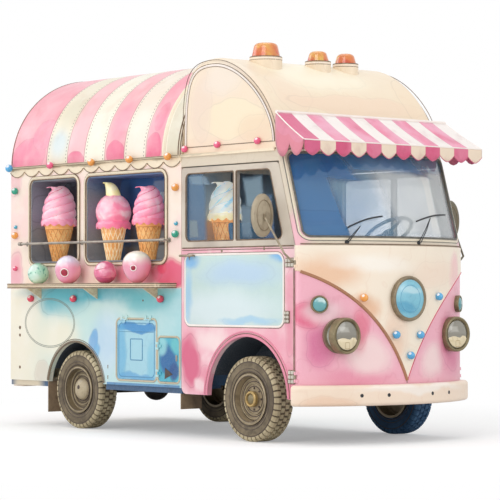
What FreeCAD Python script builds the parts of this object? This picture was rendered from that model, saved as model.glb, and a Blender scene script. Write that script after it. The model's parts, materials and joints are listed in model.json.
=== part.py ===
"""Ice cream truck: a forward-control van with a barrel-roofed serving box.

Frame: +X forward, +Y to the vehicle's left, +Z up, millimetres, the ground at Z = 0 and the origin
under the middle of the truck.  The driving sizes are in the spreadsheet "Sizes" and the places that
follow from them in "Derived"; every sub-part is an object of the document whose Label names its file.
"""
import FreeCAD, Part
import math
import os
import re

import Sketcher
from FreeCAD import Placement, Rotation, Vector

SIZES = [
    # alias, millimetres or degrees, what it is
    ("half_width", 860, "middle plane to the outer face of a side"),
    ("wall", 40, "thickness of the box walls, doors and front panels"),
    ("rear_x", -2054, "outer face of the rear wall"),
    ("seam_x", 362, "front end of the box, where the cab doors close"),
    ("nose_x", 2054, "foremost point of the front panel"),
    ("nose_bow", 278, "how far the middle of the front stands ahead of its corners"),
    ("corner_radius", 60, "rounding between the front and a side"),
    ("windscreen_rake", 223, "how far the front leans back from belt to gutter"),
    ("sill_z", 389, "bottom edge of the box walls"),
    ("cab_bottom_z", 345, "bottom edge of the doors and front panels"),
    ("belt_z", 1504, "top edge of the front panels"),
    ("gutter_z", 2249, "rain gutter, where both roofs start"),
    ("vault_rise", 806, "height of the box roof over the gutter"),
    ("arch_rise", 744, "height of the cab roof over the gutter"),
    ("arch_rear", 402, "crown of the cab roof ahead of the seam"),
    ("arch_overhang", 31, "cab roof's front edge ahead of the tops of the pillars"),
    ("ridge_drop", 40, "ridge of the cab roof below its crown"),
    ("ridge_inset", 30, "ridge of the cab roof inside the body's sides"),
    ("roof_skin", 30, "thickness of the cab roof"),
    ("roof_edge_radius", 60, "rounding of the cab roof's side edges"),
    ("floor_top_z", 530, "upper face of the floor"),
    ("floor_thickness", 30, "thickness of the floor"),
    ("door_gap", 5, "gap round the doors and hatches"),
    ("seat_gap", 0.3, "gap between curved faces that sit together"),
    # running gear
    ("wheel_radius", 330, "outer radius of the tyres"),
    ("rim_radius", 190, "bead seat radius of the rims"),
    ("rim_thickness", 12, "thickness of a rim's barrel"),
    ("rim_lip", 8, "height of a rim's lips over the bead seat"),
    ("disc_low", 24, "inner face of a wheel disc, outboard of the rim's middle"),
    ("disc_high", 38, "outer face of a wheel disc, outboard of the rim's middle"),
    ("hub_radius", 60, "radius of a hub cap"),
    ("hub_reach", 64, "end of a hub cap, outboard of the rim's middle"),
    ("hub_neck_radius", 48, "radius of a hub behind the wheel disc"),
    ("hub_back", 30, "back of a hub, inboard of the rim's middle"),
    ("tyre_width", 190, "width of the tyres"),
    ("tyre_shoulder", 34, "height of the tyres' sloping shoulders"),
    ("tyre_bead", 40, "height of the tyres' sloping beads"),
    ("track_inset", 115, "middle of a tyre inside the body's side"),
    ("kingpin_inset", 105, "kingpin inside the middle of a tyre"),
    ("rear_axle_x", -1077, "rear axle"),
    ("front_axle_x", 1176, "front axle"),
    ("axle_drop", 10, "front axle beam below the wheels' middle"),
    ("beam_width", 70, "width of the front axle beam"),
    ("beam_height", 50, "height of the front axle beam"),
    ("eye_radius", 34, "eyes of the front axle for the kingpins"),
    ("eye_height", 60, "height of an axle eye"),
    ("pin_radius", 14, "radius of a kingpin"),
    ("stub_radius", 22, "radius of a stub axle"),
    ("stub_reach", 62, "end of a stub axle outboard of the tyre's middle"),
    ("ear_height", 22, "thickness of a steering knuckle's ears"),
    ("knuckle_web_y", 40, "web of a steering knuckle outboard of its kingpin"),
    ("knuckle_width", 60, "width of a steering knuckle"),
    ("axle_tube_radius", 38, "tube of the rear axle"),
    ("differential_radius", 115, "housing of the differential"),
    ("spring_half_length", 420, "axle to a spring hanger"),
    ("spring_thickness", 14, "thickness of a leaf spring"),
    ("spring_pad", 12, "seat of a leaf spring on its axle"),
    ("hanger_width", 30, "width of a spring hanger"),
    ("rear_arch_radius", 400, "rear wheel arch"),
    ("front_arch_radius", 480, "front wheel arch"),
    ("well_skin", 12, "thickness of the wheel housings"),
    ("well_margin", 50, "rear wheel housing inboard of the tyre"),
    ("well_rail_gap", 40, "front wheel housing outboard of a chassis rail"),
    # chassis
    ("rail_y", 395, "middle plane to the middle of a chassis rail"),
    ("rail_width", 70, "width of a chassis rail"),
    ("rail_height", 100, "height of a chassis rail"),
    ("rail_rear_gap", 20, "chassis rails' end ahead of the rear wall"),
    ("rail_front_gap", 160, "chassis rails' end behind the nose"),
    ("member_width", 60, "width of cross members, outriggers and drops"),
    ("member_step", 10, "cross members lower and higher than the rails' faces"),
    ("member_reach", 430, "axle to the cross members beside it"),
    ("front_member_gap", 400, "foremost cross member behind the nose"),
    ("outrigger_height", 30, "height of an outrigger"),
    ("outrigger_inset", 110, "outriggers inside the ends of a sill"),
    ("sill_gap", 20, "sills inside the box walls"),
    ("sill_tuck", 10, "sills behind the body's side"),
    ("sill_arch_gap", 20, "end of a sill beside a wheel arch"),
    ("bracket_height", 40, "height of a bumper bracket"),
    ("bracket_length", 300, "length of a bumper bracket behind the front"),
    ("bracket_lift", 3, "bumper brackets above the bumper's bottom edge"),
    ("flap_thickness", 8, "thickness of the mudflaps"),
    ("rear_flap_drop", 263, "length of the rear mudflaps under the sill"),
    ("front_flap_drop", 125, "length of the front mudflaps under the cab"),
    # drive
    ("engine_x", 700, "rear face of the engine"),
    ("engine_length", 600, "length of the engine block"),
    ("engine_half_width", 200, "half the width of the engine block"),
    ("engine_low_z", 420, "bottom of the engine"),
    ("engine_height", 480, "height of the engine block"),
    ("engine_gap", 5, "gap between the engine and its opening in the floor"),
    ("engine_arm_height", 40, "height of the engine's arms"),
    ("pipe_radius", 24, "radius of the exhaust pipe"),
    ("pipe_z", 370, "height of the exhaust pipe"),
    ("pipe_y", 250, "exhaust pipe, left of the middle"),
    ("pipe_rise", 80, "height of the exhaust port over the pipe"),
    ("silencer_radius", 68, "radius of the silencer"),
    ("silencer_length", 350, "length of the silencer"),
    ("silencer_x", 0, "front end of the silencer"),
    ("outlet_gap", 60, "exhaust outlet behind the silencer"),
    ("outlet_tuck", 75, "exhaust outlet inside the body's side"),
    # serving box
    ("rear_window_inset", 310, "rear serving window ahead of the rear wall"),
    ("rear_window_width", 700, "width of the rear serving window"),
    ("front_window_inset", 202, "front serving window behind the cab seam"),
    ("front_window_width", 1080, "width of the front serving window"),
    ("window_low_z", 1405, "bottom edge of the serving windows"),
    ("window_header", 128, "top edge of the serving windows below the gutter"),
    ("window_radius", 60, "corner radius of the serving windows"),
    ("frame_border", 28, "width of the serving windows' frames"),
    ("frame_proud", 12, "how far the serving windows' frames stand proud"),
    ("bay_depth", 360, "depth of the display bays behind the serving windows"),
    ("bay_skin", 12, "thickness of the display bays"),
    ("bay_margin", 8, "display bays' end behind their glass"),
    ("glass_thickness", 8, "thickness of every pane"),
    ("glass_inset", 14, "panes behind the faces they are set in"),
    ("counter_top_z", 1228, "upper face of the serving counter"),
    ("counter_thickness", 42, "thickness of the serving counter"),
    ("counter_depth", 200, "how far the serving counter stands out"),
    ("counter_radius", 40, "corner radius of the serving counter"),
    ("counter_rear_inset", 214, "serving counter ahead of the rear wall"),
    ("counter_front_inset", 62, "serving counter behind the cab seam"),
    ("counter_bracket_inset", 250, "outer counter brackets inside the counter's ends"),
    ("counter_bracket_reach", 150, "how far a counter bracket stands out"),
    ("counter_bracket_drop", 90, "height of a counter bracket"),
    ("counter_bracket_width", 12, "thickness of a counter bracket"),
    ("guard_rise", 166, "guard bar over the serving windows' bottom edge"),
    ("guard_reach", 75, "guard bar outside the body's side"),
    ("guard_radius", 11, "radius of the guard bar"),
    ("guard_post_radius", 8, "radius of the guard bar's posts"),
    ("guard_foot_radius", 20, "radius of the guard bar's feet"),
    ("guard_foot_height", 6, "height of the guard bar's feet"),
    ("guard_foot_gap", 2, "guard bar's end feet beside the window frames"),
    ("guard_rear_overhang", 18, "guard bar beyond its rear post"),
    ("guard_front_overhang", 15, "guard bar beyond its front post"),
    ("cone_neck", 68, "width of a display cone at its foot"),
    ("cone_foot_radius", 60, "radius of a display cone's foot"),
    ("cone_foot_height", 30, "height of a display cone's foot"),
    ("cone_wafer_height", 360, "height of a display cone's wafer"),
    ("cone_header", 12, "top of a display cone below the window's top edge"),
    ("cone_front_gap", 4, "display cones behind the body's side"),
    ("cab_cone_ahead", 153, "middle of the cab's display cone ahead of the bulkhead"),
    ("cab_cone_y", 680, "that cone's outer side from the middle plane"),
    ("cab_shelf_y", 534, "middle of the shelf under the cab's cone from the middle plane"),
    ("cab_shelf_depth", 238, "depth of the shelf under the cab's cone"),
    ("cab_shelf_half_width", 105, "half the width of that shelf"),
    ("cab_shelf_thickness", 25, "thickness of that shelf"),
    ("treat_gap", 16, "gap between the counter treats and the body's side"),
    ("treat_sink", 8, "height cut off the foot of a counter treat"),
    ("flap_inset", 20, "filler flap behind the cab seam"),
    ("flap_width", 269, "width of the filler flap"),
    ("flap_rise", 41, "filler flap above the bottom edge of the wall"),
    ("flap_height", 360, "height of the filler flap"),
    ("hatch_spacing", 34, "wall between the service hatch and the filler flap"),
    ("hatch_width", 533, "width of the service hatch"),
    ("hatch_rise", 46, "service hatch above the bottom edge of the wall"),
    ("hatch_height", 495, "height of the service hatch"),
    ("hatch_radius", 20, "corner radius of the hatch openings"),
    ("lid_thickness", 30, "thickness of the hatch lids"),
    ("hinge_radius", 8, "radius of the hinge knuckles"),
    ("hinge_leaf", 34, "width of a hinge leaf"),
    ("hinge_offset", 1, "hinge knuckles clear of the face they stand on"),
    ("knuckle_gap", 0.3, "gap between neighbouring hinge knuckles"),
    ("gutter_drop", 22, "height of the gutter's channel"),
    ("gutter_reach", 25, "how far the box's gutter stands out"),
    ("cab_gutter_reach", 18, "how far the cab's gutter stands out"),
    ("cab_gutter_end", 340, "front end of the cab's gutter ahead of the front axle"),
    ("fascia_thickness", 8, "thickness of the scalloped fascia"),
    ("fascia_strip", 30, "height of the fascia above its scallops"),
    ("fascia_drop", 45, "depth of the fascia's scallops"),
    ("fascia_count", 11, "number of scallops"),
    ("rear_doorway_width", 760, "width of the rear doorway"),
    ("rear_doorway_rise", 30, "rear doorway's sill above the floor"),
    ("rear_doorway_header", 89, "top of the rear doorway below the gutter"),
    ("bulkhead_doorway_width", 700, "width of the doorway between box and cab"),
    ("bulkhead_doorway_header", 129, "top of that doorway below the gutter"),
    ("tail_lamp_inset", 160, "tail lamps inside the body's side"),
    ("tail_lamp_z", 900, "height of the lower tail lamps"),
    ("tail_lamp_pitch", 160, "distance between the tail lamps"),
    ("tail_lamp_radius", 58, "radius of the tail lamps"),
    ("tail_lamp_reach", 22, "depth of the tail lamps' bodies"),
    # cab
    ("door_header", 109, "top edge of the cab doors below the gutter"),
    ("door_window_sill", 52, "door windows above the belt"),
    ("door_window_header", 48, "door windows below the top edge of the door"),
    ("door_border", 58, "door window inside the rear edge of the door"),
    ("door_front_border", 118, "door window inside the front edge of the door"),
    ("divider_inset", 668, "pillar in the door window ahead of the seam"),
    ("divider_width", 30, "width of the pillar in a door window"),
    ("hinge_ahead", 3, "door hinge line ahead of the door's front edge"),
    ("door_hinge_length", 80, "length of a door hinge"),
    ("upper_hinge_drop", 169, "foot of the upper door hinges below the belt"),
    ("lower_hinge_rise", 20, "foot of the lower door hinges above the bumper"),
    ("handle_drop", 62, "door handles below the belt"),
    ("handle_length", 165, "length of a door handle"),
    ("handle_reach", 34, "how far a door handle stands out"),
    ("handle_radius", 9, "radius of a door handle"),
    ("mirror_rise", 227, "middle of the mirrors above the belt"),
    ("mirror_reach", 135, "middle of the mirrors outside the body's side"),
    ("mirror_back", 228, "mirrors behind the door hinges"),
    ("mirror_half_width", 100, "half the width of a mirror"),
    ("mirror_half_height", 165, "half the height of a mirror"),
    ("mirror_depth", 44, "depth of a mirror's shell"),
    ("mirror_rounding", 14, "rounding of a mirror's shell"),
    ("mirror_arm_radius", 8, "radius of the mirror arms"),
    ("windscreen_inset", 44, "windscreen opening inside the body's side"),
    ("windscreen_sill", 67, "windscreen opening above the belt"),
    ("windscreen_header", 38, "windscreen opening below the gutter"),
    ("windscreen_radius", 50, "corner radius of the windscreen"),
    ("header_height", 30, "height of the header over the windscreen"),
    ("v_tip_rise", 137, "lowest point of the V panel above the bottom edge"),
    ("v_waist_y", 300, "middle plane to the V panel's edge at its waist"),
    ("v_waist_z", 940, "height of the V panel's waist"),
    ("v_shoulder_drop", 184, "where the V panel reaches the sides below the belt"),
    ("panel_proud", 8, "how far the front V panel stands proud of its neighbours"),
    ("bumper_reach", 62, "how far a bumper stands ahead of the nose or rear wall"),
    ("bumper_low_z", 297, "bottom edge of the front bumper"),
    ("bumper_height", 158, "height of the front bumper"),
    ("bumper_rounding", 28, "rounding of the front bumper's long edges"),
    ("bumper_hole_radius", 12, "holes for a plate or lamp bar in the front bumper"),
    ("bumper_hole_pitch", 230, "distance between neighbouring bumper holes"),
    ("step_depth", 100, "rear step under the box"),
    ("step_height", 50, "height of the rear step"),
    ("step_drop", 15, "bottom of the rear step below the cab's bottom edge"),
    ("headlamp_radius", 135, "outer radius of the headlamps"),
    ("headlamp_inset", 276, "headlamps inside the body's side"),
    ("headlamp_z", 825, "height of the headlamps"),
    ("headlamp_reach", 34, "how far the headlamps stand proud"),
    ("marker_radius", 65, "outer radius of the front marker lamps"),
    ("marker_inset", 132, "front marker lamps inside the body's side"),
    ("marker_z", 1061, "height of the front marker lamps"),
    ("marker_reach", 22, "how far the front marker lamps stand proud"),
    ("lamp_neck", 15, "necks of the lamps smaller than their rings"),
    ("lamp_ring", 22, "width of the lamps' rings"),
    ("badge_radius", 170, "radius of the round front badge"),
    ("badge_neck", 20, "neck of the badge smaller than its disc"),
    ("badge_reach", 25, "how far the badge stands proud"),
    ("badge_z", 1103, "height of the front badge"),
    ("beacon_stand", 6, "top of the beacon bases above the cab roof's crown"),
    ("beacon_sink", 112, "foot of the beacon bases below the crown"),
    ("beacon_ahead", 193, "beacons ahead of the cab roof's crown"),
    ("beacon_ring", 14, "beacon domes inside their bases"),
    ("beacon_taper", 26, "beacon domes narrower at the top"),
    ("beacon_rounding", 40, "rounding of the beacon domes' tops"),
    ("awning_top_rise", 263, "upper edge of the awning above the gutter"),
    ("awning_bar_rise", 36, "front bar of the awning above the gutter"),
    ("awning_reach", 368, "front bar of the awning ahead of the cab roof"),
    ("awning_overhang", 80, "awning's front corners outside the body's side"),
    ("awning_clearance", 12, "awning cloth above the roof at its upper edge"),
    ("valance_depth", 110, "depth of the awning's hanging edge"),
    ("awning_cloth", 8, "thickness of the awning solid"),
    ("tube_radius", 12, "awning tubes"),
    ("arm_radius", 9, "awning arms"),
    ("arm_foot_rise", 90, "feet of the awning arms above the gutter"),
    ("bar_setback", 30, "front tube of the awning behind the cloth's edge"),
    ("dash_drop", 324, "bottom of the dashboard below the belt"),
    ("dash_gap", 6, "top of the dashboard below the belt"),
    ("dash_back", 85, "dashboard's rear face behind the door edge"),
    ("steering_back", 205, "steering wheel behind the door edge"),
    ("steering_y", 290, "steering wheel left of the middle"),
    ("steering_rise", 116, "steering wheel above the belt"),
    ("steering_lean", 35, "degrees that the steering wheel leans forward"),
    ("steering_radius", 200, "radius of the steering wheel"),
    ("steering_rim", 14, "radius of the steering wheel's rim section"),
    ("steering_hub_radius", 45, "radius of the steering wheel's hub"),
    ("steering_hub_back", 16, "steering wheel's hub behind its rim"),
    ("column_radius", 24, "radius of the steering column"),
    ("column_length", 260, "steering wheel to the column's end in the dashboard"),
    ("seat_y", 440, "middle plane to the middle of a cab seat"),
    ("seat_half_width", 205, "half the width of a cab seat"),
    ("seat_x", 840, "rear edge of the seat cushions"),
    ("seat_depth", 470, "depth of a seat cushion"),
    ("seat_z", 961, "underside of the seat cushions"),
    ("seat_cushion", 120, "thickness of a seat cushion"),
    ("seat_back_height", 639, "height of a seat back above its cushion"),
    ("seat_back_thickness", 80, "thickness of a seat back"),
    ("seat_back_lean", 120, "how far a seat back leans back"),
    ("pedestal_inset", 30, "seat pedestals inside the cushions"),
]

DERIVED = [
    # alias, formula, what it is
    ("nose_radius", "(half_width ^ 2 + nose_bow ^ 2) / (2 * nose_bow)", "arc of the front in plan"),
    ("nose_centre_x", "nose_x - nose_radius", "centre of that arc"),
    ("corner_x", "nose_centre_x + sqrt((nose_radius - corner_radius) ^ 2 - (half_width - corner_radius) ^ 2)",
     "where the rounding between front and side starts, the front edge of the doorways"),
    ("lean", "windscreen_rake / (gutter_z - belt_z)", "slope of the windscreen"),
    ("arch_front_x", "corner_x - windscreen_rake + arch_overhang", "front edge of the cab roof"),
    ("arch_crown_x", "seam_x + arch_rear", "crown of the cab roof"),
    ("half_track", "half_width - track_inset", "middle plane to the middle of a tyre"),
    ("kingpin_y", "half_track - kingpin_inset", "middle plane to a kingpin"),
    ("axle_z", "wheel_radius - axle_drop", "middle of the front axle beam"),
    ("rear_spring_z", "wheel_radius + axle_tube_radius - spring_pad", "seat of the rear springs"),
    ("front_spring_z", "axle_z + beam_height / 2 + spring_pad", "seat of the front springs"),
    ("rail_low_z", "floor_top_z - floor_thickness - rail_height", "bottom of the chassis rails"),
    ("rail_inner_y", "rail_y - rail_width / 2", "inner face of a chassis rail"),
    ("rail_outer_y", "rail_y + rail_width / 2", "outer face of a chassis rail"),
    ("frame_rear_x", "rear_x + wall + rail_rear_gap", "rear end of the chassis rails"),
    ("frame_front_x", "nose_x - rail_front_gap", "front end of the chassis rails"),
    ("sill_inner_y", "half_width - wall - sill_gap", "inner face of the sills"),
    ("sill_outer_y", "half_width - sill_tuck", "outer face of the sills"),
    ("rear_sill_end_x", "rear_axle_x - rear_arch_radius - sill_arch_gap", "sill behind the rear wheel"),
    ("front_sill_end_x", "rear_axle_x + rear_arch_radius + sill_arch_gap", "sill ahead of the rear wheel"),
    ("bracket_nose_x", "nose_centre_x + (nose_radius + panel_proud) * sqrt(1 - (rail_y / nose_radius) ^ 2)",
     "front panel ahead of a chassis rail"),
    ("step_low_z", "cab_bottom_z - step_drop", "bottom of the rear step"),
    ("step_top_z", "step_low_z + step_height", "top of the rear step"),
    ("engine_front_x", "engine_x + engine_length", "front face of the engine"),
    ("pipe_front_x", "engine_x + 30", "exhaust port on the engine"),
    ("pipe_rear_x", "silencer_x - silencer_length - outlet_gap", "exhaust outlet"),
    ("rear_window_x", "rear_x + rear_window_inset", "rear edge of the rear serving window"),
    ("front_window_x", "seam_x - front_window_inset - front_window_width", "rear edge of the front one"),
    ("window_high_z", "gutter_z - window_header", "top edge of the serving windows"),
    ("bay_end_y", "half_width - bay_depth", "inner end of the display bays"),
    ("bay_glass_y", "bay_end_y + bay_margin + glass_thickness", "outer face of the bays' glass"),
    ("counter_rear_x", "rear_x + counter_rear_inset", "rear end of the serving counter"),
    ("counter_front_x", "seam_x - counter_front_inset", "front end of the serving counter"),
    ("guard_z", "window_low_z + guard_rise", "height of the guard bar"),
    ("guard_y", "half_width + guard_reach", "guard bar from the middle plane"),
    ("guard_rear_post_x", "rear_window_x - frame_border - guard_foot_gap - guard_foot_radius",
     "rear post of the guard bar"),
    ("guard_middle_post_x", "(rear_window_x + rear_window_width + front_window_x) / 2",
     "middle post of the guard bar, between the windows"),
    ("guard_front_post_x", "front_window_x + front_window_width + frame_border + guard_foot_gap + guard_foot_radius",
     "front post of the guard bar"),
    ("cone_outer_y", "half_width - cone_front_gap", "outer side of the display cones"),
    ("cone_low_z", "window_low_z + bay_skin", "foot of the display cones"),
    ("cone_height", "window_high_z - cone_header - cone_low_z", "height of the display cones"),
    ("scoop_height", "cone_height - cone_wafer_height", "height of the ice cream on a display cone"),
    ("flap_front_x", "seam_x - flap_inset", "front edge of the filler flap"),
    ("flap_rear_x", "flap_front_x - flap_width", "rear edge of the filler flap"),
    ("flap_low_z", "sill_z + flap_rise", "bottom edge of the filler flap"),
    ("flap_high_z", "flap_low_z + flap_height", "top edge of the filler flap"),
    ("hatch_front_x", "flap_rear_x - hatch_spacing", "front edge of the service hatch"),
    ("hatch_rear_x", "hatch_front_x - hatch_width", "rear edge of the service hatch"),
    ("hatch_low_z", "sill_z + hatch_rise", "bottom edge of the service hatch"),
    ("hatch_high_z", "hatch_low_z + hatch_height", "top edge of the service hatch"),
    ("rear_doorway_low_z", "floor_top_z + rear_doorway_rise", "sill of the rear doorway"),
    ("rear_doorway_high_z", "gutter_z - rear_doorway_header", "top of the rear doorway"),
    ("tail_lamp_y", "half_width - tail_lamp_inset", "tail lamps from the middle plane"),
    ("door_top_z", "gutter_z - door_header", "top edge of the cab doors"),
    ("door_window_low_z", "belt_z + door_window_sill", "bottom edge of the door windows"),
    ("door_window_high_z", "door_top_z - door_window_header", "top edge of the door windows"),
    ("divider_x", "seam_x + divider_inset", "pillar in the door windows"),
    ("hinge_x", "corner_x + hinge_ahead", "door hinge line"),
    ("hinge_y", "half_width + hinge_radius + hinge_offset", "door hinge line from the middle plane"),
    ("upper_hinge_z", "belt_z - upper_hinge_drop", "foot of the upper door hinges"),
    ("lower_hinge_z", "bumper_high_z + lower_hinge_rise", "foot of the lower door hinges"),
    ("windscreen_half", "half_width - windscreen_inset", "half the width of the windscreen opening"),
    ("windscreen_low_z", "belt_z + windscreen_sill", "bottom edge of the windscreen opening"),
    ("windscreen_high_z", "gutter_z - windscreen_header", "top edge of the windscreen opening"),
    ("bumper_high_z", "bumper_low_z + bumper_height", "top edge of the front bumper"),
    ("bumper_hole_z", "bumper_low_z + bumper_height / 2", "height of the bumper holes"),
    ("bumper_end_x", "hinge_x + hinge_radius + door_gap", "ends of the front bumper, clear of the hinges"),
    ("headlamp_y", "half_width - headlamp_inset", "headlamps from the middle plane"),
    ("marker_y", "half_width - marker_inset", "front marker lamps from the middle plane"),
    ("crown_z", "gutter_z + arch_rise", "crown of the cab roof"),
    ("beacon_x", "arch_crown_x + beacon_ahead", "middle of the beacons"),
    ("beacon_low_z", "crown_z - beacon_sink", "foot of the beacon bases"),
    ("beacon_top_z", "crown_z + beacon_stand", "top of the beacon bases"),
    ("awning_top_z", "gutter_z + awning_top_rise", "upper edge of the awning"),
    ("awning_bar_z", "gutter_z + awning_bar_rise", "front bar of the awning"),
    ("awning_bar_x", "arch_front_x + awning_reach", "front bar of the awning"),
    ("awning_half_width", "half_width + awning_overhang", "middle plane to the awning's front corners"),
    ("dash_rear_x", "corner_x - dash_back", "rear face of the dashboard"),
    ("steering_x", "corner_x - steering_back", "middle of the steering wheel"),
    ("steering_z", "belt_z + steering_rise", "middle of the steering wheel"),
    ("seat_foot_z", "wheel_radius + front_arch_radius + well_skin + seat_gap", "foot of the seats"),
    ("cushion_top_z", "seat_z + seat_cushion", "top of the seat cushions"),
]

CONES = [
    # X of its axis, Y of its outer side, width
    ("rear_window_x + 181", "-cone_outer_y", 330),
    ("front_window_x + 168", "-cone_outer_y", 300),
    ("front_window_x + 653", "-cone_outer_y", 300),
    ("seam_x + cab_cone_ahead", "-cab_cone_y", 292),
]
TREATS = [
    # middle ahead of the counter's rear end, half the width, half the height
    (365, 93, 93),
    (831, 113, 122),
    (1335, 96, 96),
    (1797, 119, 135),
]
BEACONS = [
    # middle from the middle plane, radius of the base, height of the dome
    (-480, 130, 118),
    (70, 105, 90),
    (370, 105, 90),
]


doc = FreeCAD.newDocument("IceCreamTruck")
HOME = {}
for table, rows in (("Sizes", SIZES), ("Derived", DERIVED)):
    HOME.update({alias: table for alias, _, _ in rows})


def expression(formula, own_table=None):
    """A formula written in aliases as an expression on the spreadsheets."""
    def qualified(found):
        alias = found.group(1)
        return alias if HOME[alias] == own_table else "%s.%s" % (HOME[alias], alias)
    return re.sub(r"\b([a-z]\w*)\b(?!\()", qualified, str(formula))


def fill_sheet(name, rows):
    sheet = doc.addObject("Spreadsheet::Sheet", name)
    for row, (alias, _, meaning) in enumerate(rows, start=1):
        sheet.set("A%d" % row, alias)
        sheet.setAlias("B%d" % row, alias)
        sheet.set("C%d" % row, meaning)
    return sheet


sizes_sheet = fill_sheet("Sizes", SIZES)
for alias, number, _ in SIZES:
    sizes_sheet.set(alias, str(number))
derived_sheet = fill_sheet("Derived", DERIVED)
for alias, formula, _ in DERIVED:
    derived_sheet.set(alias, "=" + expression(formula, "Derived"))
doc.recompute()


class SheetReader:
    """Reads a cell of either spreadsheet as an attribute."""

    def __getattr__(self, alias):
        return float(doc.getObject(HOME[alias]).get(alias))


size = SheetReader()
SUB_PARTS = []
X_AXIS, Y_AXIS, Z_AXIS = Vector(1, 0, 0), Vector(0, 1, 0), Vector(0, 0, 1)


# ---------------------------------------------------------------- document helpers

def bind(piece, **formulas):
    for prop, formula in formulas.items():
        piece.setExpression(prop.replace("__", "."), expression(formula))
    return piece


def sub_part(piece, name):
    """Marks a document object as a sub-part that gets its own STEP file."""
    piece.Label = name
    SUB_PARTS.append(piece)
    return piece


def put(piece, at):
    """Binds a piece's place to three formulas."""
    return bind(piece, Placement__Base__x=at[0], Placement__Base__y=at[1], Placement__Base__z=at[2])


def span(side):
    low, high = side
    return "(%s) - (%s)" % (high, low)


def block(name, x, y, z):
    """A box between pairs of formulas: x, y and z each give its low and high side."""
    piece = doc.addObject("Part::Box", name)
    bind(piece, Length=span(x), Width=span(y), Height=span(z))
    return put(piece, (x[0], y[0], z[0]))


def rod(name, radius, length, start, axis=Z_AXIS):
    """A cylinder from a start point given by three formulas, along an axis."""
    piece = doc.addObject("Part::Cylinder", name)
    piece.Placement = Placement(Vector(), Rotation(Z_AXIS, axis))
    bind(piece, Radius=radius, Height=length)
    return put(piece, start)


def ball(name, radius, middle):
    piece = doc.addObject("Part::Sphere", name)
    bind(piece, Radius=radius)
    return put(piece, middle)


def cut(name, base, *tools):
    """Takes the tools away from the base, one after the other."""
    for number, tool in enumerate(tools, start=1):
        last = number == len(tools)
        step = doc.addObject("Part::Cut", name if last else "%s_cut_%d" % (name, number))
        step.Base, step.Tool = base, tool
        base = step
    return base


def fuse(name, pieces):
    piece = doc.addObject("Part::MultiFuse", name)
    piece.Shapes = pieces
    piece.Refine = True
    return piece


def gather(name, pieces):
    """Several solids as one sub-part."""
    piece = doc.addObject("Part::Compound", name)
    piece.Links = pieces
    return piece


def mirrored(piece, name):
    copy = doc.addObject("Part::Mirroring", name)
    copy.Source = piece
    copy.Normal = Y_AXIS
    return copy


def pair(piece):
    """The piece and its mirror image across the middle plane."""
    return [piece, mirrored(piece, piece.Name + "_mirrored")]


def feature(name, shape, placement=None):
    """A shape worked out in code from the spreadsheets' values."""
    piece = doc.addObject("Part::Feature", name)
    piece.Shape = shape
    piece.Placement = placement or Placement()
    return piece


def origin_plane(body, role):
    return next(item for item in body.Origin.OriginFeatures if item.Role == role)


def turned_body(name, corners, middle, plane):
    """A solid turned about the vertical axis of a sketch, from (radius, along) formulas.

    In the XY plane that axis is the vehicle's Y, in the XZ plane it is Z.
    """
    body = doc.addObject("PartDesign::Body", name)
    sketch = body.newObject("Sketcher::SketchObject", name + "_profile")
    sketch.AttachmentSupport = [(origin_plane(body, plane), "")]
    sketch.MapMode = "FlatFace"
    count = len(corners)
    rough = [Vector(200, 0, 0) + Rotation(Z_AXIS, 360 * i / count).multVec(Vector(100, 0, 0)) for i in range(count)]
    for i, start in enumerate(rough):
        sketch.addGeometry(Part.LineSegment(start, rough[(i + 1) % count]))
    for i in range(count):
        sketch.addConstraint(Sketcher.Constraint("Coincident", i, 2, (i + 1) % count, 1))
    for i, (radius, along) in enumerate(corners):
        for kind, value, formula in (("DistanceX", rough[i].x, radius), ("DistanceY", rough[i].y, along)):
            number = sketch.addConstraint(Sketcher.Constraint(kind, -1, 1, i, 1, value))
            sketch.setExpression("Constraints[%d]" % number, expression(formula))
    turn = body.newObject("PartDesign::Revolution", name + "_turn")
    turn.Profile = sketch
    turn.ReferenceAxis = (sketch, ["V_Axis"])
    turn.Angle = 360
    return put(body, middle)


def filleted_body(name, base, edge_wanted, radius):
    """Rounds the edges of a body's base feature that the test picks."""
    doc.recompute()
    names = ["Edge%d" % number for number, edge in enumerate(base.Shape.Edges, start=1) if edge_wanted(edge)]
    fillet = base.getParentGeoFeatureGroup().newObject("PartDesign::Fillet", name + "_rounding")
    fillet.Base = (base, names)
    return bind(fillet, Radius=radius)


def rounded_block(name, x, y, z, radius, axis=Y_AXIS):
    """A box between pairs of formulas, its four edges along the axis rounded."""
    body = doc.addObject("PartDesign::Body", name)
    box = body.newObject("PartDesign::AdditiveBox", name + "_box")
    bind(box, Length=span(x), Width=span(y), Height=span(z))
    filleted_body(name, box, lambda edge: edge.tangentAt(edge.FirstParameter).cross(axis).Length < 0.01, radius)
    return put(body, (x[0], y[0], z[0]))


# ---------------------------------------------------------------- shape helpers

def both_sides(shape):
    """The shape and its mirror image across the middle plane."""
    return [shape, shape.mirror(Vector(), Y_AXIS)]


def rounded_outline(corners):
    """A closed wire through (point, radius) corners of one plane."""
    count = len(corners)
    arcs, starts, ends = [], [], []
    for i, (corner, radius) in enumerate(corners):
        before, after = corners[i - 1][0], corners[(i + 1) % count][0]
        into, out = (before - corner).normalize(), (after - corner).normalize()
        half = into.getAngle(out) / 2
        reach = radius / math.tan(half)
        starts.append(corner + into * reach)
        ends.append(corner + out * reach)
        centre = corner + (into + out).normalize() * (radius / math.sin(half))
        arcs.append(Part.Arc(starts[i], centre + (corner - centre).normalize() * radius, ends[i]).toShape())
    edges = []
    for i, arc in enumerate(arcs):
        edges.append(arc)
        following = starts[(i + 1) % count]
        if (following - ends[i]).Length > 1e-6:
            edges.append(Part.makeLine(ends[i], following))
    return Part.Wire(edges)


def side_plate(corners, outer, thickness):
    """An upright plate from (x, z, radius) corners, its outer face at Y = -outer."""
    outline = rounded_outline([(Vector(x, -outer, z), radius) for x, z, radius in corners])
    return Part.Face(outline).extrude(Vector(0, thickness, 0))


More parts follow.
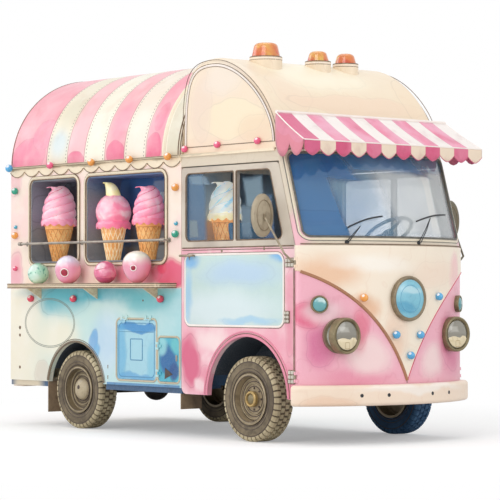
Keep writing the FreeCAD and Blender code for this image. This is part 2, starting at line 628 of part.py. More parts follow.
def arch_cylinder(axle_x, radius, low_y, high_y):
    return Part.makeCylinder(radius, high_y - low_y, Vector(axle_x, low_y, size.wheel_radius), Y_AXIS)


def half_ellipse_face(middle, across, semi_across, rise, drop=0):
    """An upright half ellipse on a base line, with a band of height drop below the line."""
    top = middle + Z_AXIS * rise
    left, right = middle - across * semi_across, middle + across * semi_across
    if rise >= semi_across:
        ellipse = Part.Ellipse(top, right, middle)
    else:
        ellipse = Part.Ellipse(right, top, middle)
    start, crest, end = (ellipse.parameter(point) for point in (right, top, left))
    full = 2 * math.pi
    if not 0 < (crest - start) % full < (end - start) % full:
        start, end = end, start
    arc = ellipse.toShape(start, start + (end - start) % full)
    first, last = arc.firstVertex().Point, arc.lastVertex().Point
    if drop == 0:
        return Part.Face(Part.Wire([arc, Part.makeLine(last, first)]))
    down = Vector(0, 0, -drop)
    lines = [Part.makeLine(last, last + down), Part.makeLine(last + down, first + down),
             Part.makeLine(first + down, first)]
    return Part.Face(Part.Wire([arc] + lines))


def nose_plan(grow, rear, z, shift=0):
    """Plan of the cab from X = rear to the nose, grown outwards by grow and moved back by shift."""
    radius = size.nose_radius + grow
    half = size.half_width + grow
    corner = max(size.corner_radius + grow, 1)
    centre = Vector(size.nose_centre_x, 0, 0)
    corner_x = centre.x + math.sqrt((radius - corner) ** 2 - (half - corner) ** 2)
    arcs = []
    for side in (-1, 1):
        pivot = Vector(corner_x, side * (half - corner), 0)
        at_side = Vector(corner_x, side * half, 0)
        at_nose = centre + (pivot - centre).normalize() * radius
        between = ((at_side - pivot) + (at_nose - pivot)).normalize() * corner + pivot
        arcs.append((at_side, between, at_nose))
    (right_side, right_mid, right_nose), (left_side, left_mid, left_nose) = arcs
    rear_right, rear_left = Vector(rear, -half, 0), Vector(rear, half, 0)
    edges = [Part.makeLine(rear_right, right_side),
             Part.Arc(right_side, right_mid, right_nose).toShape(),
             Part.Arc(right_nose, centre + X_AXIS * radius, left_nose).toShape(),
             Part.Arc(left_nose, left_mid, left_side).toShape(),
             Part.makeLine(left_side, rear_left),
             Part.makeLine(rear_left, rear_right)]
    face = Part.Face(Part.Wire(edges))
    face.translate(Vector(-shift, 0, z))
    return face


def nose_point(y, grow=0):
    """Point of the front's outer face at height 0 and its outward normal."""
    radius = size.nose_radius
    normal = Vector(math.sqrt(radius ** 2 - y ** 2), y, 0).normalize()
    return Vector(size.nose_centre_x, 0, 0) + normal * (radius + grow), normal


def door_front_x(z, gap):
    """X of the front edge of a door, upright to the belt and leaning back above it."""
    return size.corner_x - gap - max(z - size.belt_z, 0) * size.lean


def slab(low, high):
    """Everything of the vehicle between two corner points."""
    return Part.makeBox(high.x - low.x, high.y - low.y, high.z - low.z, low)


# ---------------------------------------------------------------- chassis and running gear

def bumper_seat():
    """The room that the front bumper takes up, from just behind it."""
    room = slab(Vector(size.front_axle_x, -2 * size.half_width, 0),
                Vector(2 * size.nose_x, 2 * size.half_width, size.belt_z))
    within = nose_plan(size.panel_proud - 2 * size.seat_gap, size.seam_x, 0).extrude(Z_AXIS * size.belt_z)
    return feature("bumper_seat", room.cut(within))


def chassis_frame():
    """Rails, cross members, outriggers, body sills and brackets for the bumpers, each a solid."""
    rail_y = ("rail_inner_y", "rail_outer_y")
    members = [
        # name, rear face
        ("rear_member", "frame_rear_x"),
        ("axle_member_rear", "rear_axle_x - member_reach"),
        ("axle_member_front", "rear_axle_x + member_reach"),
        ("seam_member", "seam_x - member_width"),
        ("front_member", "nose_x - front_member_gap"),
    ]
    sills = [
        # name, rear end, front end
        ("rear_sill", "rear_x", "rear_sill_end_x"),
        ("front_sill", "front_sill_end_x", "seam_x"),
    ]
    pieces = pair(block("rail", ("frame_rear_x", "frame_front_x"), rail_y, ("rail_low_z", "rail_low_z + rail_height")))
    for name, x in members:
        pieces.append(block(name, (x, x + " + member_width"), ("-rail_inner_y", "rail_inner_y"),
                            ("rail_low_z + member_step", "rail_low_z + rail_height - member_step")))
    for name, low, high in sills:
        pieces += pair(block(name, (low, high), ("sill_inner_y", "sill_outer_y"), ("cab_bottom_z", "sill_z")))
        for end, x in (("a", low + " + outrigger_inset"), ("b", high + " - outrigger_inset - member_width")):
            pieces += pair(block("%s_outrigger_%s" % (name, end), (x, x + " + member_width"),
                                 ("rail_inner_y", "sill_inner_y"), ("rail_low_z - outrigger_height", "rail_low_z")))
    bracket_x = "bracket_nose_x - bracket_length"
    bracket_top = "bumper_low_z + bracket_lift + bracket_height"
    bracket = block("bracket_bar", (bracket_x, "bracket_nose_x + bumper_reach"), rail_y,
                    ("bumper_low_z + bracket_lift", bracket_top))
    pieces += pair(cut("bumper_bracket", bracket, bumper_seat()))
    pieces += pair(block("bracket_drop", (bracket_x, bracket_x + " + member_width"), rail_y,
                         (bracket_top, "rail_low_z")))
    pieces += pair(block("step_hanger", ("frame_rear_x", "frame_rear_x + member_width"), rail_y,
                         ("step_top_z", "rail_low_z")))
    return gather("chassis_frame", pieces)


def floor_pan():
    """The floor with its four wheel housings and the opening over the engine."""
    low = size.floor_top_z - size.floor_thickness
    inner = size.half_width - size.wall
    cab_inner = inner - size.door_gap
    box_floor = slab(Vector(size.rear_x + size.wall, -inner, low), Vector(size.seam_x, inner, size.floor_top_z))
    cab_floor = nose_plan(-size.wall - size.door_gap, size.seam_x, low).extrude(Z_AXIS * size.floor_thickness)
    floor = box_floor.fuse(cab_floor)
    wells = [
        # axle, arch radius, outer end, inner end
        (size.rear_axle_x, size.rear_arch_radius, inner, size.half_track - size.tyre_width / 2 - size.well_margin),
        (size.front_axle_x, size.front_arch_radius, cab_inner, size.rail_outer_y + size.well_rail_gap),
    ]
    shells = []
    for axle_x, radius, outer_y, inner_y in wells:
        hollow = arch_cylinder(axle_x, radius, inner_y, size.half_width)
        solid = arch_cylinder(axle_x, radius + size.well_skin, inner_y - size.well_skin, outer_y)
        above = slab(Vector(axle_x - 2 * radius, 0, low), Vector(axle_x + 2 * radius, size.half_width, low + 2 * radius))
        shells += both_sides(solid.common(above).cut(hollow))
        for opening in both_sides(arch_cylinder(axle_x, radius + size.well_skin, inner_y - size.well_skin,
                                                size.half_width)):
            floor = floor.cut(opening)
    gap, half = size.engine_gap, size.engine_half_width
    floor = floor.cut(slab(Vector(size.engine_x - gap, -half - gap, 0),
                           Vector(size.engine_front_x + gap, half + gap, size.gutter_z)))
    return feature("floor_pan", floor.fuse(shells).removeSplitter())


def engine_block():
    """The engine as one plain block between the seats, on arms to the chassis rails."""
    z = ("engine_low_z", "engine_low_z + engine_height")
    pieces = [block("engine_body", ("engine_x", "engine_front_x"), ("-engine_half_width", "engine_half_width"), z)]
    arms = [
        # name, rear face
        ("engine_arm_rear", "engine_x + member_width"),
        ("engine_arm_front", "engine_front_x - 2 * member_width"),
    ]
    for name, x in arms:
        pieces.append(block(name, (x, x + " + member_width"), ("-rail_inner_y", "rail_inner_y"),
                            ("engine_low_z + 10", "engine_low_z + 10 + engine_arm_height")))
    return fuse("engine_block", pieces)


def exhaust():
    """A pipe from the engine to a silencer and out under the left sill."""
    port_z = "pipe_z + pipe_rise"
    flange = "engine_half_width + seat_gap"
    pieces = [
        rod("exhaust_pipe", "pipe_radius", "pipe_front_x - pipe_rear_x", ("pipe_rear_x", "pipe_y", "pipe_z"), X_AXIS),
        rod("exhaust_port", "pipe_radius", "pipe_y - (" + flange + ")", ("pipe_front_x", flange, port_z), Y_AXIS),
        rod("exhaust_riser", "pipe_radius", "pipe_rise", ("pipe_front_x", "pipe_y", "pipe_z")),
        rod("exhaust_outlet", "pipe_radius", "half_width - outlet_tuck - pipe_y",
            ("pipe_rear_x", "pipe_y", "pipe_z"), Y_AXIS),
        rod("silencer", "silencer_radius", "silencer_length",
            ("silencer_x - silencer_length", "pipe_y", "pipe_z"), X_AXIS),
    ]
    for name, x, z in (("elbow_rear", "pipe_rear_x", "pipe_z"), ("elbow_front", "pipe_front_x", "pipe_z"),
                       ("elbow_port", "pipe_front_x", port_z)):
        pieces.append(ball(name, "pipe_radius", (x, "pipe_y", z)))
    return fuse("exhaust", pieces)


def leaf_spring(name, axle_x, pad_z):
    """A leaf spring under the left rail, sagging from its hangers to the axle's pad."""
    thickness, half = size.spring_thickness, size.hanger_width / 2
    top = size.rail_low_z - thickness
    low_y, width = size.rail_inner_y + 5, size.rail_width - 10
    ends = [Vector(axle_x + side * size.spring_half_length, low_y, top) for side in (-1, 1)]
    middle = Vector(axle_x, low_y, pad_z + thickness)
    down = Z_AXIS * -thickness
    outline = [Part.Arc(ends[0], middle, ends[1]).toShape(), Part.makeLine(ends[1], ends[1] + down),
               Part.Arc(ends[1] + down, middle + down, ends[0] + down).toShape(),
               Part.makeLine(ends[0] + down, ends[0])]
    leaf = Part.Face(Part.Wire(outline)).extrude(Y_AXIS * width)
    hangers = [slab(Vector(end.x - half, low_y, top - thickness), Vector(end.x + half, low_y + width, size.rail_low_z))
               for end in ends]
    return feature(name, leaf.fuse(hangers))


def front_axle():
    """A beam with an eye for each kingpin, carried by leaf springs."""
    beam_x = ("front_axle_x - beam_width / 2", "front_axle_x + beam_width / 2")
    pieces = [block("axle_beam", beam_x, ("20 - kingpin_y", "kingpin_y - 20"),
                    ("axle_z - beam_height / 2", "axle_z + beam_height / 2"))]
    pieces += pair(block("front_spring_pad", beam_x, ("rail_inner_y + 5", "rail_outer_y - 5"),
                         ("axle_z + beam_height / 2", "front_spring_z + spring_thickness / 2")))
    pieces += pair(rod("axle_eye", "eye_radius", "eye_height", ("front_axle_x", "kingpin_y", "axle_z - eye_height / 2")))
    pieces += pair(leaf_spring("front_spring", size.front_axle_x, size.front_spring_z))
    holes = pair(rod("kingpin_hole", "pin_radius + seat_gap", "2 * eye_height",
                     ("front_axle_x", "kingpin_y", "axle_z - eye_height")))
    return cut("front_axle", fuse("front_axle_solid", pieces), *holes)


def steering_knuckles():
    """A fork round each axle eye with its kingpin and the stub axle of the wheel."""
    gap = 0.5
    low = "axle_z - eye_height / 2 - %s - ear_height" % gap
    height = "eye_height + 2 * ear_height + 2 * %s" % gap
    half = "knuckle_width / 2"
    x = ("front_axle_x - " + half, "front_axle_x + " + half)
    pieces = [
        rod("kingpin", "pin_radius", height, ("front_axle_x", "kingpin_y", low)),
        block("knuckle_web", x, ("kingpin_y + knuckle_web_y", "kingpin_y + knuckle_web_y + ear_height"),
              (low, "%s + %s" % (low, height))),
        rod("stub_axle", "stub_radius", "half_track + stub_reach - kingpin_y - knuckle_web_y - 10",
            ("front_axle_x", "kingpin_y + knuckle_web_y + 10", "wheel_radius"), Y_AXIS),
    ]
    ears = [
        # name, underside
        ("ear_low", low),
        ("ear_high", "axle_z + eye_height / 2 + %s" % gap),
    ]
    for name, z in ears:
        pieces.append(rod(name + "_round", "eye_radius", "ear_height", ("front_axle_x", "kingpin_y", z)))
        pieces.append(block(name, x, ("kingpin_y", "kingpin_y + knuckle_web_y + ear_height"), (z, z + " + ear_height")))
    left = fuse("knuckle_left", pieces)
    return [left, mirrored(left, "knuckle_right")]


def rear_axle():
    """A tube with its differential housing and wheel stubs, carried by leaf springs."""
    tube_end = "half_track - tyre_width / 2 + 5"
    stub_end = "half_track + stub_reach"
    pieces = [ball("differential", "differential_radius", ("rear_axle_x", "0", "wheel_radius"))]
    for name, radius, end in (("axle_tube", "axle_tube_radius", tube_end), ("axle_stubs", "stub_radius", stub_end)):
        pieces.append(rod(name, radius, "2 * (%s)" % end, ("rear_axle_x", "-(%s)" % end, "wheel_radius"), Y_AXIS))
    pieces += pair(leaf_spring("rear_spring", size.rear_axle_x, size.rear_spring_z))
    return fuse("rear_axle", pieces)


def outboard(corners, side):
    """Turns the second value of each corner to the left (1) or right (-1) side of the vehicle."""
    return [(radius, along if side > 0 else "-(%s)" % along) for radius, along in corners]


def wheel_rim(name, axle_x, side):
    """Barrel, disc and hub of one wheel, turned about its axle."""
    half = "(tyre_width / 2 - 6)"
    bore = "stub_radius + seat_gap"
    barrel = "rim_radius - rim_thickness"
    lip = "rim_radius + rim_lip"
    corners = [
        (bore, "-hub_back"), ("hub_neck_radius", "-hub_back"), ("hub_neck_radius", "disc_low"),
        (barrel + " - 18", "disc_low"), (barrel, "disc_low - 20"), (barrel, "-" + half), (lip, "-" + half),
        (lip, "4 - " + half), ("rim_radius", "6 - " + half), ("rim_radius", half + " - 6"), (lip, half + " - 4"),
        (lip, half), (barrel, half), (barrel + " - 12", "disc_high"), ("hub_radius", "disc_high"),
        ("hub_radius", "hub_reach"), (bore, "hub_reach"),
    ]
    return turned_body(name, outboard(corners, side), (axle_x, "%d * half_track" % side, "wheel_radius"), "XY_Plane")


def tyre(name, axle_x, side):
    """A tyre with square shoulders, turned about its axle."""
    half = "tyre_width / 2"
    flank = "rim_radius + tyre_bead"
    shoulder = "wheel_radius - tyre_shoulder"
    edge = "wheel_radius - 8"
    corners = [
        ("rim_radius", "12 - " + half), ("rim_radius + 10", "10 - " + half), (flank, "-" + half),
        (shoulder, "-" + half), (edge, "14 - " + half), ("wheel_radius", "30 - " + half),
        ("wheel_radius", half + " - 30"), (edge, half + " - 14"), (shoulder, half), (flank, half),
        ("rim_radius + 10", half + " - 10"), ("rim_radius", half + " - 12"),
    ]
    return turned_body(name, outboard(corners, side), (axle_x, "%d * half_track" % side, "wheel_radius"), "XY_Plane")


def mudflaps():
    """Rubber flaps behind the four wheels, hung from the sills."""
    y = ("half_track - tyre_width / 2 - 10", "sill_outer_y")
    flaps = [
        # name, rear face, top edge, length
        ("rear_flap", "rear_sill_end_x", "sill_z", "rear_flap_drop"),
        ("front_flap", "seam_x - 20", "cab_bottom_z", "front_flap_drop"),
    ]
    pieces = []
    for name, x, top, drop in flaps:
        pieces += pair(block(name, (x, x + " + flap_thickness"), y, (top + " - " + drop, top)))
    return gather("mudflaps", pieces)


# ---------------------------------------------------------------- hinges

def hinge(name, base, axis, out, leafwards, length, fixed_leaf=None, fixed_depth=None):
    """The moving and the fixed half of a hinge with three knuckles, as two objects.

    base is the low end of the hinge line, axis its direction, out the direction away from the wall
    and leafwards the direction from the hinge line over the moving leaf; all but base are unit vectors.
    """
    radius, gap = size.hinge_radius, size.knuckle_gap / 2
    depth = radius + size.hinge_offset
    knuckles = [
        # start and end along the hinge, moving or fixed
        (0, 0.3 * length, False),
        (0.3 * length + gap, 0.7 * length - gap, True),
        (0.7 * length, length, False),
    ]
    halves = {True: [], False: []}
    for low, high, moving in knuckles:
        foot, top = base + axis * low, base + axis * high
        side = leafwards * (size.hinge_leaf if moving else -(fixed_leaf or size.hinge_leaf))
        plate = Part.Face(Part.makePolygon([foot, top, top + side, foot + side, foot]))
        leaf = plate.extrude(out * -(depth if moving else fixed_depth or depth))
        halves[moving] += [Part.makeCylinder(radius, high - low, foot, axis).fuse(leaf)]
    return [feature("%s_%s" % (name, word), Part.makeCompound(halves[moving]))
            for word, moving in (("moving", True), ("fixed", False))]


def service_hatch_hinges():
    y = -size.hinge_y
    return [hinge("hatch_hinge_%d" % number, Vector(x, y, size.hatch_high_z), X_AXIS, -Y_AXIS, -Z_AXIS, 90)
            for number, x in enumerate((size.hatch_rear_x + 60, size.hatch_front_x - 150), start=1)]


def filler_flap_hinges():
    y = -size.hinge_y
    return [hinge("flap_hinge_%d" % number, Vector(size.flap_rear_x, y, z), Z_AXIS, -Y_AXIS, X_AXIS, 60)
            for number, z in enumerate((size.flap_low_z + 40, size.flap_high_z - 100), start=1)]


def rear_door_hinges():
    x, y = size.rear_x - size.hinge_radius - size.hinge_offset, size.rear_doorway_width / 2
    return [hinge("rear_hinge_%d" % number, Vector(x, y, z), Z_AXIS, -X_AXIS, -Y_AXIS, 120)
            for number, z in enumerate((size.rear_doorway_low_z + 200, size.rear_doorway_high_z - 320), start=1)]


def cab_door_hinges():
    """The right door's hinges: the upper one stands on the V panel, the lower one on the side panel."""
    return [hinge("door_hinge_%s" % word, Vector(size.hinge_x, -size.hinge_y, z), Z_AXIS, -Y_AXIS, -X_AXIS,
                  size.door_hinge_length, 24, 16)
            for word, z in (("upper", size.upper_hinge_z), ("lower", size.lower_hinge_z))]


def hinge_clearance(foot_z):
    """Room round both front hinge lines for the doors' knuckles."""
    radius = size.hinge_radius + 5 * size.knuckle_gap
    return both_sides(Part.makeCylinder(radius, size.door_hinge_length, Vector(size.hinge_x, -size.hinge_y, foot_z)))


# ---------------------------------------------------------------- serving box

def serving_windows():
    """Name, X range of each serving window as formulas."""
    return [("rear", ("rear_window_x", "rear_window_x + rear_window_width")),
            ("front", ("front_window_x", "front_window_x + front_window_width"))]


def grown(side, by):
    return ("%s - (%s)" % (side[0], by), "%s + (%s)" % (side[1], by))


WINDOW_Z = ("window_low_z", "window_high_z")
THROUGH_RIGHT = ("-half_width - wall", "-half_width + 2 * wall")


def box_side_right(hinges):
    """The right wall of the box with its wheel arch, windows, hatch openings and fixed hinge halves."""
    wall = block("right_wall", ("rear_x", "seam_x"), ("-half_width", "-half_width + wall"), ("sill_z", "gutter_z"))
    tools = [rod("right_arch", "rear_arch_radius", "3 * wall",
                 ("rear_axle_x", THROUGH_RIGHT[0], "wheel_radius"), Y_AXIS)]
    for name, x in serving_windows():
        tools.append(rounded_block(name + "_window_hole", x, THROUGH_RIGHT, WINDOW_Z, "window_radius"))
    tools.append(rounded_block("hatch_hole", ("hatch_rear_x", "hatch_front_x"), THROUGH_RIGHT,
                               ("hatch_low_z", "hatch_high_z"), "hatch_radius"))
    tools.append(rounded_block("flap_hole", ("flap_rear_x", "flap_front_x"), THROUGH_RIGHT,
                               ("flap_low_z", "flap_high_z"), "hatch_radius"))
    return fuse("box_side_right", [cut("right_wall_open", wall, *tools)] + [fixed for _, fixed in hinges])


def box_side_left():
    """The left wall of the box, plain but for its wheel arch."""
    wall = block("left_wall", ("rear_x", "seam_x"), ("half_width - wall", "half_width"), ("sill_z", "gutter_z"))
    arch = rod("left_arch", "rear_arch_radius", "3 * wall",
               ("rear_axle_x", "half_width - 2 * wall", "wheel_radius"), Y_AXIS)
    return cut("box_side_left", wall, arch)


def box_section(name, x, thickness):
    """The box's inner cross section as a plate: an upright wall below and a half ellipse above."""
    half = size.half_width - size.wall
    arch = half_ellipse_face(Vector(x, 0, size.gutter_z), Y_AXIS, half, size.vault_rise - size.wall,
                             size.gutter_z - size.sill_z)
    return feature(name, arch.extrude(Vector(thickness, 0, 0)))


def box_rear_wall(hinges):
    """The rear wall up to the roof, with the doorway and the fixed hinge halves."""
    plate = box_section("rear_plate", size.rear_x, size.wall)
    doorway = block("rear_doorway", ("rear_x - wall", "rear_x + 2 * wall"),
                    ("-rear_doorway_width / 2", "rear_doorway_width / 2"),
                    ("rear_doorway_low_z", "rear_doorway_high_z"))
    return fuse("box_rear_wall", [cut("rear_plate_open", plate, doorway)] + [fixed for _, fixed in hinges])


def bulkhead():
    """The wall between box and cab, closing the front of the box roof, with a doorway and a small shelf."""
    x = ("seam_x - 2 * wall", "seam_x + wall")
    plate = box_section("bulkhead_plate", size.seam_x - size.wall, size.wall)
    below = block("bulkhead_foot", x, ("-half_width", "half_width"), ("sill_z - wall", "floor_top_z"))
    doorway = block("bulkhead_doorway", x, ("-bulkhead_doorway_width / 2", "bulkhead_doorway_width / 2"),
                    ("floor_top_z - wall", "gutter_z - bulkhead_doorway_header"))
    shelf = block("cab_shelf", ("seam_x - wall", "seam_x + cab_shelf_depth"),
                  ("-cab_shelf_y - cab_shelf_half_width", "-cab_shelf_y + cab_shelf_half_width"),
                  ("cone_low_z - cab_shelf_thickness", "cone_low_z"))
    return fuse("bulkhead", [cut("bulkhead_wall", plate, below, doorway), shelf])


def box_roof():
    """The barrel roof of the box, a half ellipse pulled from the rear wall to the cab."""
    base = Vector(size.rear_x, 0, size.gutter_z)
    outer = half_ellipse_face(base, Y_AXIS, size.half_width, size.vault_rise)
    inner = half_ellipse_face(base, Y_AXIS, size.half_width - size.wall, size.vault_rise - size.wall)
    length = Vector(size.seam_x - size.rear_x, 0, 0)
    return feature("box_roof", outer.extrude(length).cut(inner.extrude(length)))


def gutter_fascia():
    """Rain gutters along both sides, the box's own with a scalloped fascia hanging under it."""
    width = (size.seam_x - size.rear_x) / round(size.fascia_count)
    top = size.gutter_z - size.gutter_drop
    low = top - size.fascia_strip
    y = -size.half_width - size.fascia_thickness
    corners = [Vector(x, y, z) for x, z in ((size.seam_x, low), (size.seam_x, top), (size.rear_x, top),
                                            (size.rear_x, low))]
    edges = [Part.makeLine(corners[i], corners[i + 1]) for i in range(3)]
    for i in range(round(size.fascia_count)):
        start = Vector(size.rear_x + i * width, y, low)
        edges.append(Part.Arc(start, start + Vector(width / 2, 0, -size.fascia_drop),
                              start + Vector(width, 0, 0)).toShape())
    strip = feature("fascia_strip_solid", Part.Face(Part.Wire(edges)).extrude(Y_AXIS * size.fascia_thickness))
    z = ("gutter_z - gutter_drop", "gutter_z")
    box = block("box_gutter", ("rear_x", "seam_x"), ("-half_width - gutter_reach", "-half_width"), z)
    cab = block("cab_gutter", ("seam_x", "front_axle_x + cab_gutter_end"),
                ("-half_width - cab_gutter_reach", "-half_width"), z)
    return gather("gutter_fascia", pair(fuse("right_gutter", [strip, box, cab])))


def window_bays():
    """A lined display bay behind each serving window."""
    bays = []
    for name, x in serving_windows():
        outer = rounded_block(name + "_bay_outside", x, ("-half_width", "-bay_end_y"), WINDOW_Z, "window_radius")
        inner = rounded_block(name + "_bay_inside", grown(x, "-bay_skin"), ("-half_width - wall", "-bay_end_y + wall"),
                              grown(WINDOW_Z, "-bay_skin"), "window_radius - bay_skin")
        bays.append(cut(name + "_bay", outer, inner))
    return gather("window_bays", bays)


def serving_glass():
    """Tinted panes closing the inner end of the display bays."""
    panes = [rounded_block(name + "_pane", grown(x, "-bay_skin"), ("-bay_glass_y", "-bay_glass_y + glass_thickness"),
                           grown(WINDOW_Z, "-bay_skin"), "window_radius - bay_skin") for name, x in serving_windows()]
    return gather("serving_glass", panes)


def window_frames():
    """Raised frames round the serving windows."""
    frames = []
    for name, x in serving_windows():
        outer = rounded_block(name + "_frame_outside", grown(x, "frame_border"),
                              ("-half_width - frame_proud", "-half_width"), grown(WINDOW_Z, "frame_border"),
                              "window_radius + frame_border")
        inner = rounded_block(name + "_frame_inside", x, THROUGH_RIGHT, WINDOW_Z, "window_radius")
        frames.append(cut(name + "_frame", outer, inner))
    return gather("window_frames", frames)


def serving_counter():
    """A shelf under the serving windows, its outer corners rounded, on three brackets."""
    y = "-half_width - counter_depth"
    z = ("counter_top_z - counter_thickness", "counter_top_z")
    board = rounded_block("counter_board", ("counter_rear_x", "counter_front_x"), (y, "-half_width + 2 * wall"), z,
                          "counter_radius", Z_AXIS)
    behind = block("counter_wall_side", ("rear_x", "seam_x"), ("-half_width", "0"), ("sill_z", "gutter_z"))
    brackets = [
        # name, middle
        ("rear_bracket", size.counter_rear_x + size.counter_bracket_inset),
        ("middle_bracket", (size.counter_rear_x + size.counter_front_x) / 2),
        ("front_bracket", size.counter_front_x - size.counter_bracket_inset),
    ]
    pieces = [cut("counter_shelf", board, behind)]
    for name, x in brackets:
        corner = Vector(x - size.counter_bracket_width / 2, -size.half_width, size.counter_top_z - size.counter_thickness)
        triangle = Part.makePolygon([corner, corner - Y_AXIS * size.counter_bracket_reach,
                                     corner - Z_AXIS * size.counter_bracket_drop, corner])
        pieces.append(feature(name, Part.Face(triangle).extrude(X_AXIS * size.counter_bracket_width)))
    return fuse("serving_counter", pieces)


def serving_rail():
    """The guard bar in front of the serving windows on three posts."""
    start, end = "guard_rear_post_x - guard_rear_overhang", "guard_front_post_x + guard_front_overhang"
    pieces = [rod("guard_bar", "guard_radius", "(%s) - (%s)" % (end, start), (start, "-guard_y", "guard_z"), X_AXIS)]
    for name, x in (("rear", "guard_rear_post_x"), ("middle", "guard_middle_post_x"), ("front", "guard_front_post_x")):
        pieces.append(rod(name + "_post", "guard_post_radius", "guard_reach", (x, "-guard_y", "guard_z"), Y_AXIS))
        pieces.append(rod(name + "_foot", "guard_foot_radius", "guard_foot_height",
                          (x, "-half_width - guard_foot_height", "guard_z"), Y_AXIS))
    for name, x in (("rear_knob", start), ("front_knob", end)):
        pieces.append(ball(name, "guard_radius + 5", (x, "-guard_y", "guard_z")))
    return fuse("serving_rail", pieces)


def display_cones():
    """Oversize ice cream cones, three in the display bays and one in the cab, each turned from one outline."""
    scoop = [
        # share of the cone's width, share of the scoop's height
        (0.42, 0), (0.5, 0.17), (0.46, 0.37), (0.36, 0.5), (0.3, 0.67), (0.16, 0.8), (0, 1),
    ]
    solids = []
    for number, (x, y, width) in enumerate(CONES, start=1):
        corners = [("0", "0"), ("cone_foot_radius", "0"), ("cone_foot_radius", "cone_foot_height"),
                   ("cone_neck / 2", "cone_foot_height"), ("0.36 * %d" % width, "cone_wafer_height")]
        corners += [("%s * %d" % (across, width), "cone_wafer_height + %s * scoop_height" % up) for across, up in scoop]
        solids.append(turned_body("cone_%d" % number, corners, (x, "%s + %d / 2" % (y, width), "cone_low_z"), "XZ_Plane"))
    return gather("display_cones", solids)


def counter_treats():
    """Display treats on the counter, each a ball or an egg with a flat foot."""
    solids = []
    under = block("treat_foot", ("rear_x", "seam_x"), ("-half_width - 2 * counter_depth", "-half_width"),
                  ("sill_z", "counter_top_z"))
    for number, (ahead, half, rise) in enumerate(TREATS, start=1):
        treat = doc.addObject("Part::Ellipsoid", "treat_egg_%d" % number)
        bind(treat, Radius1=rise, Radius2=half, Radius3=half)
        put(treat, ("counter_rear_x + %d" % ahead, "-half_width - treat_gap - %d" % half,
                    "counter_top_z + %d - treat_sink" % rise))
        solids.append(cut("treat_%d" % number, treat, under))
    return gather("counter_treats", solids)


def hatch_lid(name, x, z, hinges):
    """A lid with rounded corners and the moving halves of its hinges."""
    lid = rounded_block(name + "_lid", grown(x, "-door_gap"), ("-half_width", "-half_width + lid_thickness"),
                        grown(z, "-door_gap"), "hatch_radius - door_gap")
    return fuse(name, [lid] + [moving for moving, _ in hinges])


def rear_door(hinges):
    """The rear door with its pull handle."""
    half = "rear_doorway_width / 2 - door_gap"
    handle_y = ("50 - (%s)" % half, "70 - (%s)" % half)
    pieces = [
        block("rear_door_leaf", ("rear_x", "rear_x + wall"), ("-(%s)" % half, half),
              grown(("rear_doorway_low_z", "rear_doorway_high_z"), "-door_gap")),
        block("rear_handle", ("rear_x - handle_reach", "rear_x - handle_reach + 14"), handle_y,
              ("belt_z - 254", "belt_z - 34")),
        block("rear_handle_foot", ("rear_x - handle_reach", "rear_x"), handle_y, ("belt_z - 249", "belt_z - 229")),
        block("rear_handle_head", ("rear_x - handle_reach", "rear_x"), handle_y, ("belt_z - 59", "belt_z - 39")),
    ]
    return fuse("rear_door", pieces + [moving for moving, _ in hinges])


# ---------------------------------------------------------------- cab

def v_outline():
    """Everything inside the V seen from the front: two arcs meeting at a point below the badge."""
    tip = Vector(0, 0, size.cab_bottom_z + size.v_tip_rise)
    edges, shoulders = [], []
    for side in (-1, 1):
        shoulder = Vector(0, side * (size.half_width + size.sill_gap), size.belt_z - size.v_shoulder_drop)
        edges.append(Part.Arc(tip, Vector(0, side * size.v_waist_y, size.v_waist_z), shoulder).toShape())
        shoulders.append(shoulder)
    right, left = shoulders
    right_top, left_top = (Vector(0, point.y, size.belt_z) for point in shoulders)
    edges += [Part.makeLine(right, right_top), Part.makeLine(right_top, left_top), Part.makeLine(left_top, left)]
    face = Part.Face(Part.Wire(Part.__sortEdges__(edges)))
    face.translate(Vector(size.nose_centre_x, 0, 0))
    return face.extrude(X_AXIS * 2 * size.nose_radius)


def front_band(outer, inner, low, high):
    """The cab's front wall between two plan offsets, from the door edge forward."""
    rear = size.seam_x
    height = Vector(0, 0, high - low)
    band = nose_plan(outer, rear, low).extrude(height).cut(nose_plan(inner, rear - size.wall, low).extrude(height))
    doors = slab(Vector(rear - size.wall, -2 * size.half_width, low), Vector(size.corner_x, 2 * size.half_width, high))
    return band.cut(doors)


def lamp_cylinder(y, z, radius, grow, length):
    """A cylinder square to the front's surface, from grow outside it inwards."""
    point, normal = nose_point(y, grow)
    return Part.makeCylinder(radius, length, point + Vector(0, 0, z), normal * -1)


def front_lamps():
    """Y, Z, outer radius and reach of the lamps on one side of the front."""
    return [(size.headlamp_y, size.headlamp_z, size.headlamp_radius, size.headlamp_reach),
            (size.marker_y, size.marker_z, size.marker_radius, size.marker_reach)]


def front_side_panels(lower_hinge):
    """The front's lower side panels with their lamp holes and the doors' lower hinges."""
    panels = front_band(0, -size.wall, size.cab_bottom_z, size.belt_z).cut(v_outline())
    for y, z, radius, _ in front_lamps():
        for hole in both_sides(lamp_cylinder(y, z, radius - size.lamp_neck, size.wall, 3 * size.wall)):
            panels = panels.cut(hole)
    panels = panels.cut(hinge_clearance(size.lower_hinge_z))
    return fuse("front_side_panels", [feature("side_panels_open", panels)] + pair(lower_hinge[1]))


def front_v_panel(upper_hinge):
    """The V panel of the front, standing slightly proud of the side panels, with the upper hinges."""
    panel = front_band(size.panel_proud, -size.wall, size.cab_bottom_z, size.belt_z).common(v_outline())
    hole = Part.makeCylinder(size.badge_radius - size.badge_neck, size.nose_radius + 2 * size.panel_proud,
                             Vector(size.nose_centre_x, 0, size.badge_z), X_AXIS)
    panel = panel.cut([hole] + hinge_clearance(size.upper_hinge_z))
    return fuse("front_v_panel", [feature("v_panel_open", panel)] + pair(upper_hinge[1]))


def raked_prism(grow, rear, low, high):
    """The upper cab between two heights, leaning back with the windscreen."""
    face = nose_plan(grow, rear, low, size.lean * (low - size.belt_z))
    return face.extrude(Vector(-size.lean * (high - low), 0, high - low))


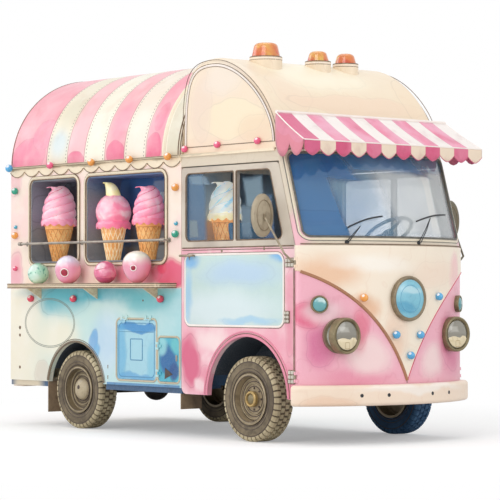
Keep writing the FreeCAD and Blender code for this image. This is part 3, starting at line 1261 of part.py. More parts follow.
def windscreen_opening():
    half, low, high = size.windscreen_half, size.windscreen_low_z, size.windscreen_high_z
    corners = [(Vector(size.arch_crown_x, y, z), size.windscreen_radius)
               for y, z in ((-half, low), (half, low), (half, high), (-half, high))]
    return Part.Face(rounded_outline(corners)).extrude(X_AXIS * size.nose_radius)


def door_region(top):
    """Everything beside the cab that a door covers, out to the pillars."""
    rear, low, half = size.seam_x - 2 * size.wall, size.cab_bottom_z, 2 * size.half_width
    outline = [Vector(x, -half, z) for x, z in ((rear, low), (size.corner_x, low), (size.corner_x, size.belt_z),
                                                (door_front_x(top, 0), top), (rear, top))]
    return Part.Face(Part.makePolygon(outline + outline[:1])).extrude(Vector(0, 2 * half, 0))


def cab_upper_frame():
    """Windscreen frame, pillars, header over the windscreen and rails over the doors."""
    low, high, wide = size.belt_z, size.gutter_z, 2 * size.half_width
    rear = size.seam_x
    band = raked_prism(0, rear, low, high).cut(raked_prism(-size.wall, rear - size.wall, low, high))
    header = raked_prism(-size.wall + 1, rear, low, high)
    header = header.common(slab(Vector(size.arch_front_x - 2 * size.sill_gap - size.arch_overhang + 11, -wide,
                                       high - size.header_height), Vector(size.nose_x, wide, high)))
    frame = band.cut(door_region(size.door_top_z + 2 * size.door_gap)).cut(windscreen_opening()).fuse(header)
    behind = slab(Vector(size.rear_x, -wide, low), Vector(rear, wide, 2 * high))
    return feature("cab_upper_frame", frame.cut(behind).removeSplitter())


def windscreen_glass():
    """The curved pane, set into its opening."""
    low, high = size.windscreen_low_z - 10, size.windscreen_high_z + 10
    inset = -size.glass_inset
    shell = raked_prism(inset, size.seam_x, low, high).cut(
        raked_prism(inset - size.glass_thickness, size.seam_x - 10, low, high))
    return feature("windscreen_glass", shell.common(windscreen_opening()))


def arch_curve(inset, y, foot_x, fullness):
    """Quarter of the cab roof's side view, from the crown down to a foot on the gutter's height."""
    crown, foot = Vector(size.arch_crown_x, y, size.crown_z - inset), Vector(foot_x, y, size.gutter_z)
    curve = Part.BezierCurve()
    curve.setPoles([crown, crown + X_AXIS * fullness * (foot.x - crown.x), foot + Z_AXIS * fullness * (crown.z - foot.z),
                    foot])
    return curve


def front_slope(inset, y):
    return arch_curve(inset, y, size.arch_front_x - inset, 0.45)


def arch_solid(inset, side_inset, drop):
    """The cab roof's cross arch as a solid, pulled from side to side: a full shoulder behind, a long slope ahead."""
    start = -size.half_width + side_inset
    rear = arch_curve(inset, start, size.seam_x + inset, 0.85)
    front = front_slope(inset, start)
    edges = [rear.toShape(), front.toShape()]
    corners = [front.EndPoint, front.EndPoint - Z_AXIS * drop, rear.EndPoint - Z_AXIS * drop, rear.EndPoint]
    if drop == 0:
        corners = [front.EndPoint, rear.EndPoint]
    edges += [Part.makeLine(first, last) for first, last in zip(corners, corners[1:])]
    return Part.Face(Part.Wire(Part.sortEdges(edges)[0])).extrude(Vector(0, -2 * start, 0))


def ridge_solid(inset, start, drop):
    """The low ridge that carries the box roof's line on to the middle of the cab roof."""
    face = half_ellipse_face(Vector(start, 0, size.gutter_z), Y_AXIS, size.half_width - size.ridge_inset - inset,
                             size.arch_rise - size.ridge_drop - inset, drop)
    return face.extrude(Vector(size.arch_crown_x - start, 0, 0))


def cab_roof_outside():
    cross = arch_solid(0, 0, 0)
    rims = [edge for edge in cross.Edges if abs(abs(edge.CenterOfMass.y) - size.half_width) < 1
            and edge.CenterOfMass.z > size.gutter_z + 10]
    cross = cross.makeFillet(size.roof_edge_radius, rims)
    return cross.fuse(ridge_solid(0, size.seam_x, 0))


def cab_roof(outside):
    """The moulded cab roof: a cross arch closed at both sides, joined to the box roof by a ridge."""
    skin, drop = size.roof_skin, 20
    inside = arch_solid(skin, size.wall, drop).fuse(ridge_solid(skin, size.seam_x - drop, drop))
    return cut("cab_roof", outside, feature("cab_roof_inside", inside))


def roof_surface_x(z):
    """X of the cab roof's front slope at a height."""
    curve, low, high = front_slope(0, 0), 0.0, 1.0
    for _ in range(40):
        middle = (low + high) / 2
        low, high = (middle, high) if curve.value(middle).z > z else (low, middle)
    return curve.value(low).x


def beacon_bases(roof_outside):
    """Round stands of the three beacons, fitted to the crown of the cab roof."""
    stands = []
    for number, (y, radius, _) in enumerate(BEACONS, start=1):
        stand = rod("beacon_stand_%d" % number, radius, "beacon_top_z - beacon_low_z", ("beacon_x", y, "beacon_low_z"))
        stands.append(cut("beacon_base_%d" % number, stand, roof_outside))
    return gather("beacon_bases", stands)


def beacon_domes():
    """Domes of the three beacons, tapering upwards to a rounded top."""
    domes = []
    for number, (y, radius, height) in enumerate(BEACONS, start=1):
        body = doc.addObject("PartDesign::Body", "beacon_dome_%d" % number)
        cone = body.newObject("PartDesign::AdditiveCone", body.Name + "_cone")
        bind(cone, Radius1="%d - beacon_ring" % radius, Radius2="%d - beacon_ring - beacon_taper" % radius, Height=height)
        filleted_body(body.Name, cone, lambda edge: edge.Closed and edge.CenterOfMass.z > 1, "beacon_rounding")
        domes.append(put(body, ("beacon_x", y, "beacon_top_z")))
    return gather("beacon_domes", domes)


def awning_plane():
    """Upper and lower edge of the awning's sloping sheet in side view, and its upward normal."""
    top = Vector(roof_surface_x(size.awning_top_z) + size.awning_clearance, 0, size.awning_top_z)
    low = Vector(size.awning_bar_x + 4, 0, size.awning_bar_z + 5)
    along = (low - top).normalize()
    return top, low, along, Vector(-along.z, 0, along.x)


def awning_canopy():
    """The awning cloth as a thin closed hood: sloping sheet, side cheeks and hanging front edge."""
    top, low, _, normal = awning_plane()
    cloth = size.awning_cloth
    root_y, tip_y = size.half_width + 2, size.awning_half_width + 2
    corners = [Vector(top.x, -root_y, top.z), Vector(low.x, -tip_y, low.z), Vector(low.x, tip_y, low.z),
               Vector(top.x, root_y, top.z)]
    slope = Part.Face(Part.makePolygon(corners + corners[:1])).extrude(normal * -cloth)
    hem = low.z - size.valance_depth
    valance = slab(Vector(low.x - cloth, -tip_y, hem), Vector(low.x, tip_y, low.z))
    back_x = size.arch_front_x + 12
    slant = (tip_y - root_y) / (low.x - top.x)
    back_y = root_y + slant * (back_x - top.x)
    cheek = [Vector(top.x, root_y, top.z), Vector(low.x, tip_y, low.z), Vector(low.x, tip_y, hem),
             Vector(back_x, back_y, hem + 4), Vector(back_x, back_y, size.gutter_z + 20)]
    face = Part.Face(Part.makePolygon(cheek + cheek[:1]))
    cheeks = both_sides(face.extrude(Vector(slant, -1, 0).normalize() * cloth))
    hood = slope.fuse([valance] + cheeks).cut(arch_solid(-size.awning_clearance / 2, -size.awning_overhang, 0))
    return feature("awning_canopy", hood.removeSplitter())


def awning_frame():
    """The awning's front tube and three arms down to the roof's front edge."""
    _, low, along, normal = awning_plane()
    radius = size.tube_radius
    front = low - normal * (size.awning_cloth + radius + size.seat_gap) - along * size.bar_setback
    reach = size.awning_half_width - size.bar_setback
    tube = Part.makeCylinder(radius, 2 * reach, front - Y_AXIS * reach, Y_AXIS)
    foot_z = size.gutter_z + size.arm_foot_rise
    arm = Vector(roof_surface_x(foot_z) + 4, 0, foot_z) - front
    arm_y = size.half_width - 3 * size.bar_setback
    arms = [Part.makeCylinder(size.arm_radius, arm.Length, front + Y_AXIS * y, arm)
            for y in (arm_y - size.bar_setback, 0, size.bar_setback - arm_y)]
    return feature("awning_frame", tube.fuse(arms).removeSplitter())


def bumper_bar():
    """The front bumper, a rounded bar that follows the front from corner to corner."""
    low, rear = size.bumper_low_z, size.front_axle_x
    height = Z_AXIS * size.bumper_height
    outer = nose_plan(size.bumper_reach, rear, low).extrude(height)
    rims = [edge for edge in outer.Edges if abs(edge.Vertexes[0].Z - edge.Vertexes[-1].Z) < 1
            and edge.CenterOfMass.x > rear + 1]
    outer = outer.makeFillet(size.bumper_rounding, rims)
    bar = outer.cut(nose_plan(size.panel_proud, rear - size.wall, low - 1).extrude(height + Z_AXIS * 2))
    wide = 2 * size.half_width
    bar = bar.cut(slab(Vector(rear - size.wall, -wide, 0), Vector(size.bumper_end_x, wide, size.belt_z)))
    for place in (-2, -1, 1, 2):
        bar = bar.cut(Part.makeCylinder(size.bumper_hole_radius, size.nose_radius, Vector(
            size.nose_centre_x, place * size.bumper_hole_pitch, size.bumper_hole_z), X_AXIS))
    return feature("front_bumper", bar)


def bumpers():
    """The front bumper and the rear step."""
    step = rounded_block("step_board", ("rear_x - bumper_reach", "rear_x + step_depth"),
                         ("-sill_inner_y", "sill_inner_y"), ("step_low_z", "step_top_z"), "bumper_rounding", Z_AXIS)
    return gather("bumpers", [bumper_bar(), step])


def tail_lamps(name, radius, reach, depth):
    """One layer of the four tail lamps, from reach behind the rear wall."""
    discs = []
    for number, z in enumerate(("tail_lamp_z", "tail_lamp_z + tail_lamp_pitch"), start=1):
        discs += pair(rod("%s_%d" % (name, number), radius, depth, ("rear_x - (%s)" % reach, "tail_lamp_y", z), X_AXIS))
    return discs


def lamp_bodies():
    """Bezels and bowls of the headlamps, front markers and tail lamps."""
    skin = nose_plan(size.seat_gap, size.seam_x, 0).extrude(Z_AXIS * size.gutter_z)
    bodies = []
    for number, (y, z, radius, reach) in enumerate(front_lamps(), start=1):
        neck = lamp_cylinder(y, z, radius - size.lamp_neck - size.seat_gap, 5, size.wall + 4)
        ring = lamp_cylinder(y, z, radius, reach, reach + 30).cut(skin)
        mouth = lamp_cylinder(y, z, radius - size.lamp_ring, reach + 1, 20)
        bodies += pair(feature("lamp_body_%d" % number, neck.fuse(ring).cut(mouth).removeSplitter()))
    return gather("lamp_bodies", bodies + tail_lamps("tail_body", "tail_lamp_radius", "tail_lamp_reach", "tail_lamp_reach"))


def lamp_lenses():
    """Lenses of the same lamps."""
    lenses = []
    for number, (y, z, radius, reach) in enumerate(front_lamps(), start=1):
        lens = lamp_cylinder(y, z, radius - size.lamp_ring - size.seat_gap, reach + 6, 25)
        lenses += pair(feature("lamp_lens_%d" % number, lens))
    return gather("lamp_lenses", lenses + tail_lamps("tail_lens", "tail_lamp_radius - 10", "tail_lamp_reach + 12", "12"))


def front_badge():
    """A round plain badge set into the V panel."""
    surface = size.nose_x + size.panel_proud
    neck = Part.makeCylinder(size.badge_radius - size.badge_neck - size.seat_gap, size.wall + size.badge_reach / 2,
                             Vector(surface - size.wall, 0, size.badge_z), X_AXIS)
    disc = Part.makeCylinder(size.badge_radius, size.wall, Vector(surface + size.badge_reach - size.wall, 0, size.badge_z),
                             X_AXIS)
    keep = nose_plan(size.panel_proud + size.seat_gap, size.seam_x, 0).extrude(Z_AXIS * size.gutter_z)
    return feature("front_badge", disc.cut(keep).fuse(neck).removeSplitter())


def steering_axis():
    lean = math.radians(size.steering_lean)
    return Vector(-math.sin(lean), 0, math.cos(lean))


def dashboard():
    """The dashboard behind the front panels with the steering column."""
    low, high = size.belt_z - size.dash_drop, size.belt_z - size.dash_gap
    body = nose_plan(-size.wall - size.seat_gap, size.dash_rear_x, low).extrude(Z_AXIS * (high - low))
    door = slab(Vector(size.seam_x, size.half_width - 2 * size.wall, 0),
                Vector(size.corner_x, 2 * size.half_width, size.gutter_z))
    body = body.cut(both_sides(door))
    wheel = Vector(size.steering_x, size.steering_y, size.steering_z)
    column = Part.makeCylinder(size.column_radius, size.column_length - size.steering_hub_back - size.seat_gap,
                               wheel - steering_axis() * size.column_length, steering_axis())
    return feature("dashboard", body.fuse(column).removeSplitter())


def steering_wheel():
    """The steering wheel: rim, three spokes and hub."""
    wheel = Part.makeTorus(size.steering_radius, size.steering_rim)
    for angle in (0, 120, 240):
        spoke = slab(Vector(0, -size.steering_rim, -size.steering_rim / 2),
                     Vector(size.steering_radius, size.steering_rim, size.steering_rim / 4))
        spoke.rotate(Vector(), Z_AXIS, angle)
        wheel = wheel.fuse(spoke)
    wheel = wheel.fuse(Part.makeCylinder(size.steering_hub_radius, 26, Vector(0, 0, -size.steering_hub_back)))
    return feature("steering_wheel", wheel, Placement(Vector(size.steering_x, size.steering_y, size.steering_z),
                                                      Rotation(Y_AXIS, -size.steering_lean)))


def seats():
    """Two cab seats: pedestal, cushion and back in one."""
    y = ("seat_y - seat_half_width", "seat_y + seat_half_width")
    pedestal = block("seat_pedestal", ("seat_x + pedestal_inset", "seat_x + seat_depth - 2 * pedestal_inset"),
                     grown(y, "-pedestal_inset"), ("seat_foot_z", "seat_z"))
    cushion = block("seat_cushion_block", ("seat_x", "seat_x + seat_depth"), y, ("seat_z", "cushion_top_z"))
    rear, top = size.seat_x - size.seat_back_thickness, size.cushion_top_z + size.seat_back_height
    lean, start = size.seat_back_lean, size.seat_y - size.seat_half_width
    corners = [(rear, size.seat_z, 20), (size.seat_x, size.seat_z, 0.5), (size.seat_x, size.cushion_top_z, 0.5),
               (size.seat_x - lean, top, 40), (rear - lean - 20, top, 40)]
    outline = rounded_outline([(Vector(x, start, z), radius) for x, z, radius in corners])
    back = feature("seat_back", Part.Face(outline).extrude(Y_AXIS * 2 * size.seat_half_width))
    return gather("seats", pair(fuse("left_seat", [pedestal, cushion, back])))


# ---------------------------------------------------------------- doors

def door_window_outlines():
    """Corners of the two lights of a door window, with a pillar between them."""
    low, high, half_post = size.door_window_low_z, size.door_window_high_z, size.divider_width / 2
    rear, divider, border = size.seam_x + size.door_border, size.divider_x, size.door_front_border
    front_low, front_high = door_front_x(low, border), door_front_x(high, border)
    return [[(rear, low, 45), (divider - half_post, low, 12), (divider - half_post, high, 12), (rear, high, 45)],
            [(divider + half_post, low, 12), (front_low, low, 45), (front_high, high, 45),
             (divider + half_post, high, 12)]]


def cab_door():
    """Right door without its glass: a plate round the wheel arch and up between the pillars."""
    gap, half = size.door_gap, size.half_width
    rear, front, top = size.seam_x + gap, door_front_x(0, gap), size.door_top_z
    plate = side_plate([(rear, size.cab_bottom_z, 60), (front, size.cab_bottom_z, 40), (front, size.belt_z, 60),
                        (door_front_x(top, gap), top, 40), (rear, top, 30)], half, size.wall)
    plate = plate.cut(arch_cylinder(size.front_axle_x, size.front_arch_radius, -half - 10, 0))
    for corners in door_window_outlines():
        plate = plate.cut(side_plate(corners, half + 10, size.wall + 20))
    return feature("door_right", plate)


def door_glass():
    """The two panes of the right door."""
    panes = [feature("door_pane_%d" % number, side_plate(corners, size.half_width - size.glass_inset, size.glass_thickness))
             for number, corners in enumerate(door_window_outlines(), start=1)]
    return gather("door_glass_right", panes)


def wing_mirror():
    """The right mirror's shell on its bent arm, which stands on the upper hinge's leaf."""
    middle = Vector(size.hinge_x - size.mirror_back, -size.half_width - size.mirror_reach, size.belt_z + size.mirror_rise)
    outline = Part.Ellipse(middle + Z_AXIS * size.mirror_half_height, middle + Y_AXIS * size.mirror_half_width, middle)
    shell = Part.Face(Part.Wire(outline.toShape())).extrude(X_AXIS * size.mirror_depth)
    shell.translate(X_AXIS * -size.mirror_depth / 2)
    shell = shell.makeFillet(size.mirror_rounding, [edge for edge in shell.Edges if edge.Closed])
    foot = Vector(size.hinge_x - size.hinge_leaf / 2, -size.half_width - size.hinge_radius,
                  size.upper_hinge_z + size.door_hinge_length / 2)
    knee = Vector(foot.x - 10, middle.y + 45, size.belt_z - 62)
    head = middle + X_AXIS * (size.mirror_depth / 2 - 4)
    radius = size.mirror_arm_radius
    arm = [Part.makeSphere(radius, knee)]
    for first, last in ((foot, knee), (knee, head)):
        arm.append(Part.makeCylinder(radius, (last - first).Length, first, last - first))
    return feature("mirror_on_arm", shell.fuse(arm))


def door_hardware(hinges):
    """Hinge halves, pull handle and mirror of the right door."""
    rear, y, z = "seam_x + door_gap + 18", "-half_width - handle_reach", "belt_z - handle_drop"
    handle = [rod("door_handle_bar", "handle_radius", "handle_length", (rear, y, z), X_AXIS)]
    for name, ahead in (("rear", "14"), ("front", "handle_length - 15")):
        handle.append(rod("door_handle_%s_post" % name, "handle_radius - 1", "handle_reach",
                          ("%s + %s" % (rear, ahead), y, z), Y_AXIS))
    (upper, _), (lower, _) = hinges
    return gather("door_hardware_right", [fuse("upper_hinge_and_mirror", [upper, wing_mirror()]), lower,
                                          fuse("door_handle", handle)])


def build():
    """Makes every sub-part and marks it for writing."""
    roof_outside = feature("cab_roof_mould", cab_roof_outside())
    hatch, flap, rear, cab = service_hatch_hinges(), filler_flap_hinges(), rear_door_hinges(), cab_door_hinges()
    made = [chassis_frame(), floor_pan(), engine_block(), exhaust(), front_axle(), rear_axle(), mudflaps(),
            box_side_right(hatch + flap), box_side_left(), box_rear_wall(rear), bulkhead(), box_roof(),
            gutter_fascia(), window_bays(), serving_glass(), window_frames(), serving_counter(), serving_rail(),
            display_cones(), counter_treats(), rear_door(rear),
            hatch_lid("service_hatch", ("hatch_rear_x", "hatch_front_x"), ("hatch_low_z", "hatch_high_z"), hatch),
            hatch_lid("filler_flap", ("flap_rear_x", "flap_front_x"), ("flap_low_z", "flap_high_z"), flap),
            front_side_panels(cab[1]), front_v_panel(cab[0]), cab_upper_frame(), windscreen_glass(),
            cab_roof(roof_outside), beacon_bases(roof_outside), beacon_domes(), awning_canopy(), awning_frame(),
            bumpers(), lamp_bodies(), lamp_lenses(), front_badge(), dashboard(), steering_wheel(), seats()]
    made += steering_knuckles()
    for right in (cab_door(), door_glass(), door_hardware(cab)):
        made += [right, mirrored(right, right.Name.replace("right", "left"))]
    for word, side in (("right", -1), ("left", 1)):
        for place, axle_x in (("front", "front_axle_x"), ("rear", "rear_axle_x")):
            made += [wheel_rim("rim_%s_%s" % (place, word), axle_x, side),
                     tyre("tyre_%s_%s" % (place, word), axle_x, side)]
    for piece in made:
        sub_part(piece, piece.Name)


build()
doc.recompute()

for piece in doc.Objects:
    if "Invalid" in piece.State or "Error" in piece.State:
        raise RuntimeError("failed object: " + piece.Label)
for piece in SUB_PARTS:
    if piece.Shape.isNull() or not piece.Shape.isValid():
        raise RuntimeError("bad shape: " + piece.Label)

os.makedirs("parts", exist_ok=True)
for piece in SUB_PARTS:
    piece.Shape.exportStep("parts/%s.step" % piece.Label)
print("wrote %d sub-parts" % len(SUB_PARTS))
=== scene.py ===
"""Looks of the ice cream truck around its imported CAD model, in the model's frame and in metres.

+X is forward and -Y the serving side.  Every piece is made at its own place, so a material's object
coordinates are the truck's own coordinates at rest.
"""
import json
import math

import bmesh
import bpy
from mathutils import Matrix, Vector, noise

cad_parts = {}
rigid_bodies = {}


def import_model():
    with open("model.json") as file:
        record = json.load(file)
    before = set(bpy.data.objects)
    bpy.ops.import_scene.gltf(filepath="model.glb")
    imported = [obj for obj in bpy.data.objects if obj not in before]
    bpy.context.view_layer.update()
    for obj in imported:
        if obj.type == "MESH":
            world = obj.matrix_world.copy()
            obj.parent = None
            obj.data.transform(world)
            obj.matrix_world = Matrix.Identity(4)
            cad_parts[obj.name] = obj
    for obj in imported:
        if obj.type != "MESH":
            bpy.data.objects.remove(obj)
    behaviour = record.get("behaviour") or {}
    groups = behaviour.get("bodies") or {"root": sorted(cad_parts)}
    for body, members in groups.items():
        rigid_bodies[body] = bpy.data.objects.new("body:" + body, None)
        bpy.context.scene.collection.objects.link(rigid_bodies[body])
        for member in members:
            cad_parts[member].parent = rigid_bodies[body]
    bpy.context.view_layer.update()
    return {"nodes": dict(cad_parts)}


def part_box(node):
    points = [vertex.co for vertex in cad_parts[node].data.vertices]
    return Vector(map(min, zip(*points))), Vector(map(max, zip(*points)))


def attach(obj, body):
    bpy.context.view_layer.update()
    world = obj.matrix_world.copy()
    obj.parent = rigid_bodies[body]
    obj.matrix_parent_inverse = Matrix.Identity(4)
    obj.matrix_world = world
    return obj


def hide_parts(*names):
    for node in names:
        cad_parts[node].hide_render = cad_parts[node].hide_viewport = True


for default in list(bpy.data.objects):
    bpy.data.objects.remove(default)
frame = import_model()

# ---------------------------------------------------------------- places taken from the CAD model

side_low, side_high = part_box("box_side_left")
HALF = side_high.y
REAR, SEAM = side_low.x, side_high.x
SILL, GUTTER = side_low.z, side_high.z
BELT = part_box("front_v_panel")[1].z
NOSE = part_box("front_side_panels")[1].x
DOOR_LOW, DOOR_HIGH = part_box("door_right")
COUNTER_LOW, COUNTER_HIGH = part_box("serving_counter")
FRAMES_LOW, FRAMES_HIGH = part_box("window_frames")
HATCH_LOW, HATCH_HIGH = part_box("service_hatch")
FLAP_LOW, FLAP_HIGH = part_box("filler_flap")
BADGE_LOW, BADGE_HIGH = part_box("front_badge")
ROOF_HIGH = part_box("cab_roof")[1]
BORDER = 0.028  # width of a serving window's frame
REAR_WINDOW, FRONT_WINDOW = 0.70, 1.08  # widths of the two openings
WINDOW_LOW, WINDOW_HIGH = FRAMES_LOW.z + BORDER, FRAMES_HIGH.z - BORDER
WINDOWS = [(FRAMES_LOW.x + BORDER, FRAMES_LOW.x + BORDER + REAR_WINDOW),
           (FRAMES_HIGH.x - BORDER - FRONT_WINDOW, FRAMES_HIGH.x - BORDER)]
LEAN = 0.223 / (GUTTER - BELT)  # how far the windscreen leans back for each metre of height
NOSE_RADIUS = 1.469206  # of the cab's front, seen from above
NOSE_CENTRE = NOSE - NOSE_RADIUS
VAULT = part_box("box_roof")[1].z - GUTTER
CROWN = SEAM + 0.402  # the highest place of the cab roof
SIDES = (("right", -1), ("left", 1))
WHEELS = {}
for place in ("front", "rear"):
    for word in ("right", "left"):
        low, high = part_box("tyre_%s_%s" % (place, word))
        WHEELS[place, word] = (low + high) / 2
HEADLAMP, MARKER_LAMP = (0.584, 0.825), (0.728, 1.061)  # Y and Z of the left ones' middles
TAIL_LAMPS = (0.700, 0.900), (0.700, 1.060)  # Y and Z on the left
MIRROR_PLACE = 1.5199, 0.995, 1.731  # middle of the left mirror's head
BEACONS = (-0.480, 0.130), (0.070, 0.105), (0.370, 0.105)  # Y and radius of each foot
RAIL_OUT = 0.075  # from the side's face to the guard bar's axis
BUMPER_HOLES, BUMPER_HOLE_HEIGHT = (-0.460, -0.230, 0.230, 0.460), 0.376
REAR_ARCH = 0.40  # radius of the rear wheel arches
X, Y, Z = Vector((1, 0, 0)), Vector((0, 1, 0)), Vector((0, 0, 1))


def at(x, y, z):
    return Vector((x, y, z))


def polar(radius, angle, height):
    """A point turned about the upright axis."""
    return at(radius * math.cos(angle), radius * math.sin(angle), height)


# ---------------------------------------------------------------- materials

def colour(code):
    """Linear colour of an #RRGGBB code."""
    values = [int(code[i:i + 2], 16) / 255 for i in (1, 3, 5)]
    return [v / 12.92 if v <= 0.04045 else ((v + 0.055) / 1.055) ** 2.4 for v in values] + [1]


def scaled(code, factor):
    """Linear colour of a code, made lighter or darker."""
    return [min(1, c * factor) for c in colour(code)[:3]] + [1]


WINDOW_GLOW, CAB_GLOW = 0.24, 0.50  # painted light: how strongly the ice creams glow in the windows and in the cab
LIGHT_FROM = 0.34, -0.76, 0.55  # where painted highlights lie on small round things
GRAIN = 90, 4, 0.7  # scale, detail and roughness of the paint's fine grain


class Nodes:
    """A node tree with short calls for the nodes used here."""

    def __init__(self, owner):
        owner.use_nodes = True
        self.nodes, self.links = owner.node_tree.nodes, owner.node_tree.links

    def new(self, kind, settings=None, **inputs):
        node = self.nodes.new(kind)
        for key, value in (settings or {}).items():
            setattr(node, key, value)
        for key, value in inputs.items():
            self.put(node.inputs[int(key[1:]) if key[1:].isdigit() else key.replace("_", " ")], value)
        return node

    def put(self, socket, value):
        if isinstance(value, bpy.types.NodeSocket):
            self.links.new(value, socket)
        else:
            socket.default_value = value

    def math(self, operation, a, b=0.0, c=0.0):
        return self.new("ShaderNodeMath", {"operation": operation}, i0=a, i1=b, i2=c).outputs[0]

    def vector(self, operation, a, b=(0, 0, 0), c=(0, 0, 0)):
        node = self.new("ShaderNodeVectorMath", {"operation": operation}, i0=a, i1=b, i2=c)
        return node.outputs["Value" if operation in ("LENGTH", "DOT_PRODUCT") else "Vector"]

    def span(self, value, low, high, to_low=0.0, to_high=1.0, smooth=True):
        """Maps low..high of a value to another span."""
        kind = "SMOOTHSTEP" if smooth else "LINEAR"
        settings = {"interpolation_type": kind}
        return self.new("ShaderNodeMapRange", settings, i0=value, i1=low, i2=high, i3=to_low, i4=to_high).outputs[0]


class Shader(Nodes):
    """A material's node tree, read from the piece's own coordinates."""

    def __init__(self, name, rough, metallic=0.0, coat=0.0, **sockets):
        self.material = bpy.data.materials.new(name)
        super().__init__(self.material)
        self.bsdf = self.nodes["Principled BSDF"]
        self.place = self.new("ShaderNodeTexCoord").outputs["Object"]
        for socket, value in (("Roughness", rough), ("Metallic", metallic), ("Coat Weight", coat), *sockets.items()):
            self.bsdf.inputs[socket.replace("_", " ")].default_value = value

    def noise(self, scale, detail=3.0, rough=0.55, distortion=0.0, place=None, output="Fac"):
        node = self.new("ShaderNodeTexNoise", None, Vector=place or self.place, Scale=scale, Detail=detail,
                        Roughness=rough, Distortion=distortion)
        return node.outputs[output]

    def mix(self, factor, a, b, mode="MIX"):
        node = self.new("ShaderNodeMix", {"data_type": "RGBA", "blend_type": mode}, i0=factor)
        self.put(node.inputs[6], colour(a) if isinstance(a, str) else a)
        self.put(node.inputs[7], colour(b) if isinstance(b, str) else b)
        return node.outputs[2]

    def apart(self, a, b):
        """Distance between two values."""
        return self.math("ABSOLUTE", self.math("SUBTRACT", a, b))

    def xyz(self, place=None):
        return self.new("ShaderNodeSeparateXYZ", None, Vector=place or self.place).outputs

    def ramp(self, value, stops):
        """Hard bands of colour from (position, colour code) stops."""
        node = self.new("ShaderNodeValToRGB", None, i0=value)
        ramp = node.color_ramp
        ramp.interpolation = "CONSTANT"
        while len(ramp.elements) < len(stops):
            ramp.elements.new(1)
        for element, (position, code) in zip(ramp.elements, sorted(stops)):
            element.position, element.color = position, colour(code)
        return node.outputs[0]

    def wobbly(self, scale, amount):
        """Object coordinates shifted by noise, for soft hand-laid edges."""
        shift = self.vector("MULTIPLY_ADD", self.noise(scale, 3, 0.55, output="Color"),
                            (amount,) * 3, (-amount / 2,) * 3)
        return self.vector("ADD", self.place, shift)

    def reach(self, place, middle, half, square):
        """Share of the way to the edge of an ellipsoid, or of a box that leans with height."""
        away = self.vector("DIVIDE", self.vector("SUBTRACT", place, middle), half)
        if not square:
            return self.vector("LENGTH", away)
        x, y, z = self.xyz(away)
        sides = [self.math("ABSOLUTE", self.math("MULTIPLY_ADD", z, 0.22, side)) for side in (x, y)]
        return self.math("MAXIMUM", self.math("MAXIMUM", *sides), self.math("ABSOLUTE", z))

    def wash(self, base, row, place, square=False):
        """Lays a colour over a region, with an optional darker drying line round it.

        A row says: colour, middle, half sizes, softness of the edge, strength and strength of the line.
        """
        code, middle, half, soft, strength, line = row
        reach = self.reach(place, middle, half, square)
        result = self.mix(self.span(reach, 1 + soft, 1 - soft, 0, strength), base, code)
        if line:
            result = self.mix(self.span(self.apart(reach, 1.0), 0.05, 0.0, 0, line), result, scaled(code, 0.6))
        return result

    def cloud(self, base, code, noise, low, high, share=1.0, mode="MIX"):
        """Lays a colour on where a noise (scale, detail, roughness, distortion) runs high."""
        return self.mix(self.span(self.noise(*noise), low, high, 0, share), base, code, mode)

    def washes(self, base, rows, place):
        for row in rows:
            base = self.wash(base, row, place)
        return base

    def glow(self, tone):
        """Painted light: a glow of its own, for what would be lost in the dark behind the windows and the windscreen.
        """
        self.put(self.bsdf.inputs["Emission Color"], tone)
        strength = self.span(self.xyz()[0], SEAM - 0.05, SEAM + 0.02, WINDOW_GLOW, CAB_GLOW)
        self.put(self.bsdf.inputs["Emission Strength"], strength)

    def finish(self, base, bump=None, depth=0.002, rough_noise=0.0, rough=0.45):
        """Puts colour, uneven gloss and relief on the shader."""
        self.put(self.bsdf.inputs["Base Color"], base)
        if rough_noise:
            self.put(self.bsdf.inputs["Roughness"],
                     self.span(self.noise(9, 4), 0.3, 0.7, rough - rough_noise, rough + rough_noise))
        if bump is not None:
            node = self.new("ShaderNodeBump", None, Strength=0.6, Distance=depth, Height=bump)
            self.put(self.bsdf.inputs["Normal"], node.outputs[0])
        return self.material


def washed(name, base, washes=(), mottle=0.10, rough=0.42, coat=0.25, shade="#B98A72", grain=0.0004, scale=2.2):
    """Hand-washed paint: an uneven base colour, pooled edges and washes."""
    s = Shader(name, rough, 0.0, coat, Coat_Roughness=0.2)
    place = s.wobbly(2.6, 0.16)
    cloud = s.noise(scale, 4, 0.6, 0.4)
    tone = s.mix(s.span(cloud, 0.36, 0.66, 0, mottle * 2), base, scaled(base, 1.12))
    pool = s.span(s.apart(s.noise(scale * 1.7, 2, 0.5, 0.3), 0.5), 0.02, 0.0, 0, mottle)
    tone = s.mix(pool, tone, shade, "MULTIPLY")
    tone = s.cloud(tone, shade, (scale * 0.6, 3, 0.5), 0.5, 0.8, mottle * 1.6, "MULTIPLY")
    tone = s.washes(tone, washes, place)
    fine = s.noise(*GRAIN)
    tone = s.mix(s.span(fine, 0.35, 0.75, 0, 0.05), tone, "#FFFFFF")
    return s.finish(tone, fine, grain, 0.06, rough)


def metal(name, base, rough, dark, metallic):
    """Worn metal with smudges and fine brush lines."""
    s = Shader(name, rough, metallic)
    tone = s.cloud(base, dark, (14, 5, 0.65), 0.42, 0.7, 0.45)
    lines = s.noise(1, 2, 0.6, place=s.vector("MULTIPLY", s.place, (30, 30, 600)))
    return s.finish(tone, lines, 0.0003, 0.1, rough)


def dark_line(name, code="#4A3F3A", rough=0.6):
    """Soft dark rubber and ink-dark trim."""
    s = Shader(name, rough)
    tone = s.mix(s.span(s.noise(25, 3), 0.35, 0.7), code, scaled(code, 1.7))
    return s.finish(tone, s.noise(160, 3), 0.0004)


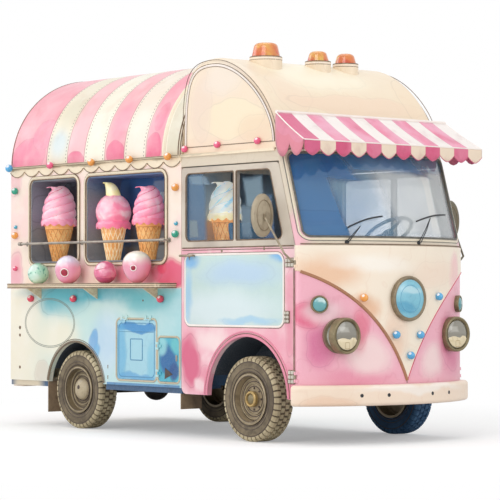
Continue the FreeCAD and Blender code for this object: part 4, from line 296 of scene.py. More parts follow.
def lit(s, tone, dark, glow="#FFFFFF", strength=0.8):
    """A painted highlight towards the front right above and painted shade on the far side of small round things."""
    facing = s.vector("DOT_PRODUCT", s.new("ShaderNodeTexCoord").outputs["Normal"], LIGHT_FROM)
    tone = s.mix(s.span(facing, 0.20, -0.45, 0, strength), tone, [dark, dark, dark, 1], "MULTIPLY")
    return s.mix(s.span(facing, 0.88, 0.96, 0, strength), tone, glow)


def candy(name, base):
    """Glossy sweet-like stud with a painted highlight and painted shade."""
    s = Shader(name, 0.14, 0.0, 0.7)
    tone = s.mix(s.span(s.noise(18, 2), 0.40, 0.70, 0, 0.30), base, scaled(base, 1.35))
    return s.finish(lit(s, tone, 0.78), s.noise(60, 2), 0.0006)


# ---------------------------------------------------------------- geometry

def arc(middle, radius, start, end, steps):
    """Points of a flat arc (degrees) as pairs."""
    return [(middle[0] + radius * math.cos(math.radians(start + (end - start) * i / steps)),
             middle[1] + radius * math.sin(math.radians(start + (end - start) * i / steps))) for i in range(steps + 1)]


def rounded(corners, steps):
    """Pairs along a closed outline through (a, b, radius) corners."""
    points, count = [], len(corners)
    for i, (a, b, radius) in enumerate(corners):
        corner = Vector((a, b))
        before = (Vector(corners[i - 1][:2]) - corner).normalized()
        after = (Vector(corners[(i + 1) % count][:2]) - corner).normalized()
        half = before.angle(after) / 2
        start, end = corner + before * radius / math.tan(half), corner + after * radius / math.tan(half)
        centre = corner + (before + after).normalized() * radius / math.sin(half)
        for k in range(steps + 1):
            straight = start.lerp(end, k / steps) - centre
            points.append(tuple(centre + straight.normalized() * radius))
    return points


def box_outline(low_a, high_a, low_b, high_b, radius, steps):
    """Pairs along a rectangle with rounded corners."""
    return rounded([(low_a, low_b, radius), (high_a, low_b, radius), (high_a, high_b, radius),
                    (low_a, high_b, radius)], steps)


def on_side(points, y):
    """Pairs (x, z) as points of the plane at Y = y."""
    return [at(a, y, b) for a, b in points]


def arch(inset, lift):
    """Pairs (x, z) along the cab roof's side view from its rear foot over the crown to its front foot."""
    pairs, steps = [], 28
    for foot, fullness, order in ((SEAM + inset, 0.85, 1), (ROOF_HIGH.x - inset, 0.45, -1)):
        top, end = Vector((CROWN, ROOF_HIGH.z - inset)), Vector((foot, GUTTER + lift))
        poles = [top, top + Vector(((foot - CROWN) * fullness, 0)),
                 end + Vector((0, (top.y - end.y) * fullness)), end]
        run = []
        for i in range(steps + 1):
            t = i / steps
            weights = (1 - t) ** 3, 3 * t * (1 - t) ** 2, 3 * t * t * (1 - t), t ** 3
            run.append(tuple(sum((pole * weight for pole, weight in zip(poles, weights)), Vector((0, 0)))))
        pairs += run[::-1] if order > 0 else run[1:]
    return pairs


def circle(middle, first, second, count):
    """Points of an ellipse with the given half axes."""
    return [middle + first * math.cos(math.tau * i / count) + second * math.sin(math.tau * i / count)
            for i in range(count)]


def front(y, z, grow=0.0):
    """Point and outward normal of the cab's front, which leans back above the belt."""
    radius = NOSE_RADIUS + grow
    x = NOSE_CENTRE + math.sqrt(radius ** 2 - y ** 2) - max(z - BELT, 0) * LEAN
    normal = at(math.sqrt(radius ** 2 - y ** 2), y, radius * LEAN if z > BELT else 0).normalized()
    return at(x, y, z), normal


ROUND = [(math.cos(math.pi * i / 4), math.sin(math.pi * i / 4)) for i in range(8)]  # a tube's section


def section_band(width, low, high, ease=0.45):
    """A low flat band with eased edges, from low to high along the normal."""
    half, cut = width / 2, min(width, high - low) * ease
    return [(-half, low), (half, low), (half, high - cut), (half - cut, high), (cut - half, high),
            (-half, high - cut)]


def headings(path, closed):
    """Every point of a path with the direction the path has there."""
    count = len(path)
    for i, point in enumerate(path):
        before = path[i - 1] if closed or i else point
        after = path[(i + 1) % count] if closed or i < count - 1 else point
        yield point, (after - before).normalized()


def shown(mesh, material, body):
    """Puts a mesh in the scene with its finish, riding on a body of the model."""
    mesh.materials.append(material)
    obj = bpy.data.objects.new(mesh.name, mesh)
    bpy.context.scene.collection.objects.link(obj)
    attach(obj, body)
    return obj


class Form:
    """Vertices and faces gathered for one piece."""

    def __init__(self):
        self.verts, self.faces = [], []

    def add(self, verts, faces):
        base = len(self.verts)
        self.verts += [Vector(v) for v in verts]
        self.faces += [[base + i for i in face] for face in faces]
        return self

    def rows(self, rows, ring=False):
        """Quads between closed rows of points; ring joins the last row to the first, else both ends are capped."""
        count, width = len(rows), len(rows[0])
        faces = []
        for i in range(count if ring else count - 1):
            for j in range(width):
                k, m = (i + 1) % count, (j + 1) % width
                faces.append([i * width + j, i * width + m, k * width + m, k * width + j])
        if not ring:
            faces += [list(range(width))[::-1], [(count - 1) * width + j for j in range(width)]]
        return self.add([p for row in rows for p in row], faces)

    def lathe(self, profile, middle, axis, segments):
        """Turns (radius, along) pairs about an axis."""
        axis = axis.normalized()
        across = axis.orthogonal().normalized()
        other = axis.cross(across)
        turns = [2 * math.pi * j / segments for j in range(segments)]
        spokes = [across * math.cos(turn) + other * math.sin(turn) for turn in turns]
        rows = [[middle + axis * along + spoke * radius for spoke in spokes] for radius, along in profile]
        hollow = min(profile[0][0], profile[-1][0]) > 0.005
        return self.rows(rows, ring=hollow)

    def sweep(self, path, normals, section, closed=False):
        """Carries a closed section of (sideways, outward) pairs along a path."""
        rows = []
        for i, (point, ahead) in enumerate(headings(path, closed)):
            normal = normals[i] if isinstance(normals, list) else normals
            side = ahead.cross(normal).normalized()
            rows.append([point + side * a + normal * b for a, b in section])
        return self.rows(rows, ring=closed)

    def tube(self, path, radius, closed=False):
        """A round tube along a path, whatever way it turns."""
        rows, side = [], None
        for point, ahead in headings(path, closed):
            side = (side - ahead * side.dot(ahead)).normalized() if side else ahead.orthogonal().normalized()
            other = ahead.cross(side)
            rows.append([point + (side * a + other * b) * radius for a, b in ROUND])
        return self.rows(rows, ring=closed)

    def pillow(self, outline, normal, steps):
        """A plate whose rim is eased: steps are (inwards, outwards) pairs from the foot to the flat top."""
        middle = sum(outline, Vector()) / len(outline)
        rows = []
        for inwards, outwards in steps:
            rows.append([p + (middle - p).normalized() * inwards + normal * outwards for p in outline])
        return self.rows(rows)

    def block(self, low, high, ease):
        """A box with eased edges between two corners."""
        size = high - low
        cut = min(ease, min(size) * 0.45)
        outline = [(low.x, low.y), (high.x, low.y), (high.x, high.y), (low.x, high.y)]
        rows = []
        for inset, z in ((cut, low.z), (0, low.z + cut), (0, high.z - cut), (cut, high.z)):
            ring = []
            for (x, y), (dx, dy) in zip(outline, ((1, 1), (-1, 1), (-1, -1), (1, -1))):
                pair = [at(x + dx * (inset + cut), y + dy * inset, z), at(x + dx * inset, y + dy * (inset + cut), z)]
                ring += pair if dx * dy < 0 else pair[::-1]
            rows.append(ring)
        return self.rows(rows)

    def dome(self, middle, normal, radius, height, segments, rings):
        """A button: a low half ball standing on a surface."""
        turns = [math.pi / 2 * i / rings for i in range(rings)]
        profile = [(radius * math.cos(turn), height * math.sin(turn)) for turn in turns]
        return self.lathe([(radius, -0.002)] + profile + [(0.0001, height)], middle, normal, segments)

    def mirrored(self):
        """Adds the mirror image across the middle plane."""
        verts = [at(v.x, -v.y, v.z) for v in self.verts]
        return self.add(verts, [face[::-1] for face in self.faces])

    def piece(self, name, material, body="body", slot="trim_cream", sharp=35):
        """Makes the object, which rides on a body of the model."""
        mesh = bpy.data.meshes.new(name)
        mesh.from_pydata(self.verts, [], self.faces)
        work = bmesh.new()
        work.from_mesh(mesh)
        bmesh.ops.remove_doubles(work, verts=work.verts, dist=1e-5)
        bmesh.ops.recalc_face_normals(work, faces=work.faces)
        work.to_mesh(mesh)
        work.free()
        mesh.shade_smooth()
        mesh.set_sharp_from_angle(angle=math.radians(sharp))
        return shown(mesh, material, body)


def forms(count):
    """As many empty forms, one for each piece."""
    return [Form() for _ in range(count)]


# ---------------------------------------------------------------- finishes

INK = dark_line("ink_trim")
RUBBER = dark_line("black_rubber", "#26282C")
UMBER = dark_line("umber_trim", "#6E5A48")
STEEL = metal("worn_steel", "#A9A196", 0.38, "#5B5149", 0.6)
BRONZE = metal("aged_bronze", "#8F8068", 0.42, "#4B4032", 0.4)
CREAM_TRIM = washed("cream_trim", "#EFE3CB", mottle=0.08, shade="#C7AE8C", scale=5)
WHITE_TRIM = washed("white_trim", "#FBF1EA", mottle=0.05, shade="#E3B7B5", scale=6)
PINK_TRIM = washed("pink_trim", "#E58CA3", mottle=0.12, shade="#B8506F", scale=6)
DEEP_PINK = washed("deep_pink_trim", "#D4607F", mottle=0.12, shade="#9C3458", scale=6)
CANDY = {word: candy("candy_" + word, code) for word, code in (
    ("blue", "#4FA9DC"), ("orange", "#F2A046"), ("pink", "#EE5C86"), ("red", "#E8405C"), ("green", "#1FA184"),
    ("teal", "#3FA9C4"))}


def box_roof_paint():
    """Pink and cream stripes across the roof with drying lines, darker washes and sewn-looking seams."""
    s = Shader("striped_roof", 0.42, 0.0, 0.25)
    x, y, z = s.xyz(s.wobbly(3.5, 0.016))
    stripes = [
        # front edge, colour
        (-1.514, "#F09FAD"), (-1.206, "#EADFC6"), (-0.963, "#F4BABF"), (-0.670, "#F3ECD9"), (-0.403, "#F2ADB5"),
        (-0.108, "#F0E2D0"), (0.110, "#EF98A9"), (0.170, "#F0E5D0"), (0.308, "#DAD2BA"), (0.362, "#E8DDC5"),
    ]
    edges = [end for end, _ in stripes[:7]]
    shares = [0.0] + [(end - REAR) / (SEAM - REAR) for end, _ in stripes]
    along = s.span(x, REAR, SEAM, 0, 1, False)
    tone = s.ramp(along, [(share, code) for share, (_, code) in zip(shares, stripes)])
    place = s.wobbly(2.0, 0.10)
    rosy_washes = [
        # code, middle, half, soft, strength, line
        ("#EE7F9D", (-1.80, -0.84, 2.33), (0.25, 0.16, 0.16), 0.08, 0.95, 0.35),
        ("#EF88A4", (-1.62, -0.86, 2.52), (0.16, 0.20, 0.15), 0.10, 0.85, 0.30),
        ("#E96F92", (-1.10, -0.86, 2.26), (0.13, 0.20, 0.10), 0.08, 0.95, 0.40),
        ("#E8698D", (-0.53, -0.86, 2.30), (0.125, 0.20, 0.11), 0.06, 1.00, 0.40),
        ("#F193AC", (-0.53, -0.80, 2.55), (0.11, 0.20, 0.20), 0.45, 0.55, 0.0),
        ("#E8668B", (-0.01, -0.86, 2.32), (0.11, 0.20, 0.13), 0.06, 1.00, 0.40),
        ("#EC7F9C", (0.01, -0.78, 2.58), (0.075, 0.20, 0.12), 0.12, 0.85, 0.30),
    ]
    pale_washes = [
        ("#C6DCE6", (-1.36, -0.84, 2.42), (0.12, 0.20, 0.12), 0.6, 0.70, 0.0),
        ("#DDD6BE", (-1.32, -0.74, 2.70), (0.13, 0.25, 0.16), 0.5, 0.60, 0.0),
    ]
    rosy = s.ramp(along, [(share, ("#FFFFFF", "#000000")[i % 2]) for i, share in enumerate(shares[:8])])
    tone = s.mix(rosy, tone, s.washes(tone, rosy_washes, place))
    tone = s.washes(tone, pale_washes, place)
    tone = s.cloud(tone, "#FFFDF8", (2.4, 4, 0.6), 0.40, 0.7, 0.22)
    tone = s.cloud(tone, "#D9A48F", (4.5, 3, 0.6), 0.52, 0.75, 0.18, "MULTIPLY")
    for edge in edges:
        near = s.span(s.apart(x, edge), 0.0085, 0.003, 0, 0.6)
        tone = s.mix(near, tone, "#B0656B")
    angle = s.math("ARCTAN2", s.math("SUBTRACT", z, GUTTER), s.math("MULTIPLY", y, -VAULT / HALF))
    dash = s.span(s.apart(s.math("FRACT", s.math("MULTIPLY", angle, 26.0)), 0.5), 0.26, 0.2, 0, 1)
    seams = None
    for low_x, high_x in zip(edges[::2], edges[1::2]):
        for line in (low_x + 0.026, high_x - 0.026):
            near = s.span(s.apart(x, line), 0.0065, 0.003, 0, 1)
            seams = near if seams is None else s.math("MAXIMUM", seams, near)
    stitches = s.math("MULTIPLY", seams, dash)
    tone = s.mix(s.math("MULTIPLY", stitches, 0.75), tone, "#6F675C")
    relief = s.math("SUBTRACT", s.math("MULTIPLY", s.noise(*GRAIN), 0.3), stitches)
    return s.finish(tone, relief, 0.0012, 0.06, 0.42)


def side_paint():
    """Aqua lower side with a teal band of painted shadow under the counter, cream at the rear and rose above the
    counter.
    """
    s = Shader("serving_side_paint", 0.42, 0.0, 0.25)
    place = s.wobbly(2.2, 0.18)
    x = s.xyz(place)[0]
    base = s.mix(s.span(x, -1.95, -0.95), "#F5EEDA", "#BFE1E0")
    base = s.mix(s.span(x, -0.7, 0.5), base, "#A9D8DE")
    base = s.washes(base, [
        # the first three washes are painted shadow just under the counter
        ("#3FADC4", (-0.95, -HALF, 1.15), (0.78, 0.5, 0.085), 0.45, 0.92, 0.2),
        ("#58B9C9", (-1.25, -HALF, 1.06), (0.34, 0.5, 0.13), 0.35, 0.85, 0.35),
        ("#5BBBC6", (-0.15, -HALF, 1.10), (0.45, 0.5, 0.09), 0.6, 0.7, 0.0),
        ("#CFE9E4", (-0.80, -HALF, 0.95), (0.55, 0.5, 0.10), 0.6, 0.6, 0.0),
        ("#BFD9F0", (-0.62, -HALF, 0.72), (0.20, 0.5, 0.22), 0.7, 0.8, 0.0),
        ("#4E9FDB", (-0.81, -HALF, 0.74), (0.065, 0.5, 0.085), 0.25, 0.8, 0.35),
        ("#5FAEE0", (-0.75, -HALF, 0.66), (0.05, 0.5, 0.05), 0.4, 0.75, 0.3),
        ("#F7F0DA", (-1.30, -HALF, 0.75), (0.28, 0.5, 0.16), 0.7, 0.85, 0.0),
        ("#DCCFC0", (-1.58, -HALF, 0.46), (0.12, 0.5, 0.10), 0.3, 0.6, 0.3),
    ], place)
    upper = s.cloud("#F8E6D6", "#F9D9D2", (2.6, 3), 0.4, 0.65)
    upper = s.washes(upper, [
        ("#E65C80", (0.22, -HALF, 1.30), (0.24, 0.5, 0.13), 0.25, 0.95, 0.3),
        ("#EE86A0", (-0.22, -HALF, 1.30), (0.32, 0.5, 0.10), 0.35, 0.85, 0.25),
        ("#F0A2B4", (-1.98, -HALF, 1.30), (0.11, 0.5, 0.22), 0.3, 0.8, 0.3),
        ("#F2B9C0", (-2.02, -HALF, 2.12), (0.10, 0.5, 0.14), 0.4, 0.7, 0.2),
        ("#E9506F", (0.10, -HALF, 1.36), (0.05, 0.5, 0.05), 0.3, 0.8, 0.3),
    ], place)
    height = s.xyz()[2]
    tone = s.mix(s.span(height, 1.18, 1.19, 0, 1, False), base, upper)
    tone = s.cloud(tone, "#FFFFFF", (2.4, 4, 0.6, 0.4), 0.42, 0.7, 0.18)
    return s.finish(tone, s.noise(*GRAIN), 0.0004, 0.06, 0.42)


def door_paint():
    """Rose door with cream-grey window surround, pale streaks and darker lower corners."""
    s = Shader("door_paint", 0.4, 0.0, 0.3)
    place = s.wobbly(2.6, 0.2)
    z = s.xyz(s.wobbly(3.0, 0.02))[2]
    base = s.cloud("#F3B4C2", "#F9D3D8", (2.2, 4, 0.6, 0.5), 0.38, 0.64)
    base = s.washes(base, [
        ("#DB6285", (0.48, -HALF, 0.60), (0.12, 0.6, 0.22), 0.35, 0.95, 0.3),
        ("#E4809B", (0.66, -HALF, 0.44), (0.08, 0.6, 0.12), 0.5, 0.7, 0.2),
        ("#FBE3E2", (0.78, -HALF, 0.76), (0.20, 0.6, 0.07), 0.6, 0.8, 0.0),
        ("#E98AA3", (1.62, -HALF, 0.45), (0.13, 0.6, 0.16), 0.5, 0.8, 0.2),
        ("#EE9AAF", (1.45, -HALF, 0.72), (0.25, 0.6, 0.14), 0.7, 0.6, 0.0),
        ("#FDF0EE", (0.60, -HALF, 0.42), (0.07, 0.6, 0.05), 0.5, 0.6, 0.0),
        ("#DE6F8E", (1.68, -HALF, 1.0), (0.06, 0.6, 0.35), 0.5, 0.55, 0.2),
    ], place)
    upper = s.cloud("#D2C6B6", "#B9AC9F", (3, 3), 0.4, 0.7)
    tone = s.mix(s.span(z, BELT - 0.012, BELT - 0.004, 0, 1, False), base, upper)
    return s.finish(tone, s.noise(*GRAIN), 0.0004, 0.06, 0.4)


def glass_paint(name, deep, pale, patches, alpha, rough=0.06, fade=None):
    """Tinted glass with painted reflections and painted shade; fade is (first y, last y, its share of alpha there)."""
    s = Shader(name, rough, 0.0, 0.6)
    place = s.wobbly(2.0, 0.10)
    tone = s.cloud(deep, pale, (1.6, 3, 0.5, 0.3), 0.38, 0.66)
    cover = s.span(s.noise(1.8, 3), 0.3, 0.7, alpha - 0.05, alpha + 0.05)
    if fade:
        cover = s.math("MULTIPLY", cover, s.span(s.xyz(place)[1], fade[0], fade[1], 1.0, fade[2]))
    for code, middle, half, soft, strength, line in patches:
        tone = s.wash(tone, (code, middle, half, soft, min(strength, 1.0), line), place, True)
        reach = s.reach(place, middle, half, True)
        cover = s.math("MAXIMUM", cover, s.span(reach, 1 + soft, 1 - soft, 0, strength * 0.85))
    s.put(s.bsdf.inputs["Alpha"], cover)
    return s.finish(tone, s.noise(3, 2), 0.0002)


def wood_paint():
    """Bleached wood with its grain along the truck."""
    s = Shader("counter_wood", 0.5, 0.0, 0.1)
    grain = s.noise(1, 5, 0.6, 1.2, s.vector("MULTIPLY", s.place, (3, 26, 60)))
    tone = s.mix(s.span(grain, 0.35, 0.68), "#F4E4C8", "#DCC29E")
    tone = s.cloud(tone, "#9D866B", (5, 3), 0.5, 0.75, 0.4)
    return s.finish(tone, grain, 0.0008, 0.08, 0.5)


def rubber_paint(name, base, pale, dust):
    """Dusty rubber, paler where it scuffs."""
    s = Shader(name, 0.72)
    tone = s.cloud(base, pale, (5, 5, 0.65, 0.3), 0.35, 0.65)
    tone = s.cloud(tone, dust, (16, 4), 0.52, 0.75, 0.55)
    return s.finish(tone, s.noise(120, 5, 0.7), 0.0008, 0.06, 0.72)


def cloth_paint():
    """Awning cloth with slanting stripes along its U, a darker valance and a woven surface."""
    s = Shader("awning_cloth_weave", 0.75, Sheen_Weight=0.25, Sheen_Roughness=0.5)
    u, v, _ = s.xyz(s.new("ShaderNodeTexCoord").outputs["UV"])
    wobble = s.math("MULTIPLY_ADD", s.noise(9, 2), 0.012, -0.006)
    share = s.math("FRACT", s.math("MULTIPLY", s.math("ADD", u, wobble), 0.5))
    odd = s.span(share, 0.495, 0.505, 0, 1, False)
    top = s.mix(odd, s.cloud("#EE86A6", "#F4AEC6", (3, 3), 0.35, 0.65), "#FBF3EE")
    hang = s.mix(odd, s.cloud("#D9567F", "#E57F9C", (4, 3), 0.35, 0.65), "#F3DFC8")
    tone = s.mix(s.span(v, 0.995, 1.0, 0, 1, False), top, hang)
    tone = s.mix(s.span(u, 1.0, 0.96, 0, 0.8, False), tone, "#DB5F88")
    edge = s.span(s.apart(s.math("FRACT", s.math("ADD", u, wobble)), 0.5), 0.485, 0.5, 0, 0.45)
    tone = s.mix(edge, tone, "#C4476F")
    tone = s.cloud(tone, "#B65A70", (7, 4), 0.5, 0.75, 0.22, "MULTIPLY")
    x, y, z = s.xyz()
    across, down = [s.math("SINE", s.math("MULTIPLY", way, 2200.0)) for way in (y, s.math("ADD", x, z))]
    weave = s.math("MULTIPLY", across, down)
    return s.finish(tone, weave, 0.0003, 0.05, 0.75)


def amber_paint():
    """Amber glass, orange below and yellow in patches."""
    s = Shader("amber_lamp", 0.15, 0.0, 0.8, Transmission_Weight=0.15)
    place = s.wobbly(8, 0.05)
    tone = s.cloud("#E4562A", "#F0813A", (9, 3, 0.6, 0.5), 0.4, 0.62)
    tone = s.cloud(tone, "#F8C65A", (6, 2, 0.5, 0.6), 0.54, 0.7)
    height = s.span(s.xyz(place)[2], ROOF_HIGH.z + 0.02, ROOF_HIGH.z + 0.12, 0, 0.6)
    tone = s.mix(height, tone, "#F6A857")
    return s.finish(tone, s.noise(25, 2), 0.0008)


def wafer_paint(name, base, dark):
    """Baked wafer with darker clouds and pale crumbs, and a glow of its own as painted light."""
    s = Shader(name, 0.6)
    tone = s.cloud(base, dark, (12, 4), 0.35, 0.68)
    tone = s.cloud(tone, "#F6D9A4", (40, 3), 0.55, 0.7, 0.5)
    s.glow(tone)
    return s.finish(tone, s.noise(140, 3), 0.0006)


def ice_paint(name, base, pale, shade, stripe=None):
    """Soft ice cream with lighter crests, painted highlight and shade, and a painted-light glow; stripe adds slanting
    bands of a second colour.
    """
    s = Shader(name, 0.38, 0.0, 0.35, Subsurface_Weight=0.08)
    tone = s.cloud(base, pale, (6, 3, 0.5, 0.6), 0.40, 0.66)
    if stripe:
        x, y, z = s.xyz(s.wobbly(5, 0.02))
        level = s.math("MULTIPLY_ADD", y, 0.9, s.math("MULTIPLY", x, 0.55))
        slant = s.math("MULTIPLY", s.math("SUBTRACT", level, z), 11.0)
        bands = s.math("FRACT", slant)
        tone = s.mix(s.span(s.apart(bands, 0.5), 0.20, 0.27), tone, stripe)
        cream = s.math("FRACT", s.math("MULTIPLY_ADD", slant, 0.5, 0.2))
        tone = s.mix(s.span(s.apart(cream, 0.5), 0.10, 0.06, 0, 0.8), tone, "#F5EBD2")
    tone = lit(s, s.cloud(tone, shade, (14, 2, 0.5, 0.4), 0.55, 0.72, 0.35), 0.80, pale, 0.6)
    s.glow(tone)
    return s.finish(tone, s.noise(70, 3), 0.0008, 0.05, 0.38)


def leather_paint():
    """Blue seat leather with a fine cell pattern."""
    s = Shader("seat_leather", 0.5, 0.0, 0.15)
    cells = s.new("ShaderNodeTexVoronoi", {"feature": "DISTANCE_TO_EDGE"}, Vector=s.place, Scale=110)
    tone = s.cloud("#4E7FA8", "#6E9CBC", (4, 4), 0.35, 0.68)
    tone = s.cloud(tone, "#2F5F8C", (20, 4), 0.55, 0.75, 0.4)
    return s.finish(tone, cells.outputs["Distance"], 0.001, 0.08, 0.5)


